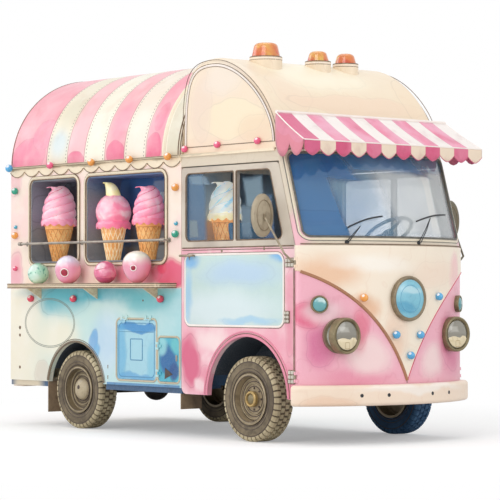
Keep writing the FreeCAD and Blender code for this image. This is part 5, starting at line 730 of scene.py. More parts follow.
# Every wash in the tables says: colour, middle, half sizes, softness of the edge, strength, strength of the line.
PAINT = {
    "chassis_frame": washed("chassis_paint", "#34587C", [
        ("#D9CBB2", (-1.80, 0, 0.37), (0.30, 1.2, 0.2), 0.15, 1.0, 0)],
        mottle=0.2, shade="#4A5B6E", rough=0.55),
    "floor_pan": washed("wheelhouse_paint", "#2B3743", mottle=0.3, shade="#5A6672", rough=0.7),
    "engine_block": washed("engine_paint", "#4A4744", mottle=0.2, shade="#777777", rough=0.7),
    "exhaust": metal("exhaust_steel", "#8B8078", 0.45, "#5A3E2E", 0.8),
    "front_axle": metal("axle_steel", "#5B5651", 0.5, "#2E2A26", 0.7),
    "rear_axle": metal("rear_axle_steel", "#5B5651", 0.5, "#2E2A26", 0.7),
    "mudflaps": rubber_paint("flap_rubber", "#7E6A57", "#9A8369", "#5E4C3E"),
    "box_side_right": side_paint(),
    "box_side_left": washed("left_side_paint", "#BFE1E0", [
        ("#F5EEDA", (-1.9, HALF, 0.9), (0.6, 0.5, 0.5), 0.6, 0.9, 0),
        ("#4FB3C6", (-0.8, HALF, 1.12), (0.9, 0.5, 0.1), 0.6, 0.8, 0.2),
        ("#F8E6D6", (-0.8, HALF, 1.80), (2.4, 0.5, 0.5), 0.12, 1.0, 0.1)]),
    "box_rear_wall": washed("rear_wall_paint", "#F5EBD8", [
        ("#F4B9C6", (REAR, 0, 2.6), (0.5, 1.1, 0.42), 0.3, 0.9, 0.2),
        ("#BFE1E0", (REAR, 0, 0.6), (0.5, 1.2, 0.35), 0.6, 0.8, 0.2)]),
    "bulkhead": washed("bulkhead_paint", "#D9CFBD", [
        # The light blue colour and the pale yellow patch are painted lighter to make up for the cab's shade: painted
        # light.
        ("#A9CBE0", (0.62, -0.1, 1.55), (0.24, 1.3, 1.1), 0.1, 1.0, 0),
        ("#4B84B8", (0.62, -0.62, 1.95), (0.24, 0.40, 0.45), 0.5, 0.9, 0.2),
        ("#E6EBC8", (0.62, -0.12, 1.72), (0.24, 0.22, 0.30), 0.6, 0.9, 0)], mottle=0.12, shade="#6E90AC"),
    "box_roof": box_roof_paint(),
    "gutter_fascia": washed("fascia_paint", "#F3E2C6", [
        ("#B9A98C", (-0.85, -HALF - 0.02, GUTTER - 0.008), (1.6, 0.1, 0.02), 0.3, 0.9, 0)],
        shade="#C9AC82", scale=5),
    "window_bays": washed("bay_lining", "#7A838E", [
        ("#4E70A4", (-0.38, -0.6, 2.1), (0.62, 0.5, 0.16), 0.3, 0.9, 0)],
        mottle=0.3, shade="#5F6670", rough=0.5, scale=1.5),
    "serving_glass": glass_paint("serving_glass", "#43536B", "#5E6C7A", [
        # Dark and grey patches are painted shade of the bays behind this nearly opaque glass; the pale streak under
        # the top band is a painted reflection.
        ("#3A629A", (-0.38, -0.55, 2.02), (0.52, 0.5, 0.14), 0.25, 1.05, 0),
        ("#9DB8CA", (-0.36, -0.55, 1.955), (0.15, 0.5, 0.030), 0.25, 0.95, 0.1),
        ("#4A6C9C", (-0.86, -0.55, 1.75), (0.09, 0.5, 0.34), 0.3, 0.95, 0),
        ("#5F6870", (-1.40, -0.55, 1.76), (0.44, 0.5, 0.46), 0.1, 1.05, 0),
        ("#8A9296", (-1.66, -0.55, 1.56), (0.07, 0.5, 0.10), 0.3, 0.9, 0.3),
        ("#737A7E", (-0.16, -0.55, 1.50), (0.34, 0.5, 0.15), 0.3, 0.95, 0),
        ("#737674", (-0.62, -0.55, 1.46), (0.20, 0.5, 0.08), 0.3, 0.9, 0)], 0.93),
    "window_frames": washed("window_frame_paint", "#EADBBE", mottle=0.12, shade="#B99C76", scale=4),
    "serving_counter": wood_paint(),
    "serving_rail": STEEL,
    "rear_door": washed("rear_door_paint", "#F6C3CE", [("#E27391", (REAR, 0, 0.75), (0.5, 0.4, 0.2), 0.5, 0.8, 0.2)]),
    "service_hatch": washed("service_hatch_paint", "#A6D5E4", [
        ("#3C8FCC", (-0.23, -HALF, 0.865), (0.26, 0.5, 0.040), 0.2, 0.95, 0.3),
        ("#5FB0DA", (-0.43, -HALF, 0.66), (0.06, 0.5, 0.24), 0.4, 0.7, 0.2),
        ("#7CC3DE", (-0.02, -HALF, 0.55), (0.06, 0.5, 0.2), 0.5, 0.7, 0.1),
        ("#4A9FD6", (-0.23, -HALF, 0.47), (0.26, 0.5, 0.03), 0.4, 0.7, 0.2)],
        mottle=0.08, shade="#6E9AB8"),
    "filler_flap": washed("filler_flap_paint", "#4FB6CC", [
        ("#0F5F9E", (0.20, -HALF, 0.62), (0.10, 0.5, 0.11), 0.30, 0.95, 0.3),
        ("#0B4688", (0.27, -HALF, 0.53), (0.05, 0.5, 0.08), 0.3, 0.9, 0.3),
        ("#9AD6DC", (0.12, -HALF, 0.73), (0.07, 0.5, 0.06), 0.4, 0.8, 0.1),
        ("#6CC6C9", (0.30, -HALF, 0.74), (0.05, 0.5, 0.06), 0.4, 0.7, 0)],
        mottle=0.14, shade="#2E7CA8"),
    "front_side_panels": washed("front_side_paint", "#F2B1C1", [
        ("#DC6A9A", (1.9, -0.72, 0.74), (0.3, 0.10, 0.16), 0.5, 0.8, 0.2),
        ("#E04F7A", (1.8, -0.80, 0.98), (0.3, 0.10, 0.10), 0.4, 0.8, 0.3),
        ("#FADADF", (1.9, -0.70, 1.0), (0.4, 0.12, 0.08), 0.5, 0.7, 0),
        ("#E98CA6", (2.0, -0.45, 0.50), (0.4, 0.25, 0.07), 0.6, 0.7, 0),
        # these two pale washes low on the nose are painted highlights
        ("#F9DEDB", (2.0, -0.34, 0.66), (0.3, 0.17, 0.13), 0.45, 0.85, 0.1),
        ("#FAE2DE", (2.0, 0.30, 0.62), (0.3, 0.14, 0.13), 0.5, 0.8, 0.1),
        ("#D8608F", (1.95, 0.62, 0.75), (0.4, 0.2, 0.20), 0.6, 0.8, 0.2),
        ("#E1486F", (1.98, -0.42, 0.86), (0.3, 0.06, 0.15), 0.5, 0.6, 0.2)],
        mottle=0.12, shade="#C7607F"),
    "front_v_panel": washed("front_v_paint", "#F9EAD6", [
        # The peach washes along the near V edge are painted shade.
        ("#EFC19C", (1.90, -0.70, 1.30), (0.4, 0.26, 0.12), 0.6, 0.85, 0.0),
        ("#E9B48A", (2.0, -0.40, 1.02), (0.4, 0.12, 0.10), 0.6, 0.8, 0.0),
        ("#F2C4A2", (2.05, -0.16, 0.74), (0.3, 0.07, 0.14), 0.6, 0.8, 0.0),
        ("#F5BDC2", (1.95, 0.66, 1.30), (0.3, 0.09, 0.14), 0.5, 0.8, 0.15),
        ("#F3D5BD", (2.05, -0.12, 0.85), (0.3, 0.10, 0.2), 0.6, 0.7, 0.1),
        ("#F7DDC8", (2.0, 0.35, 1.3), (0.4, 0.3, 0.10), 0.6, 0.6, 0.1),
        ("#FFF9EF", (1.95, -0.3, 1.38), (0.4, 0.3, 0.06), 0.6, 0.7, 0)],
        mottle=0.08, shade="#D8A98A"),
    "cab_upper_frame": washed("upper_frame_paint", "#D9CBB6", [
        ("#F2B4C2", (1.74, -0.84, 1.60), (0.10, 0.14, 0.16), 0.5, 0.9, 0.2),
        ("#F2B4C2", (1.74, 0.84, 1.60), (0.10, 0.14, 0.16), 0.5, 0.9, 0.2)],
        mottle=0.08, shade="#BBA58C"),
    "windscreen_glass": glass_paint("windscreen_glass", "#6E9CC4", "#8FB3C9", [
        # Blue patches are painted reflections; the pale patches towards the far side are painted light where the far
        # window's white shows through.
        ("#2C69A4", (1.75, -0.72, 2.14), (0.5, 0.34, 0.14), 0.25, 0.95, 0.15),
        ("#3E78AE", (1.85, -0.74, 1.92), (0.5, 0.20, 0.24), 0.18, 0.9, 0.25),
        ("#F6F2E8", (1.9, 0.40, 1.86), (0.5, 0.52, 0.30), 0.2, 0.60, 0),
        ("#3F78AC", (1.85, -0.05, 2.16), (0.5, 0.42, 0.085), 0.3, 0.85, 0.2),
        ("#5B89B2", (1.80, 0.50, 2.17), (0.5, 0.40, 0.06), 0.3, 0.7, 0.15),
        ("#3A76AE", (1.95, -0.68, 1.64), (0.5, 0.20, 0.14), 0.12, 0.85, 0.35),
        ("#F0EEE4", (1.9, 0.42, 1.84), (0.4, 0.05, 0.22), 0.3, 0.45, 0)],
        0.42, fade=(-0.45, 0.35, 0.24)),
    "cab_roof": washed("cab_roof_paint", "#F5E3C8", [
        ("#5C8DB6", (0.95, 0, 2.33), (0.50, 0.80, 0.34), 0.02, 0.95, 0),
        ("#F6DFC6", (1.35, -0.55, 2.72), (0.30, 0.20, 0.22), 0.35, 0.7, 0.15),
        ("#F5D9BF", (1.45, 0.1, 2.62), (0.3, 0.75, 0.08), 0.3, 0.7, 0.2),
        # The pale wash on the crown is a painted highlight.
        ("#FFF7DF", (1.15, -0.1, 2.90), (0.5, 0.5, 0.16), 0.4, 0.8, 0.1),
        ("#F5DFC2", (1.3, 0.80, 2.65), (0.4, 0.2, 0.25), 0.5, 0.7, 0.2),
        ("#F3D2B8", (0.95, -HALF, 2.30), (0.62, 0.2, 0.07), 0.5, 0.6, 0),
        ("#F1DCC4", (0.95, -HALF, 2.60), (0.62, 0.06, 0.34), 0.3, 0.75, 0),
        ("#F6E6C6", (0.98, -HALF, 2.50), (0.40, 0.2, 0.15), 0.15, 0.7, 0.25),
        ("#EBD3C2", (0.62, -HALF, 2.62), (0.14, 0.2, 0.30), 0.4, 0.6, 0.1),
        ("#EFD3B4", (1.30, -HALF, 2.40), (0.22, 0.2, 0.12), 0.4, 0.6, 0.15),
        ("#F0E2D4", (0.90, -HALF, 2.82), (0.24, 0.2, 0.13), 0.5, 0.7, 0.1),
        ("#F4DBBB", (0.75, -0.62, 2.86), (0.5, 0.12, 0.06), 0.5, 0.6, 0)],
        mottle=0.09, shade="#DDB08C"),
    "beacon_bases": washed("beacon_base_paint", "#F4E0C4", mottle=0.12, shade="#C9A07C"),
    "beacon_domes": amber_paint(),
    "awning_frame": WHITE_TRIM,
    "bumpers": washed("bumper_paint", "#F8E2CC", [
        ("#FFF6EC", (2.05, 0.1, 0.42), (0.3, 0.5, 0.03), 0.5, 0.8, 0),
        ("#EEC9AC", (1.95, -0.70, 0.33), (0.3, 0.2, 0.04), 0.5, 0.7, 0.2)],
        mottle=0.08, shade="#D7A98A"),
    "lamp_bodies": BRONZE,
    "lamp_lenses": washed("lens_paint", "#D9D9CE", [
        ("#8E9896", (1.95, -0.58, 0.88), (0.3, 0.14, 0.05), 0.4, 0.9, 0.3),
        ("#8E9896", (1.95, 0.58, 0.88), (0.3, 0.14, 0.05), 0.4, 0.9, 0.3),
        ("#6FB0B4", (1.85, -0.73, 1.06), (0.3, 0.08, 0.08), 0.2, 1.0, 0.2),
        ("#6FB0B4", (1.85, 0.73, 1.06), (0.3, 0.08, 0.08), 0.2, 1.0, 0.2),
        ("#C4574A", (REAR, 0, 0.98), (0.06, 0.9, 0.3), 0.1, 1.0, 0)], rough=0.12, coat=0.7, grain=0.0002),
    "front_badge": BRONZE,
    "dashboard": washed("dash_paint", "#7E97A8", mottle=0.15, shade="#5F7486", rough=0.6),
    "steering_wheel": dark_line("steering_grip", "#3F545F", 0.4),
    "seats": leather_paint(),
}
PAINT["door_right"] = PAINT["door_left"] = door_paint()
PAINT["door_glass_right"] = glass_paint("door_glass_right", "#4F7294", "#6E91AA", [
    # Deep blue patches stand for the blue cab behind, partly its colour and partly painted shade; the pale ones are
    # painted reflections.
    ("#47739A", (0.47, -HALF, 1.80), (0.17, 0.6, 0.40), 0.2, 0.72, 0),
    ("#3A5F88", (0.40, -HALF, 1.84), (0.05, 0.6, 0.20), 0.4, 0.6, 0.2),
    ("#9DB8C9", (0.56, -HALF, 2.03), (0.11, 0.6, 0.030), 0.35, 0.55, 0.15),
    ("#93A5A6", (0.50, -HALF, 1.66), (0.05, 0.6, 0.06), 0.2, 0.6, 0.25),
    ("#8DA8B4", (1.24, -HALF, 1.93), (0.11, 0.6, 0.12), 0.25, 0.6, 0.25),
    ("#8199A6", (1.16, -HALF, 1.70), (0.06, 0.6, 0.13), 0.3, 0.55, 0.2),
    ("#3F66A0", (1.42, -HALF, 1.72), (0.05, 0.6, 0.17), 0.25, 0.7, 0.15)], 0.06)
PAINT["door_glass_left"] = glass_paint("door_glass_left", "#EEF2F2", "#F8F8F4", [
    ("#DCE4E6", (0.95, HALF, 2.06), (0.6, 0.5, 0.04), 0.3, 0.3, 0)], 0.12)
# The near side's hardware is painted lighter than the far side's: painted light and painted shade on one metal.
for word, lit_or_shaded_tone in (("right", "#A89B84"), ("left", "#77705F")):
    PAINT["door_hardware_" + word] = metal("hardware_" + word, lit_or_shaded_tone, 0.45, "#5E5444", 0.3)
    PAINT["knuckle_" + word] = PAINT["front_axle"]
    for place, tint in (("front", "#A7967A"), ("rear", "#85765C")):
        PAINT["rim_%s_%s" % (place, word)] = metal("rim_%s_%s" % (place, word), tint, 0.45, "#4C3F2E", 0.3)

for name, node in frame["nodes"].items():
    if name in PAINT:
        node.data.materials.clear()
        node.data.materials.append(PAINT[name])


# ---------------------------------------------------------------- serving box

def stud_row(name, kind, studs, radius):
    """Glossy studs of one colour; each is (point, normal)."""
    form, steps = Form(), 9
    turns = [math.pi * (1 - 0.72 * i / steps) for i in range(steps + 1)]
    ball = [(radius * max(math.sin(turn), 0.002), radius * (0.60 - math.cos(turn))) for turn in turns]
    for point, normal in studs:
        form.lathe(ball, point, normal, 22)
    form.piece(name, CANDY[kind], slot="treat")


def side_studs(places, y=-HALF):
    """Points and normals of studs on the serving side through (x, z) places."""
    return [(at(x, y, z), -Y) for x, z in places]


def lines_on_side(form, outline, rise, width, closed=True):
    """A low band along an outline of (x, z) pairs on the serving side."""
    form.sweep(on_side(outline, -HALF), -Y, section_band(width, -0.001, rise), closed)


def roof_ring(x):
    """Points and normals over the box's vault at one place along the truck."""
    points, normals, steps = [], [], 48
    for i in range(steps + 1):
        angle = math.pi * i / steps
        points.append(at(x, -HALF * math.cos(angle), GUTTER + VAULT * math.sin(angle)))
        normals.append(at(0, -math.cos(angle) / HALF, math.sin(angle) / VAULT).normalized())
    return points, normals


def box_trims():
    """Pipings over the roof at its cab end and edge beads at the rear."""
    piping, dark = forms(2)
    for form, x, width, rise in (
            (piping, 0.128, 0.030, 0.010), (piping, 0.148, 0.014, 0.006), (dark, 0.322, 0.012, 0.007),
            (dark, 0.350, 0.012, 0.007), (dark, REAR + 0.012, 0.012, 0.003)):
        form.sweep(*roof_ring(x), section_band(width, -0.003, rise))
    piping.piece("roof_piping", CREAM_TRIM)
    dark.piece("roof_seams", UMBER)


def scallops():
    """Dark rims along the fascia's scallops and lines along the gutter, on both sides."""
    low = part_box("gutter_fascia")[0]
    count, drop = 11, 0.045
    width, foot = (SEAM - REAR) / count, low.z + drop
    radius = (width ** 2 / 4 + drop ** 2) / (2 * drop)
    sweep = math.degrees(math.asin(width / 2 / radius))
    rim, y = Form(), -HALF - 0.008
    for i in range(count):
        bow = arc((REAR + (i + 0.5) * width, foot - drop + radius), radius - 0.004, 270 - sweep, 270 + sweep, 12)
        rim.sweep([at(a, y, b) for a, b in bow], -Y, section_band(0.007, -0.001, 0.003, 0.3))
    for z in (GUTTER - 0.004, GUTTER - 0.019):
        rim.sweep([at(REAR + 0.006, low.y, z), at(SEAM - 0.006, low.y, z)], -Y,
                  section_band(0.004, -0.001, 0.002, 0.3))
    rim.mirrored().piece("scallop_rims", UMBER)


def window_trims():
    """Rounded double piping round both serving windows."""
    outer, lines = forms(2)
    for low, high in WINDOWS:
        for form, grow, width, rise, radius in (
                (outer, 0.018, 0.013, 0.006, 0.078), (lines, 0.003, 0.008, 0.004, 0.062),
                (lines, BORDER + 0.002, 0.006, -0.002, 0.086)):
            outline = box_outline(low - grow, high + grow, WINDOW_LOW - grow, WINDOW_HIGH + grow, radius, 8)
            form.sweep(on_side(outline, FRAMES_LOW.y), -Y, section_band(width, -0.006, rise, 0.4), True)
    outer.piece("window_outer_piping", CREAM_TRIM)
    lines.piece("window_lines", UMBER)


def wafer(shells, ribs, foot, reach, height, band):
    """A lattice wafer cone, with a plain rim if band is its height."""
    neck, plain = 0.056, height - band
    shells.lathe([(0.001, 0), (neck - 0.004, 0), (neck, 0.004), (reach, plain), (reach + 0.004, plain + 0.004),
                  (reach + 0.012, height), (reach, height + 0.004), (0.001, height + 0.002)], foot, Z, 40)
    for turn in (1, -1):
        for k in range(14):
            path = []
            for i in range(13):
                share = i / 12
                angle = math.tau * k / 14 + turn * share * 1.1
                radius = neck + (reach - neck) * share
                path.append(foot + polar(radius, angle, 0.004 + (plain - 0.004) * share))
            ribs.tube(path, 0.0034)
    ribs.tube(circle(foot + Z * plain, X * (reach + 0.002), Y * (reach + 0.002), 32), 0.004, True)


def frill(form, foot, z, inner, outer, drop, waves, phase):
    """A drooping frilled skirt of ice cream round the top of a wafer."""
    rows = []
    for i in range(9):
        share = i / 8
        row = []
        for j in range(72):
            angle = math.tau * j / 72
            wave = abs(math.sin(waves / 2 * angle + phase)) * 2 - 1
            radius = min(inner + (outer - inner) * math.sin(share * math.pi / 2) * (1 + 0.04 * wave * share), outer)
            row.append(foot + polar(radius, angle, z - drop * share ** 2 * (1 + 0.22 * wave)))
        rows.append(row)
    form.rows(rows + [[p + at(0, 0, -0.014) + (foot - p) * 0.02 for p in row] for row in rows[::-1]])


def swirl(form, grooves, foot, low, high, reach, turns, lean, phase):
    """Piped ice cream: rounded tiers winding up a dome, with a dark line in each groove."""
    def dome(share):
        return reach * max(0.0, 1 - share ** 2.7) ** 0.58

    def place(radius, angle, share):
        return foot + lean * share ** 2 + polar(radius, angle, low + (high - low) * share)

    rows, rings, count, starts = [], 84, 72, 3
    for i in range(rings):
        share = i / rings
        row = []
        for j in range(count):
            tier = (turns * share - starts * j / count + phase) % 1
            radius = dome(share) * (0.87 + 0.13 * math.sqrt(1 - (2 * tier - 1) ** 2))
            row.append(place(radius, math.tau * j / count, share))
        rows.append(row)
    form.rows(rows)
    for k in range(-starts - 1, int(turns) + starts + 2):
        path = []
        for j in range(-8, 6 * count):
            share = (k + starts * j / count - phase) / turns
            if 0 <= share < 0.93:
                path.append(place(dome(share) * 0.885, math.tau * j / count, share))
        if k < starts and len(path) > 3:
            grooves.tube(path[::2], 0.0034)


def tip(form, base, out, rise, radius, drop):
    """A tapering curl of ice cream that bends over towards out."""
    rows, steps = [], 16
    for i in range(steps + 1):
        share = i / steps
        middle = base + out * share ** 1.6 + Z * (rise * math.sin(share * math.pi * 0.62) - drop * share ** 3)
        size = radius * (1 - share) ** 0.62 + 0.004
        rows.append(circle(middle, X * size, Y * size, 20))
    form.rows(rows)


def ball_of(form, middle, half, rise, seed, rough=0.03, top=0.0):
    """A lumpy ball or egg; top widens its upper half."""
    rows, segments, rings = [], 44, 28
    for i in range(1, rings):
        tilt = math.pi * i / rings
        across = math.sin(tilt) * (1 - top * math.cos(tilt))
        row = []
        for j in range(segments):
            away = polar(across, math.tau * j / segments, -math.cos(tilt))
            coarse, small = noise.noise(away * 3.2 + at(seed, 0, 0)), noise.noise(away * 8 + at(0, seed, 0))
            lump = 1 + rough * coarse + rough * 0.5 * small
            row.append(middle + at(away.x * half, away.y * half, away.z * rise) * lump)
        rows.append(row)
    form.rows(rows)


def display_cones():
    """Wafer cones with ice cream: two piped ones and a scoop in the windows and a striped one in the cab."""
    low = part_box("display_cones")[0]
    left = at(-0.68, -0.73, 0)
    cones = [
        # foot, width, wafer's height, its plain rim, top of the ice cream, tiers, ice cream, skirt, line
        (at(low.x + 0.165, low.y + 0.165, low.z), 0.322, 0.350, 0.072, 0.672, 4.0, ("#F9A9C0", "#FDD3DC", "#F08BA8"),
         ("#F48FAC", "#F9B4C6", "#E26A8E"), "#B33A5E"),
        (at(WINDOWS[1][0] + 0.168, low.y + 0.150, low.z), 0.296, 0.290, 0.0, 0.555, 0,
         ("#F78FAC", "#FDD5DC", "#EE6D92"),
         ("#F27A9C", "#F9A3B9", "#DC5580"), "#C2456B"),
        (at(WINDOWS[1][0] + 0.653, low.y + 0.150, low.z), 0.282, 0.330, 0.058, 0.628, 4.0,
         ("#F896B2", "#FCC6D3", "#EC7798"),
         ("#F2839F", "#F9AEC0", "#DE6286"), "#A93158"),
        (at(SEAM + 0.153, -0.534, low.z), 0.286, 0.350, 0.060, 0.640, 3.2, ("#A9D8EC", "#F4FAFA", "#7DBBE0"),
         ("#F8EBB4", "#FDF7DA", "#EBD68C"), "#6FA9D2"),
    ]
    shells, ribs, pale_ribs = forms(3)
    for number, (foot, width, height, band, top, tiers, ice, skirt_ice, line) in enumerate(cones, start=1):
        half = width / 2
        wafer(shells, ribs if band else pale_ribs, foot, half * 0.72, height, band)
        dollop, skirt, grooves = forms(3)
        if tiers:
            swirl(dollop, grooves, foot, height + 0.012, top - 0.012, half * 0.93, tiers, left * -0.016,
                  0.15 * number)
            tip(dollop, foot + Z * (top - 0.062), left * 0.108, 0.046, 0.060, 0.014)
            frill(skirt, foot, height + 0.040, half * 0.4, half * 0.985, 0.052, 13, number)
        else:
            ball_of(dollop, foot + Z * (top + height - 0.03) / 2, half, (top - height + 0.04) / 2, 1.3)
            frill(skirt, foot, height + 0.052, half * 0.6, half, 0.048, 11, 0.6)
            curl = Form()
            tip(curl, foot + Z * (top - 0.022), left * 0.085, 0.125, 0.062, 0.0)
            custard = ice_paint("custard_ice", "#F9E9A0", "#FDF5C9", "#EBCB68")
            curl.piece("cone_%d_curl" % number, custard, slot="treat")
        stripe = "#F3F6E8" if number == 4 else None
        dollop.piece("cone_%d_ice" % number, ice_paint("ice_%d" % number, *ice, stripe), slot="treat")
        skirt.piece("cone_%d_skirt" % number, ice_paint("skirt_ice_%d" % number, *skirt_ice), slot="treat")
        if tiers:
            deep = ice_paint("groove_ice_%d" % number, line, line, ice[0])
            grooves.piece("cone_%d_grooves" % number, deep, slot="treat")
    baked = shells.piece("cone_wafers", wafer_paint("wafer", "#F4BE7C", "#E6A25C"), slot="wafer")
    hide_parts("display_cones")
    ribs.piece("cone_lattice", wafer_paint("wafer_ribs", "#D59A5C", "#BE7E42"), slot="wafer")
    pale_ribs.piece("cone_pale_lattice", wafer_paint("pale_wafer_ribs", "#FBE9C8", "#F0CF9A"), slot="wafer")


def counter_treats():
    """Four glossy treats on the counter: a mint ball, a holed pink egg, a creased ball and a tall egg."""
    treats = [
        # name, ahead of the counter's end, half width, half height, wider at the top, base, pale, spot: dots on the
        # mint ball, painted shade low on the eggs, the part below the ball's crease
        ("mint_ball", 0.365, 0.093, 0.093, 0.0, "#A9DFC4", "#D6F2E2", "#3E9C85"),
        ("holed_egg", 0.831, 0.113, 0.122, 0.0, "#F3A2BC", "#E6DCF2", "#E57F9F"),
        ("creased_ball", 1.335, 0.096, 0.096, 0.0, "#E9769C", "#F6A9C0", "#B93F73"),
        ("tall_egg", 1.797, 0.119, 0.135, 0.16, "#F2A0B8", "#FBF6E6", "#EA86A4"),
    ]
    face = Matrix.Rotation(math.radians(38), 3, "Z") @ -Y
    for name, ahead, half, rise, top, base, pale, spot in treats:
        middle = at(COUNTER_LOW.x + ahead, -HALF - 0.016 - half, COUNTER_HIGH.z + rise - 0.008)
        form = Form()
        ball_of(form, middle, half * 0.985, rise * 0.985, 4.0 + ahead, 0.008, top)
        s = Shader(name + "_candy", 0.16, 0.0, 0.7)
        height = s.xyz(s.wobbly(7, 0.06))[2]
        if "egg" in name:
            tone = s.mix(s.span(height, middle.z + rise * 0.05, middle.z + rise * 0.75), base, pale)
            # the eggs turn a darker pink towards the bottom as painted shade
            tone = s.mix(s.span(height, middle.z - rise * 0.3, middle.z - rise * 0.9, 0, 0.6), tone, spot)
        elif "mint" in name:
            tone = s.cloud(base, pale, (7, 3), 0.4, 0.62)
            tone = s.cloud(tone, spot, (34, 3, 0.5), 0.60, 0.63, 0.75)
        else:
            tone = s.cloud(base, pale, (9, 3, 0.5, 0.5), 0.42, 0.6)
            tone = s.mix(s.span(height, middle.z - rise * 0.35, middle.z - rise * 0.45, 0, 0.8), tone, spot)
        body = form.piece(name, s.finish(lit(s, tone, 0.72, strength=0.5), s.noise(40, 3), 0.0008), slot="treat")
        if "egg" in name:
            size, lift = (0.030, -0.22) if name == "holed_egg" else (0.020, -0.06)
            ahead = (face + Z * lift).normalized()
            spot_at = middle + at(ahead.x * half, ahead.y * half, ahead.z * rise) * 0.985
            rim, hole = forms(2)
            rim.lathe([(size, -0.010), (size, 0.0005), (size + 0.003, 0.002), (size + 0.007, -0.001),
                       (size + 0.007, -0.012)], spot_at, ahead, 28)
            hole.lathe([(0.001, 0.0015), (size * 0.7, 0.001), (size + 0.001, -0.002), (size + 0.001, -0.014)],
                       spot_at, ahead, 24)
            rim.piece(name + "_eyelet", WHITE_TRIM, slot="treat")
            hole.piece(name + "_heart", dark_line(name + "_heart_paint", "#8E1F36", 0.3), slot="treat")
        elif name == "creased_ball":
            crease = Form()
            for lift, start in ((-0.42, -150), (0.15, -95)):
                crease.tube([middle + at(math.cos(math.radians(start + 5 * i)), math.sin(math.radians(start + 5 * i)),
                                         lift + (0.02 * i if lift > 0 else 0)).normalized() * half * 0.988
                             for i in range(25 if lift < 0 else 14)], 0.0028)
            crease.piece("ball_crease", DEEP_PINK, slot="treat")
    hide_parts("counter_treats")


def counter_trims():
    """Edge lines round the counter."""
    edge, (low, high) = Form(), (COUNTER_LOW, COUNTER_HIGH)
    for drop, thick in ((0.006, 0.005), (0.021, 0.003), (0.037, 0.005)):
        z = high.z - drop
        rear = [at(low.x + 0.001, -HALF, z)]
        rear += [at(low.x + a, low.y + b, z) for a, b in ((0.001, 0.034), (0.012, 0.012), (0.034, 0.001))]
        ahead = [at(high.x - a, low.y + b, z) for a, b in ((0.034, 0.001), (0.012, 0.012), (0.001, 0.034))]
        edge.tube(rear + ahead + [at(high.x - 0.001, -HALF, z)], thick)
    edge.piece("counter_edge", UMBER, slot="counter_top")


def side_details():
    """Plain double ring, rivets and dashes on the lower side, with hatch and flap surrounds."""
    ring, marks, frames = forms(3)
    middle = at(-1.462, -HALF, 0.890)  # of the ring, low on the box's rear half
    for grow in (0.0, -0.014):
        path = circle(middle, X * (0.370 + grow), Z * (0.210 + grow * 0.8), 96)
        ring.sweep(path, -Y, section_band(0.0050, -0.001, 0.0020, 0.3), True)
    ring.piece("side_ring", washed("ring_line", "#85887F", mottle=0.1, shade="#6C6E66"))
    for x, z, radius in ((-1.912, 0.845, 0.016), (-1.912, 0.779, 0.014), (-1.912, 0.500, 0.014),
                         (-0.14, 1.085, 0.008)):
        marks.dome(at(x, -HALF, z), -Y, radius, 0.005, 14, 3)
    for z in (0.537, 0.450):
        marks.dome(at(-0.619, -HALF, z + 0.008), -Y, 0.006, 0.004, 10, 3)
        lines_on_side(marks, [(-0.619, z - 0.016), (-0.619, z + 0.012)], 0.003, 0.007, False)
    marks.piece("side_rivets", UMBER, slot="tube_steel")
    for low, high in ((HATCH_LOW, HATCH_HIGH), (FLAP_LOW, FLAP_HIGH)):
        top = high.z - (0.012 if low is HATCH_LOW else 0) + 0.010
        outline = box_outline(low.x - 0.010, high.x + 0.010, low.z - 0.010, top, 0.045, 6)
        lines_on_side(frames, outline, 0.007, 0.016)
    frames.piece("hatch_surrounds", washed("hatch_frame_paint", "#C9BDA4", mottle=0.15, shade="#857660"))


def hatch_details():
    """Fielded panel and recess lines on the service hatch; arrow and pull on the filler flap."""
    lines, mark, pull = forms(3)
    low, high = HATCH_LOW, HATCH_HIGH
    lines_on_side(lines, box_outline(low.x + 0.022, high.x - 0.022, low.z + 0.022, 0.900, 0.040, 6), 0.003, 0.006)
    middle = at((low.x + high.x) / 2, -HALF, 0.685)
    panel = box_outline(middle.x - 0.080, middle.x + 0.080, middle.z - 0.086, middle.z + 0.086, 0.006, 3)
    lines_on_side(lines, panel, 0.004, 0.007)
    lines_on_side(lines, [(low.x + 0.03, 0.829), (high.x - 0.03, 0.829)], 0.003, 0.004, False)
    lines.piece("hatch_lines", washed("hatch_line_paint", "#4E8FB8", mottle=0.1, shade="#2F5F86"), "service_hatch",
                "trim_cream")
    x, z = FLAP_LOW.x + 0.085, FLAP_LOW.z + 0.020
    mark.pillow(on_side([(x + 0.006, z + 0.091), (x, z), (x + 0.103, z + 0.040)], -HALF), -Y,
                [(0, -0.001), (0, 0.002), (0.002, 0.003)])
    mark.piece("flap_mark", INK, "filler_flap", "tube_steel")
    pull.pillow(on_side(box_outline(FLAP_HIGH.x - 0.040, FLAP_HIGH.x - 0.022, 0.60, 0.65, 0.006, 3), -HALF), -Y,
                [(0, -0.001), (0, 0.005), (0.003, 0.007)])
    pull.piece("flap_pull", STEEL, "filler_flap", "tube_steel")


def sills_and_arches():
    """Blue sill strips ahead of the rear wheels and the rear arches' lips, on both sides."""
    strip, lip = forms(2)
    strip.sweep([at(-0.63, -HALF, SILL + 0.010), at(SEAM - 0.02, -HALF, SILL + 0.010)], -Y,
                section_band(0.020, -0.001, 0.004, 0.4))
    strip.mirrored().piece("sill_strips", washed("sill_paint", "#5E93C0", mottle=0.2, shade="#2C4E74"),
                           slot="body_aqua")
    wheel = WHEELS["rear", "right"]
    start = math.degrees(math.asin((SILL - wheel.z) / REAR_ARCH)) + 1
    for radius, width, rise in ((REAR_ARCH + 0.007, 0.018, 0.009), (REAR_ARCH + 0.026, 0.006, 0.004)):
        path = [at(a, -HALF, b) for a, b in arc((wheel.x, wheel.z), radius, start, 180 - start, 48)]
        lip.sweep(path, -Y, section_band(width, -0.002, rise))
    lip.mirrored().piece("rear_arch_lips", washed("arch_lip_paint", "#7C6A54", mottle=0.15, shade="#4F4234"))


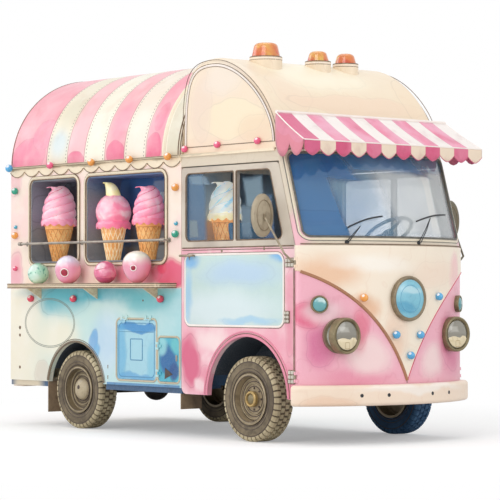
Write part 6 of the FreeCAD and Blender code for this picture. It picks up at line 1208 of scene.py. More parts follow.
def side_stud_rows():
    """Studs along the gutter, the pillars and under the counter."""
    gutter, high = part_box("gutter_fascia")[0].y, GUTTER - 0.010
    rear, seam, low = REAR + 0.084, SEAM - 0.066, COUNTER_LOW.z + 0.002
    for name, kind, places, y, radius in (
            # name, colour, places, Y of the surface, radius
            ("gutter_blue", "blue", [(REAR + 0.035, high)], gutter, 0.034),
            ("gutter_pink", "pink", [(-1.40, high)], gutter, 0.031),
            ("gutter_orange", "orange", [(-0.80, high), (-0.27, high), (0.24, high)], gutter, 0.032),
            ("pillar_green", "green", [(rear, 2.038), (seam + 0.010, 1.618)], -HALF, 0.031),
            ("pillar_orange", "orange", [(rear, 1.649), (seam + 0.010, 1.990)], -HALF, 0.031),
            ("pillar_blue", "teal", [(rear, 1.723), (seam + 0.010, 1.702)], -HALF, 0.017),
            ("pillar_rose", "pink", [(rear, 1.360)], -HALF, 0.022),
            ("counter_red", "red", [(-1.722, low), (-1.089, low), (0.1125, low)], -HALF, 0.031)):
        stud_row(name + "_studs", kind, side_studs(places, y), radius)


def rail_details():
    """Collars on the guard bar."""
    form, (low, high) = Form(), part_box("serving_rail")
    y, z = -HALF - RAIL_OUT, (low.z + high.z) / 2
    for x in (low.x + 0.034, -0.918, high.x - 0.031):
        form.lathe([(0.010, -0.016), (0.017, -0.014), (0.017, 0.014), (0.010, 0.016)], at(x, y, z), X, 18)
    form.piece("rail_collars", STEEL, slot="tube_steel")


for make in (box_trims, scallops, window_trims, display_cones, counter_treats, counter_trims, side_details,
             hatch_details, sills_and_arches, side_stud_rows, rail_details):
    make()


# ---------------------------------------------------------------- cab

def door_front(z):
    """Front edge of the door, which leans back with the pillar above the belt."""
    return DOOR_HIGH.x - max(z - BELT, 0) * LEAN


def widened(corners, by):
    """The door panel's (x, z, radius) corners moved outwards."""
    return [(a - by * (1 if a < 1 else -1), b - by * (1 if b < 1 else -1), radius + by) for a, b, radius in corners]


def door_trims():
    """Inset panel with its rim, window gaskets, belt beads, hinge blocks and small screws, on both doors."""
    for word, sign in SIDES:
        body, out, y = "door_" + word, Y * sign, sign * HALF
        rim, line, panel, gasket, beads, screws, blocks, plates, rod = forms(9)
        corners = [(0.415, 0.890, 0.065), (1.610, 0.890, 0.065), (1.610, 1.448, 0.075), (0.415, 1.448, 0.055)]
        rim.sweep(on_side(rounded(corners, 8), y), out, section_band(0.017, -0.002, 0.007), True)
        line.sweep(on_side(rounded(widened(corners, 0.011), 8), y), out, section_band(0.005, -0.001, 0.003), True)
        line.piece("door_panel_line_" + word, UMBER, body, "trim_cream")
        panel.pillow(on_side(rounded(widened(corners, -0.009), 8), y), out,
                     [(0, -0.001), (0, 0.0015), (0.004, 0.0025)])
        rim.piece("door_panel_rim_" + word, WHITE_TRIM, body, "body_pink")
        panel.piece("door_panel_" + word, PANEL_BLUE, body, "body_aqua")
        low, high, inset = 1.556, 2.092, 0.118
        for outline in ([(0.420, low, 0.045), (1.015, low, 0.012), (1.015, high, 0.012), (0.420, high, 0.045)],
                        [(1.045, low, 0.012), (door_front(low) - inset, low, 0.045),
                         (door_front(high) - inset, high, 0.045), (1.045, high, 0.012)]):
            gasket.sweep(on_side(rounded(outline, 6), y), out, section_band(0.010, -0.004, 0.005), True)
        gasket.piece("door_gaskets_" + word, UMBER, body, "rubber_black")
        path = [at(DOOR_LOW.x + 0.012, y, BELT - 0.020), at(DOOR_HIGH.x - 0.012, y, BELT - 0.020)]
        beads.sweep(path, out, section_band(0.006, -0.001, 0.003, 0.3))
        beads.sweep([p + Z * 0.018 for p in path], out, section_band(0.010, -0.001, 0.005))
        beads.piece("door_belt_beads_" + word, UMBER, body, "trim_cream")
        for x, z in ((0.873, BELT - 0.030), (1.383, BELT - 0.020)):
            screws.dome(at(x, y, z), out, 0.011, 0.006, 14, 3)
        screws.pillow(on_side([(0.452, 1.455), (0.488, 1.455), (0.470, 1.405)], y)[::sign], out,
                      [(0, -0.001), (0, 0.004), (0.003, 0.006)])
        screws.piece("door_screws_" + word, BRONZE, body, "bronze")
        for x, z, columns, rows, size in ((1.688, 1.375, 3, 2, 0.034), (1.650, 0.965, 2, 3, 0.030),
                                          (1.705, 0.515, 2, 3, 0.034)):
            for i in range(columns):
                for j in range(rows):
                    corner = at(x + (i - columns / 2) * size, y + sign * 0.001, z + (j - rows / 2) * size)
                    blocks.block(corner + at(0.003, min(0, sign * 0.016), 0.003),
                                 corner + at(size - 0.003, max(0, sign * 0.016), size - 0.003), 0.004)
            reach, rise = columns * size / 2 + 0.002, rows * size / 2 + 0.002
            plates.block(at(x - reach, y + min(0, sign * 0.007), z - rise),
                         at(x + reach, y + max(0, sign * 0.007), z + rise), 0.002)
        blocks.piece("door_hinge_blocks_" + word, HINGE_GREY, body, "bronze")
        plates.piece("door_hinge_plates_" + word, UMBER, body, "bronze")
        rod.tube([at(DOOR_HIGH.x - 0.008, y + sign * 0.004, z) for z in (0.56, 1.33)], 0.0045)
        rod.piece("door_rod_" + word, UMBER, body, "bronze")


def arch_lips():
    """Double rose lips round the front wheel arches, on the doors."""
    wheel = WHEELS["front", "right"]
    for word, sign in SIDES:
        y, out = sign * HALF, Y * sign
        lip, line = forms(2)
        reach = DOOR_HIGH.x - wheel.x
        for radius, width, rise, form in ((0.490, 0.022, 0.010, lip), (0.520, 0.014, 0.007, lip),
                                          (0.505, 0.005, 0.004, line)):
            start = math.degrees(math.asin((DOOR_LOW.z - wheel.z + 0.002) / radius)) + 0.4
            ahead = max(math.degrees(math.acos(min(1, (reach - 0.003) / radius))), start)
            path = [at(a, y, b) for a, b in arc((wheel.x, wheel.z), radius, ahead, 180 - start, 56)]
            form.sweep(path, out, section_band(width, -0.002, rise))
        lip.piece("door_arch_lip_" + word, PINK_TRIM, "door_" + word, "body_pink")
        line.piece("door_arch_line_" + word, UMBER, "door_" + word, "trim_cream")


def mirror_details():
    """Reflecting face, rim lines and clamp of the mirrors, and caps on the door hinges."""
    for word, sign in SIDES:
        body = "door_" + word
        rim, glass, cap = forms(3)
        middle = at(MIRROR_PLACE[0], sign * MIRROR_PLACE[1], MIRROR_PLACE[2])
        for x, share in ((0.0225, 0.70), (-0.0225, 0.90)):
            rim.tube(circle(middle + X * x, Y * (0.100 * share), Z * (0.165 * share), 44), 0.004, True)
        face = circle(middle + X * -0.022, Y * 0.084, Z * 0.148, 44)
        glass.pillow(face, -X, [(0, -0.002), (0, 0.001), (0.006, 0.002)])
        rim.tube([middle + at(0.026, 0, 0.012), middle + at(0.026, 0, -0.030)], 0.011)
        rim.piece("mirror_rim_" + word, BRONZE, body, "bronze")
        glass.piece("mirror_face_" + word, MIRROR, body, "lamp_glass")
        for z, up in ((1.335, -Z), (1.415, Z), (0.475, -Z), (0.555, Z)):
            cap.dome(at(DOOR_HIGH.x + 0.008, sign * (HALF + 0.009), z), up, 0.008, 0.004, 12, 3)
        cap.piece("hinge_caps_" + word, HINGE_GREY, "body", "bronze")


def cab_roof_trims():
    """Piping and lines round the arched side panels and along the drip line, with studs below."""
    piping, line = forms(2)
    for inset, width, rise, form in ((0.060, 0.014, 0.006, piping), (0.048, 0.004, 0.003, line),
                                     (0.072, 0.004, 0.003, line), (0.018, 0.005, 0.003, line)):
        form.sweep(on_side(arch(inset, 0.052), -HALF), -Y, section_band(width, -0.002, rise))
    for z, width in ((GUTTER + 0.052, 0.006), (GUTTER - 0.004, 0.010)):
        line.sweep([at(DOOR_LOW.x + 0.012, -HALF, z), at(ROOF_HIGH.x - 0.030, -HALF, z)], -Y,
                   section_band(width, -0.001, 0.005))
    piping.mirrored().piece("arch_piping", WHITE_TRIM)
    line.mirrored().piece("arch_lines", UMBER)
    stud_row("arch_studs", "pink", side_studs([(0.424, 2.290), (0.834, 2.305), (1.322, 2.310)]), 0.028)


def beacon_trims():
    """Rings at the beacons' feet."""
    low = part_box("beacon_domes")[0]
    light, dark = forms(2)
    for y, radius in BEACONS:
        middle = at(low.x + 0.1159, y, low.z)
        for rise, grow, thick, form in ((0.004, 0.000, 0.005, dark), (-0.020, 0.001, 0.005, dark),
                                        (-0.009, 0.001, 0.007, light)):
            reach = radius + grow - thick
            form.tube(circle(middle + Z * rise, X * reach, Y * reach, 40), thick, True)
    light.piece("beacon_light_rings", WHITE_TRIM)
    dark.piece("beacon_dark_rings", UMBER)


def front_path(points, grow=0.0):
    """Points and normals on the cab's front through (y, z) pairs."""
    pairs = [front(y, z, grow) for y, z in points]
    return [p for p, _ in pairs], [n for _, n in pairs]


def fine(points, step):
    """Adds points along the straight parts of a list of pairs."""
    result = [points[0]]
    for (a, b), (c, d) in zip(points, points[1:]):
        count = max(1, round(math.hypot(c - a, d - b) / step))
        result += [(a + (c - a) * i / count, b + (d - b) * i / count) for i in range(1, count + 1)]
    return result


def windscreen():
    """Gasket and mouldings round the windscreen, the belt line and the parked wipers."""
    gasket, pale, line, arms = forms(4)
    low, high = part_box("windscreen_glass")
    for grow, width, rise, radius, form in ((0.0, 0.016, 0.008, 0.050, gasket), (0.020, 0.016, 0.005, 0.066, pale),
                                            (0.031, 0.005, 0.003, 0.076, gasket)):
        corners = box_outline(low.y - grow, high.y + grow, low.z - grow, high.z + grow, radius, 6)
        form.sweep(*front_path(fine(corners + corners[:1], 0.04)[:-1]), section_band(width, -0.006, rise), True)
    gasket.piece("windscreen_gasket", dark_line("gasket_grey", "#5B5A55", 0.5), slot="rubber_black")
    pale.piece("windscreen_moulding", CREAM_TRIM)
    path, normals = front_path(fine([(-0.845, BELT + 0.010), (0.845, BELT + 0.010)], 0.05))
    line.sweep([p + n * 0.006 for p, n in zip(path, normals)], normals, section_band(0.006, -0.008, 0.003, 0.3))
    line.piece("belt_line", UMBER)
    for pivot, hold, start, end in (((-0.525, 1.528), (-0.405, 1.645), (-0.502, 1.636), (-0.196, 1.725)),
                                    ((0.139, 1.530), (0.326, 1.721), (0.149, 1.693), (0.586, 1.756))):
        (base, normal), (grip, away) = front(*pivot), front(*hold)
        arms.dome(base, normal, 0.018, 0.014, 14, 4)
        for side in (-0.012, 0.012):
            arms.tube([base + normal * 0.014 + Y * side, base.lerp(grip, 0.5) + away * 0.026 + Y * side * 0.6,
                       grip + away * 0.022], 0.0035)
        blade = []
        for i in range(9):
            share = i / 8
            point, normal = front(start[0] + (end[0] - start[0]) * share,
                                  start[1] + (end[1] - start[1]) * share + 0.016 * math.sin(math.pi * share))
            blade.append(point + normal * 0.016)
        arms.tube(blade, 0.0065)
    arms.piece("wipers", RUBBER, slot="rubber_black")


def through(first, middle, last, steps):
    """Pairs along the circular arc through three points."""
    (a, b), (c, d), (e, f) = first, middle, last
    scale = 2 * (a * (d - f) + c * (f - b) + e * (b - d))
    squares = a * a + b * b, c * c + d * d, e * e + f * f
    x = (squares[0] * (d - f) + squares[1] * (f - b) + squares[2] * (b - d)) / scale
    y = (squares[0] * (e - c) + squares[1] * (a - e) + squares[2] * (c - a)) / scale
    start, end = math.degrees(math.atan2(b - y, a - x)), math.degrees(math.atan2(f - y, e - x))
    end += 360 * round((start - end) / 360)
    return arc((x, y), math.hypot(a - x, b - y), start, end, steps)


def nose_trims():
    """Edge trims of the V panel, its seam to the bumper, the badge's rings and the panel's studs."""
    edge = through((-0.880, 1.320), (-0.300, 0.940), (0.0, 0.482), 40)
    near_edge_shade = washed("v_edge_painted_shade", "#A9744F", mottle=0.2, shade="#6E4A2C")
    red = washed("v_edge_red", "#D04460", mottle=0.2, shade="#8E1F38")
    # The near edge is a wide brown band of painted shade; the far edge is a thin red line.
    for word, pairs, paint, width in (("near", edge, near_edge_shade, 0.026),
                                      ("far", [(-y, z) for y, z in edge[::-1]], red, 0.014)):
        form = Form()
        form.sweep(*front_path([p for p in pairs if abs(p[0]) < 0.872], 0.007), section_band(width, -0.010, 0.005))
        form.piece("v_edge_" + word, paint)
    seam, rim, inner, disc = forms(4)
    seam.sweep(*front_path([(0.0, 0.478), (0.0, 0.462)]), section_band(0.006, -0.002, 0.003, 0.3))
    seam.piece("v_seam", UMBER)
    middle = at(BADGE_HIGH.x, 0, (BADGE_LOW.z + BADGE_HIGH.z) / 2)
    rim.lathe([(0.158, -0.034), (0.172, -0.030), (0.174, -0.004), (0.171, 0.004), (0.163, 0.007), (0.152, 0.006),
               (0.146, 0.001), (0.146, -0.006)], middle, X, 56)
    rim.lathe([(0.151, 0.0055), (0.154, 0.0085), (0.157, 0.0055), (0.154, 0.004)], middle, X, 56)
    rim.piece("badge_rim", BRONZE, slot="bronze")
    disc.lathe([(0.0005, 0.010), (0.080, 0.0085), (0.130, 0.004), (0.146, 0.0005), (0.146, -0.004)], middle, X, 48)
    disc.piece("badge_disc", BADGE_BLUE, slot="lamp_glass")
    inner.lathe([(0.100, 0.0055), (0.103, 0.0085), (0.106, 0.0055), (0.103, 0.003)], middle, X, 44)
    inner.piece("badge_inner_ring", washed("badge_line", "#4F9DBF", mottle=0.15, shade="#2F7396"))
    for name, kind, places in (("v_blue", "blue", [(0.362, 1.119), (-0.127, 0.829), (0.126, 0.826), (0.018, 0.670)]),
                               ("v_orange", "orange", [(-0.408, 1.111)])):
        stud_row(name + "_studs", kind, [front(y, z, 0.008) for y, z in places], 0.031)


def lamps():
    """Deep rims, two-tone lenses and reflectors of the headlamps and the marker lamps."""
    rims, glass, cream, mark, markers, marker_glass = forms(6)
    for sign in (-1, 1):
        face = at(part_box("lamp_bodies")[1].x - 0.004, sign * HEADLAMP[0], HEADLAMP[1])
        rims.lathe([(0.122, -0.060), (0.137, -0.052), (0.138, -0.006), (0.135, 0.006), (0.127, 0.010), (0.118, 0.006),
                    (0.113, -0.002), (0.113, -0.012)], face, X, 48)
        rims.lathe([(0.1085, 0.001), (0.111, 0.005), (0.1135, 0.001), (0.111, -0.003)], face, X, 48)
        glass.lathe([(0.0005, 0.006), (0.040, 0.0055), (0.075, 0.0035), (0.102, -0.001), (0.110, -0.005)],
                    face, X, 40)
        outline = [(0.104 * math.cos(math.radians(a)), 0.104 * math.sin(math.radians(a))) for a in range(196, 345, 8)]
        outline += [(0.085, -0.016), (0.052, -0.012), (0.030, -0.024), (0.0, -0.018), (-0.034, -0.012),
                    (-0.070, -0.020)]
        cream.pillow([face + at(0.0015, a, b) for a, b in outline], X, [(0, -0.004), (0, 0.003), (0.010, 0.0052)])
        mark.sweep([face + at(0.0062, a, b) for a, b in box_outline(-0.022, 0.022, -0.096, -0.050, 0.004, 2)], X,
                   section_band(0.003, -0.002, 0.0016, 0.3), True)
        point, normal = front(sign * MARKER_LAMP[0], MARKER_LAMP[1])
        face = point + normal * 0.030
        markers.lathe([(0.052, -0.036), (0.066, -0.032), (0.068, -0.004), (0.065, 0.003), (0.057, 0.004),
                       (0.054, -0.002), (0.053, -0.008)], face, normal, 36)
        marker_glass.lathe([(0.0005, 0.013), (0.026, 0.011), (0.044, 0.005), (0.053, -0.002), (0.053, -0.008)],
                           face, normal, 32)
    rims.piece("headlamp_rims", OLIVE, slot="bronze")
    glass.piece("headlamp_glass", LENS, slot="lamp_glass")
    lower = washed("lens_cream", "#E3D3AE", mottle=0.2, shade="#A99467", rough=0.15, coat=0.6)
    cream.piece("headlamp_lower_lenses", lower, slot="lamp_glass")
    mark.piece("headlamp_marks", washed("lens_line", "#A58B55", mottle=0.1), slot="lamp_glass")
    markers.piece("marker_rims", OLIVE, slot="bronze")
    marker_glass.piece("marker_glass", TEAL_GLASS, slot="lamp_glass")


def bumper_details():
    """Dark plugs in the front bumper's holes."""
    plugs = Form()
    for y in BUMPER_HOLES:
        point, out = front(y, BUMPER_HOLE_HEIGHT, 0.063)
        plugs.lathe([(0.0005, -0.0005), (0.008, -0.001), (0.0135, 0.001), (0.0145, -0.001), (0.0145, -0.012)],
                    point, out, 20)
    plugs.piece("bumper_hole_plugs", RUBBER, slot="bumper_cream")


def rear_details():
    """Surround and mouldings of the rear door and rims round the tail lamps."""
    surround, trim, rims = forms(3)
    outline = [at(REAR, a, b) for a, b in box_outline(-0.395, 0.395, 0.545, 2.175, 0.030, 5)]
    surround.sweep(outline, -X, section_band(0.022, -0.001, 0.008), True)
    surround.piece("rear_door_surround", CREAM_TRIM)
    for corners, width, rise in (((-0.270, 0.290, 1.480, 2.060), 0.014, 0.006),
                                 ((-0.290, 0.290, 0.680, 1.330), 0.012, 0.005)):
        trim.sweep([at(REAR, a, b) for a, b in box_outline(*corners, 0.060, 6)], -X,
                   section_band(width, -0.001, rise), True)
    trim.piece("rear_door_mouldings", WHITE_TRIM, "rear_door")
    lamps_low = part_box("lamp_bodies")[0].x
    for sign in (-1, 1):
        for y, z in TAIL_LAMPS:
            rims.lathe([(0.040, -0.006), (0.046, -0.004), (0.046, 0.004), (0.040, 0.008), (0.034, 0.004)],
                       at(lamps_low + 0.004, sign * y, z), -X, 28)
    rims.piece("tail_lamp_rims", BRONZE, slot="bronze")


# ---------------------------------------------------------------- wheels

LUG_PITCH = 40  # lugs round one side of a tyre
LUGS = (
    # half angle, outline as (radius, half width) pairs: shoulder lug, centre lug
    (0.058, [(0.292, 0.0895), (0.312, 0.0870), (0.3275, 0.072), (0.3295, 0.046), (0.3185, 0.046), (0.3185, 0.064),
             (0.305, 0.078), (0.290, 0.084)]),
    (0.050, [(0.3185, 0.037), (0.3297, 0.037), (0.3297, 0.006), (0.3185, 0.006)]),
)


def around(radius, angle, along):
    """A point turned about the axles' direction."""
    return at(radius * math.cos(angle), along, radius * math.sin(angle))


def tyre(place, word):
    """A tyre with rounded shoulders, sidewall rings and blocky lugs, standing for the CAD tyre."""
    middle = WHEELS[place, word]
    low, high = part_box("tyre_%s_%s" % (place, word))
    scale = (high.y - low.y) / 2 / 0.095
    carcass, lines, lugs = forms(3)
    half = [(0.1905, 0.066), (0.200, 0.078), (0.222, 0.087), (0.252, 0.0915), (0.280, 0.091), (0.301, 0.086),
            (0.314, 0.078), (0.3195, 0.066), (0.3205, 0.030)]
    profile = [(r, -a) for r, a in half] + half[::-1]
    turns = [math.tau * j / 96 for j in range(96)]
    carcass.rows([[middle + around(r, turn, a * scale) for r, a in profile] for turn in turns], ring=True)
    for side in (-1, 1):
        for radius, along, thick in ((0.212, 0.0840, 0.003), (0.236, 0.0898, 0.0025), (0.286, 0.0905, 0.003)):
            lines.tube(circle(middle + Y * (side * along * scale), X * radius, Z * radius, 72), thick, True)
    for k in range(LUG_PITCH):
        for side in (-1, 1):
            for number, (reach, shape) in enumerate(LUGS):
                turn = math.tau / LUG_PITCH * (k + (0.5 if (number + (side > 0)) % 2 else 0))
                lugs.rows([[middle + around(r, turn + spin, side * a * scale) for r, a in shape]
                           for spin in (-reach, reach)])
    body = "wheel_%s_%s" % (place, word)
    # the far front tyre and its tread get dark blue rubber as painted shade
    far_front = (place, word) == ("front", "left")
    rubber = carcass.piece("carcass_%s_%s" % (place, word), SHADED_FAR_TYRE if far_front else TYRE, body, "tyre")
    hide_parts("tyre_%s_%s" % (place, word))
    lines.piece("tyre_lines_%s_%s" % (place, word), INK, body, "tyre")
    lugs.piece("tread_%s_%s" % (place, word), SHADED_FAR_TREAD if far_front else TREAD, body, "tyre", sharp=25)


def wheels():
    """Tyres, and rings, caps and bolts on the rims."""
    for (place, word), middle in WHEELS.items():
        tyre(place, word)
        sign = -1 if word == "right" else 1
        out = Y * sign
        low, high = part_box("rim_%s_%s" % (place, word))
        face = at(middle.x, low.y if sign < 0 else high.y, middle.z)
        body, name = "wheel_%s_%s" % (place, word), "%s_%s" % (place, word)
        rings, lines, cap, dark = forms(4)
        rings.lathe([(0.178, -0.012), (0.178, 0.000), (0.184, 0.004), (0.191, 0.000), (0.191, -0.010)], face, out, 64)
        plate = face - out * 0.0510
        rows = ((0.168, 0.002, lines), (0.156, 0.004, rings), (0.136, 0.002, lines), (0.118, 0.004, rings),
                (0.098, 0.002, lines))
        if place == "rear":
            rows = (0.164, 0.004, rings), (0.150, 0.002, lines), (0.128, 0.004, rings), (0.112, 0.002, lines)
        for radius, rise, form in rows:
            thick = 0.0055 if form is rings else 0.003
            form.tube(circle(plate + out * rise, X * radius, Z * radius, 64), thick, True)
        lines.tube(circle(face + out * 0.001, X * 0.1775, Z * 0.1775, 64), 0.0025, True)
        if place == "rear":
            cap.lathe([(0.0005, 0.050), (0.030, 0.048), (0.055, 0.042), (0.078, 0.030), (0.091, 0.014),
                       (0.094, 0.002), (0.094, -0.004)], plate + Z * 0.004, out, 56)
            dark.lathe([(0.0005, 0.0510), (0.014, 0.0510), (0.018, 0.049), (0.018, 0.040)],
                       plate + Z * 0.020, out, 24)
            dark.tube(circle(plate + out * 0.004, X * 0.096, Z * 0.096, 48), 0.0035, True)
            cap.piece("hub_cap_" + name, HUB_PALE, body, "rim_bronze")
        else:
            cap.lathe([(0.062, 0.020), (0.062, 0.040), (0.056, 0.047), (0.046, 0.047), (0.042, 0.040),
                       (0.042, 0.020)], plate, out, 48)
            cap.piece("hub_ring_" + name, GOLD, body, "rim_bronze")
            centre = Form()
            centre.lathe([(0.0005, 0.048), (0.020, 0.047), (0.034, 0.041), (0.041, 0.034), (0.041, 0.020)],
                         plate, out, 40)
            centre.piece("hub_centre_" + word, OLIVE, body, "rim_bronze")
            for k in range(8):
                spot = plate + around(0.083, math.tau * k / 8, 0) - out * 0.002
                dark.lathe([(0.0005, 0.010), (0.006, 0.009), (0.009, 0.005), (0.009, -0.004)], spot, out, 6)
        rings.piece("rim_rings_" + name, RIM_LIGHT, body, "rim_bronze")
        lines.piece("rim_lines_" + name, INK, body, "rim_bronze")
        dark.piece("rim_marks_" + name, INK, body, "rim_bronze")


# ---------------------------------------------------------------- awning

def awning():
    """The cloth canopy: one sheet from the roof to the front bar, with cheeks at its ends and a scalloped valance."""
    top_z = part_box("awning_canopy")[1].z
    half, bar_x, bar_z, drop = 0.940, 1.9209, 2.285, 0.110  # half width, place of the front bar, valance's depth
    stripes, rows_down, rows_hang, cheek_rows = 12, 12, 6, 5
    columns, top_x = stripes * 10, ROOF_HIGH.x + 0.012
    grid = []
    for i in range(columns + 1):
        u = i / columns * stripes
        y = half * (2 * i / columns - 1)
        top, bar = at(top_x, y * 0.955, top_z), at(bar_x + 0.013, y, bar_z + 0.004)
        line = []
        for j in range(rows_down + 1):
            t = j / rows_down
            sag = math.sin(t * math.pi) * (0.016 + 0.004 * math.cos(math.tau * u))
            line.append((top.lerp(bar, t) - at(sag * 0.10, 0, sag * 0.35), (u, t)))
        hang = drop * (0.56 + 0.44 * abs(math.sin(math.pi * u)) ** 0.8)
        for j in range(1, rows_hang + 1):
            t = j / rows_hang
            ahead = 0.006 * math.sin(math.tau * u) * t
            line.append((at(bar.x + 0.004 + ahead, y, bar.z - 0.004 - hang * t), (u, 1 + t)))
        grid.append(line)
    points = [p for line in grid for p, _ in line]
    uv = [w for line in grid for _, w in line]
    width = rows_down + rows_hang + 1
    faces = [[i * width + j, (i + 1) * width + j, (i + 1) * width + j + 1, i * width + j + 1]
             for i in range(columns) for j in range(width - 1)]
    for end, sign in ((0, -1), (columns, 1)):
        above = [end * width + j for j in range(rows_down + 1)]
        edge = above
        for k in range(1, cheek_rows + 1):
            below = []
            for j in range(rows_down + 1):
                t, p = j / rows_down, points[edge[j]]
                foot = min(bar_z - 0.004 - drop * (0.15 + 0.85 * abs(math.sin(math.pi * 2 * t)) ** 0.7), p.z)
                below.append(len(points))
                bulge = sign * 0.006 * math.sin(k / cheek_rows * math.pi)
                points.append(p.lerp(at(p.x, p.y, foot), k / cheek_rows) + at(0, bulge, 0))
                uv.append((-0.5 if sign < 0 else stripes + 0.5, 0.3 + 1.7 * k / cheek_rows))
            faces += [[above[j], above[j + 1], below[j + 1], below[j]] for j in range(rows_down)]
            above = below
    mesh = bpy.data.meshes.new("awning_cloth")
    mesh.from_pydata(points, [], faces)
    layer = mesh.uv_layers.new(name="stripes")
    for loop in mesh.loops:
        layer.data[loop.index].uv = uv[loop.vertex_index]
    mesh.shade_smooth()
    cloth = shown(mesh, CLOTH, "body")
    cloth.modifiers.new("thickness", "SOLIDIFY").thickness = 0.0025
    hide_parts("awning_canopy")
    piping, hem = forms(2)
    for line in (grid[0], grid[-1]):
        piping.tube([p for p, _ in line[:rows_down + 1]], 0.005)
    piping.tube([line[rows_down][0] + at(0.004, 0, -0.001) for line in grid], 0.005)
    hem.tube([line[-1][0] for line in grid], 0.0035)
    trims = [piping.piece("awning_piping", WHITE_TRIM, slot="awning_cloth"),
             hem.piece("awning_hem", DEEP_PINK, slot="awning_cloth")]
    rail = Form()
    rail.tube([at(top_x, -half * 0.955, top_z + 0.006), at(top_x, half * 0.955, top_z + 0.006)], 0.012)
    rail.piece("awning_top_rail", WHITE_TRIM, slot="tube_steel")


# ---------------------------------------------------------------- cab inside

def cushion(name, low, high, lean):
    """A crowned, seamed cushion between two corners; lean moves its top back."""
    size = high - low
    mesh = bpy.data.meshes.new(name)
    work = bmesh.new()
    bmesh.ops.create_cube(work, size=1)
    bmesh.ops.subdivide_edges(work, edges=work.edges, cuts=11, use_grid_fill=True)
    thin = min(range(3), key=lambda i: size[i])
    across, along = [i for i in range(3) if i != thin]
    for vert in work.verts:
        p = vert.co * 2
        crown = (1 - abs(p[across]) ** 3) * (1 - abs(p[along]) ** 3)
        channel = math.cos(p[across] * 3 * math.pi) * 0.5 + 0.5
        q = p.copy()
        q[thin] = p[thin] * (0.62 + 0.36 * crown ** 0.6) * (1 - 0.10 * (1 - channel) * crown)
        for i in (across, along):
            q[i] *= 1 - 0.05 * p[thin] ** 2
        q *= 1 + noise.noise(Vector(p) * 1.8 + low * 9) * 0.012
        place = low + Vector([(q[i] * 0.97 + 1) / 2 * size[i] for i in range(3)])
        place.x -= lean * (place.z - low.z) / size.z
        vert.co = place
    work.to_mesh(mesh)
    work.free()
    mesh.shade_smooth()
    obj = shown(mesh, LEATHER, "body")
    modifier = obj.modifiers.new("smooth", "SUBSURF")
    modifier.levels = modifier.render_levels = 1
    return obj


def seats():
    """Padded seats standing for the CAD ones."""
    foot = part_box("seats")[0].z
    for sign, word in ((-1, "right"), (1, "left")):
        y = sign * 0.440
        base = Form().block(at(0.870, y - 0.175, foot), at(1.250, y + 0.175, 0.965), 0.010)
        base.piece("seat_base_" + word, RUBBER, slot="seat_leather")
        block = cushion("seat_cushion_" + word, at(0.842, y - 0.203, 0.962), at(1.308, y + 0.203, 1.079), 0.0)
        cushion("seat_rest_" + word, at(0.765, y - 0.203, 1.070), at(0.838, y + 0.203, 1.716), 0.120)
    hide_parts("seats")


def steering():
    """A boss on the steering wheel."""
    lean = math.radians(35)
    boss = Form()
    boss.dome(at(1.540, 0.290, 1.620), at(-math.sin(lean), 0, math.cos(lean)), 0.035, 0.018, 24, 5)
    boss.piece("steering_boss", INK, "steering_wheel", "rubber_black")


PANEL_BLUE = washed("door_panel_blue", "#C2DAD6", [
    ("#DDECEF", (0.90, -HALF, 1.00), (0.60, 2.2, 0.16), 0.6, 0.9, 0),
    ("#6FB1E4", (0.47, -HALF, 1.41), (0.10, 2.2, 0.05), 0.6, 0.9, 0.15),
    ("#6FB1E4", (1.56, -HALF, 1.42), (0.09, 2.2, 0.04), 0.6, 0.9, 0.15),
    ("#B5D0EA", (1.10, -HALF, 1.30), (0.42, 2.2, 0.10), 0.6, 0.8, 0.1),
    ("#9CCBEA", (0.45, -HALF, 1.12), (0.05, 2.2, 0.22), 0.6, 0.8, 0),
    ("#A6D2EC", (1.20, -HALF, 0.915), (0.32, 2.2, 0.03), 0.5, 0.8, 0.15)],
    mottle=0.06, shade="#9CC4E4")
MIRROR = metal("mirror_silver", "#C9CDD0", 0.08, "#8A8E92", 0.9)
HINGE_GREY = washed("hinge_grey", "#CFC9BC", mottle=0.15, shade="#8F867A", scale=20)
OLIVE = metal("olive_bronze", "#8D8061", 0.42, "#4A4230", 0.4)
RIM_LIGHT = metal("rim_light", "#A6977B", 0.42, "#5E5039", 0.3)
BADGE_BLUE = washed("badge_disc_paint", "#7CC3D8", [
    ("#4FA3C6", (2.08, -0.05, 1.03), (0.1, 0.10, 0.05), 0.4, 0.8, 0.2),
    ("#BFE3EC", (2.08, 0.02, 1.19), (0.1, 0.10, 0.03), 0.5, 0.8, 0)],
    mottle=0.16, shade="#3F8DB5", scale=9, rough=0.18, coat=0.7)
# The pale streaks on the headlamp and marker lenses are painted highlights.
LENS = glass_paint("headlamp_lens", "#8E8A7E", "#A9A69B", [
    ("#C9C6BC", (1.98, -0.62, 0.88), (0.2, 0.04, 0.02), 0.35, 0.6, 0),
    ("#C9C6BC", (1.98, 0.55, 0.88), (0.2, 0.04, 0.02), 0.35, 0.6, 0)], 0.95, 0.08)
TEAL_GLASS = glass_paint("marker_lens", "#4F98A0", "#7FC0C2",
                         [("#CFE9E6", (1.86, -0.74, 1.085), (0.1, 0.03, 0.02), 0.4, 0.8, 0)], 0.95, 0.08)
TYRE = rubber_paint("tyre_rubber", "#5E5242", "#85775F", "#3E372E")
TREAD = rubber_paint("tread_rubber", "#A99A7B", "#C9BB9A", "#7C6E56")
# dark blue rubber for the far front tyre: painted shade
SHADED_FAR_TYRE = rubber_paint("far_tyre_painted_shade", "#24486A", "#34587C", "#1C3450")
SHADED_FAR_TREAD = rubber_paint("far_tread_painted_shade", "#2C5378", "#4A7196", "#1F3C5A")
HUB_PALE = washed("hub_pale", "#B9A98A", mottle=0.25, shade="#75664E", scale=14)
GOLD = metal("hub_gold", "#CDAF74", 0.35, "#7D6236", 0.5)
CLOTH = cloth_paint()
LEATHER = leather_paint()

for make in (door_trims, arch_lips, mirror_details, cab_roof_trims, beacon_trims, windscreen, nose_trims, lamps,
             bumper_details, rear_details, wheels, awning, seats, steering):
    make()


# ---------------------------------------------------------------- camera, light and floor

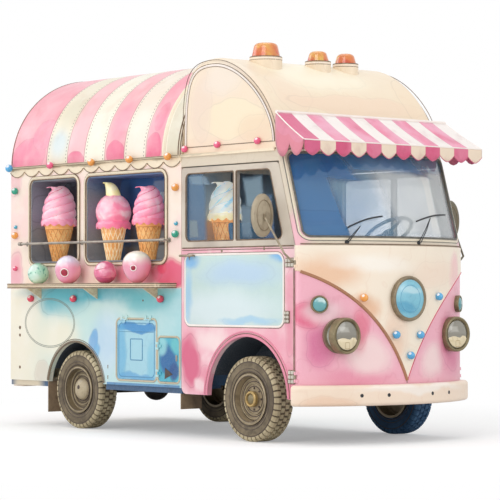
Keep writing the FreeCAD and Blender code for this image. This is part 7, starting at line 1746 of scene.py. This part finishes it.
AIM = at(0.19, 0, 1.502)  # what the camera looks at
AZIMUTH, ELEVATION, DISTANCE = math.radians(50), math.radians(-1.1), 18.59  # azimuth from -Y towards +X
FOCAL_LENGTH, SENSOR = 161.76, 36  # millimetres
LAMPS = (
    # name, place, target, watts, size
    ("key", at(6.5, -10.5, 9.0), at(0, 0, 1.2), 390, (7, 7)),
    ("low", at(0.0, -9.0, 2.2), at(-0.4, -0.8, 1.75), 120, (5, 3)),
    ("fill", at(12, 3.5, 4.5), at(0.5, 0, 1.3), 250, (7, 6)),
    ("rim", at(-9, -6, 6.5), at(-0.5, 0, 1.4), 170, (6, 6)),
    ("top", at(0, 0, 12), at(0, 0, 0), 235, (9, 9)),
)
DAYLIGHT = 0.62  # the white surroundings as they light the truck, against 1 as they are seen
PAPER = 0.80  # the floor's grey, with a little light of its own towards the camera
PAPER_GLOW = 0.30
PAPER_FADE = 2.6, 5.5  # distances from the middle where the floor turns into the white surroundings
scene = bpy.context.scene


def placed(name, data, place, target):
    """Puts a lamp or the camera in the scene, turned to a point."""
    obj = bpy.data.objects.new(name, data)
    scene.collection.objects.link(obj)
    obj.location = place
    obj.rotation_mode = "QUATERNION"
    obj.rotation_quaternion = (target - obj.location).to_track_quat("-Z", "Y")
    return obj


lens = bpy.data.cameras.new("camera")
lens.lens, lens.sensor_width = FOCAL_LENGTH, SENSOR
lens.clip_start, lens.clip_end = 0.5, 200
away = at(math.sin(AZIMUTH) * math.cos(ELEVATION), -math.cos(AZIMUTH) * math.cos(ELEVATION), math.sin(ELEVATION))
scene.camera = placed("camera", lens, AIM + away * DISTANCE, AIM)
for name, place, target, watts, size in LAMPS:
    data = bpy.data.lights.new(name, "AREA")
    data.shape, data.size, data.size_y, data.energy = "RECTANGLE", size[0], size[1], watts
    placed(name, data, place, target)

scene.world = bpy.data.worlds.new("studio")
sky = Nodes(scene.world)
rays = sky.new("ShaderNodeLightPath").outputs
seen = sky.math("MAXIMUM", rays["Is Camera Ray"], rays["Is Glossy Ray"])
seen = sky.math("MAXIMUM", seen, rays["Is Transmission Ray"])
sky.put(sky.nodes["Background"].inputs["Color"], (1, 1, 1, 1))
sky.put(sky.nodes["Background"].inputs["Strength"], sky.span(seen, 0, 1, DAYLIGHT, 1.0, False))

floor_paint = bpy.data.materials.new("floor_paper")
paper = Nodes(floor_paint)
paper.nodes.clear()
direct = paper.new("ShaderNodeLightPath").outputs["Is Camera Ray"]
diffuse = paper.new("ShaderNodeBsdfDiffuse", None, Color=(PAPER, PAPER, PAPER, 1))
glow = paper.new("ShaderNodeEmission", None, Strength=paper.math("MULTIPLY", direct, PAPER_GLOW))
both = paper.new("ShaderNodeAddShader", None, i0=diffuse.outputs[0], i1=glow.outputs[0])
reach = paper.vector("LENGTH", paper.new("ShaderNodeTexCoord").outputs["Object"])
share = paper.math("MULTIPLY", paper.span(reach, *PAPER_FADE), direct)
white = paper.new("ShaderNodeEmission")
blend = paper.new("ShaderNodeMixShader", None, i0=share, i1=both.outputs[0], i2=white.outputs[0])
paper.new("ShaderNodeOutputMaterial", None, Surface=blend.outputs[0])
mesh = bpy.data.meshes.new("floor")
mesh.from_pydata([at(-60, -60, 0), at(60, -60, 0), at(60, 60, 0), at(-60, 60, 0)], [], [[0, 1, 2, 3]])
mesh.materials.append(floor_paint)
floor = bpy.data.objects.new("floor", mesh)
scene.collection.objects.link(floor)

scene.view_settings.view_transform = "Standard"
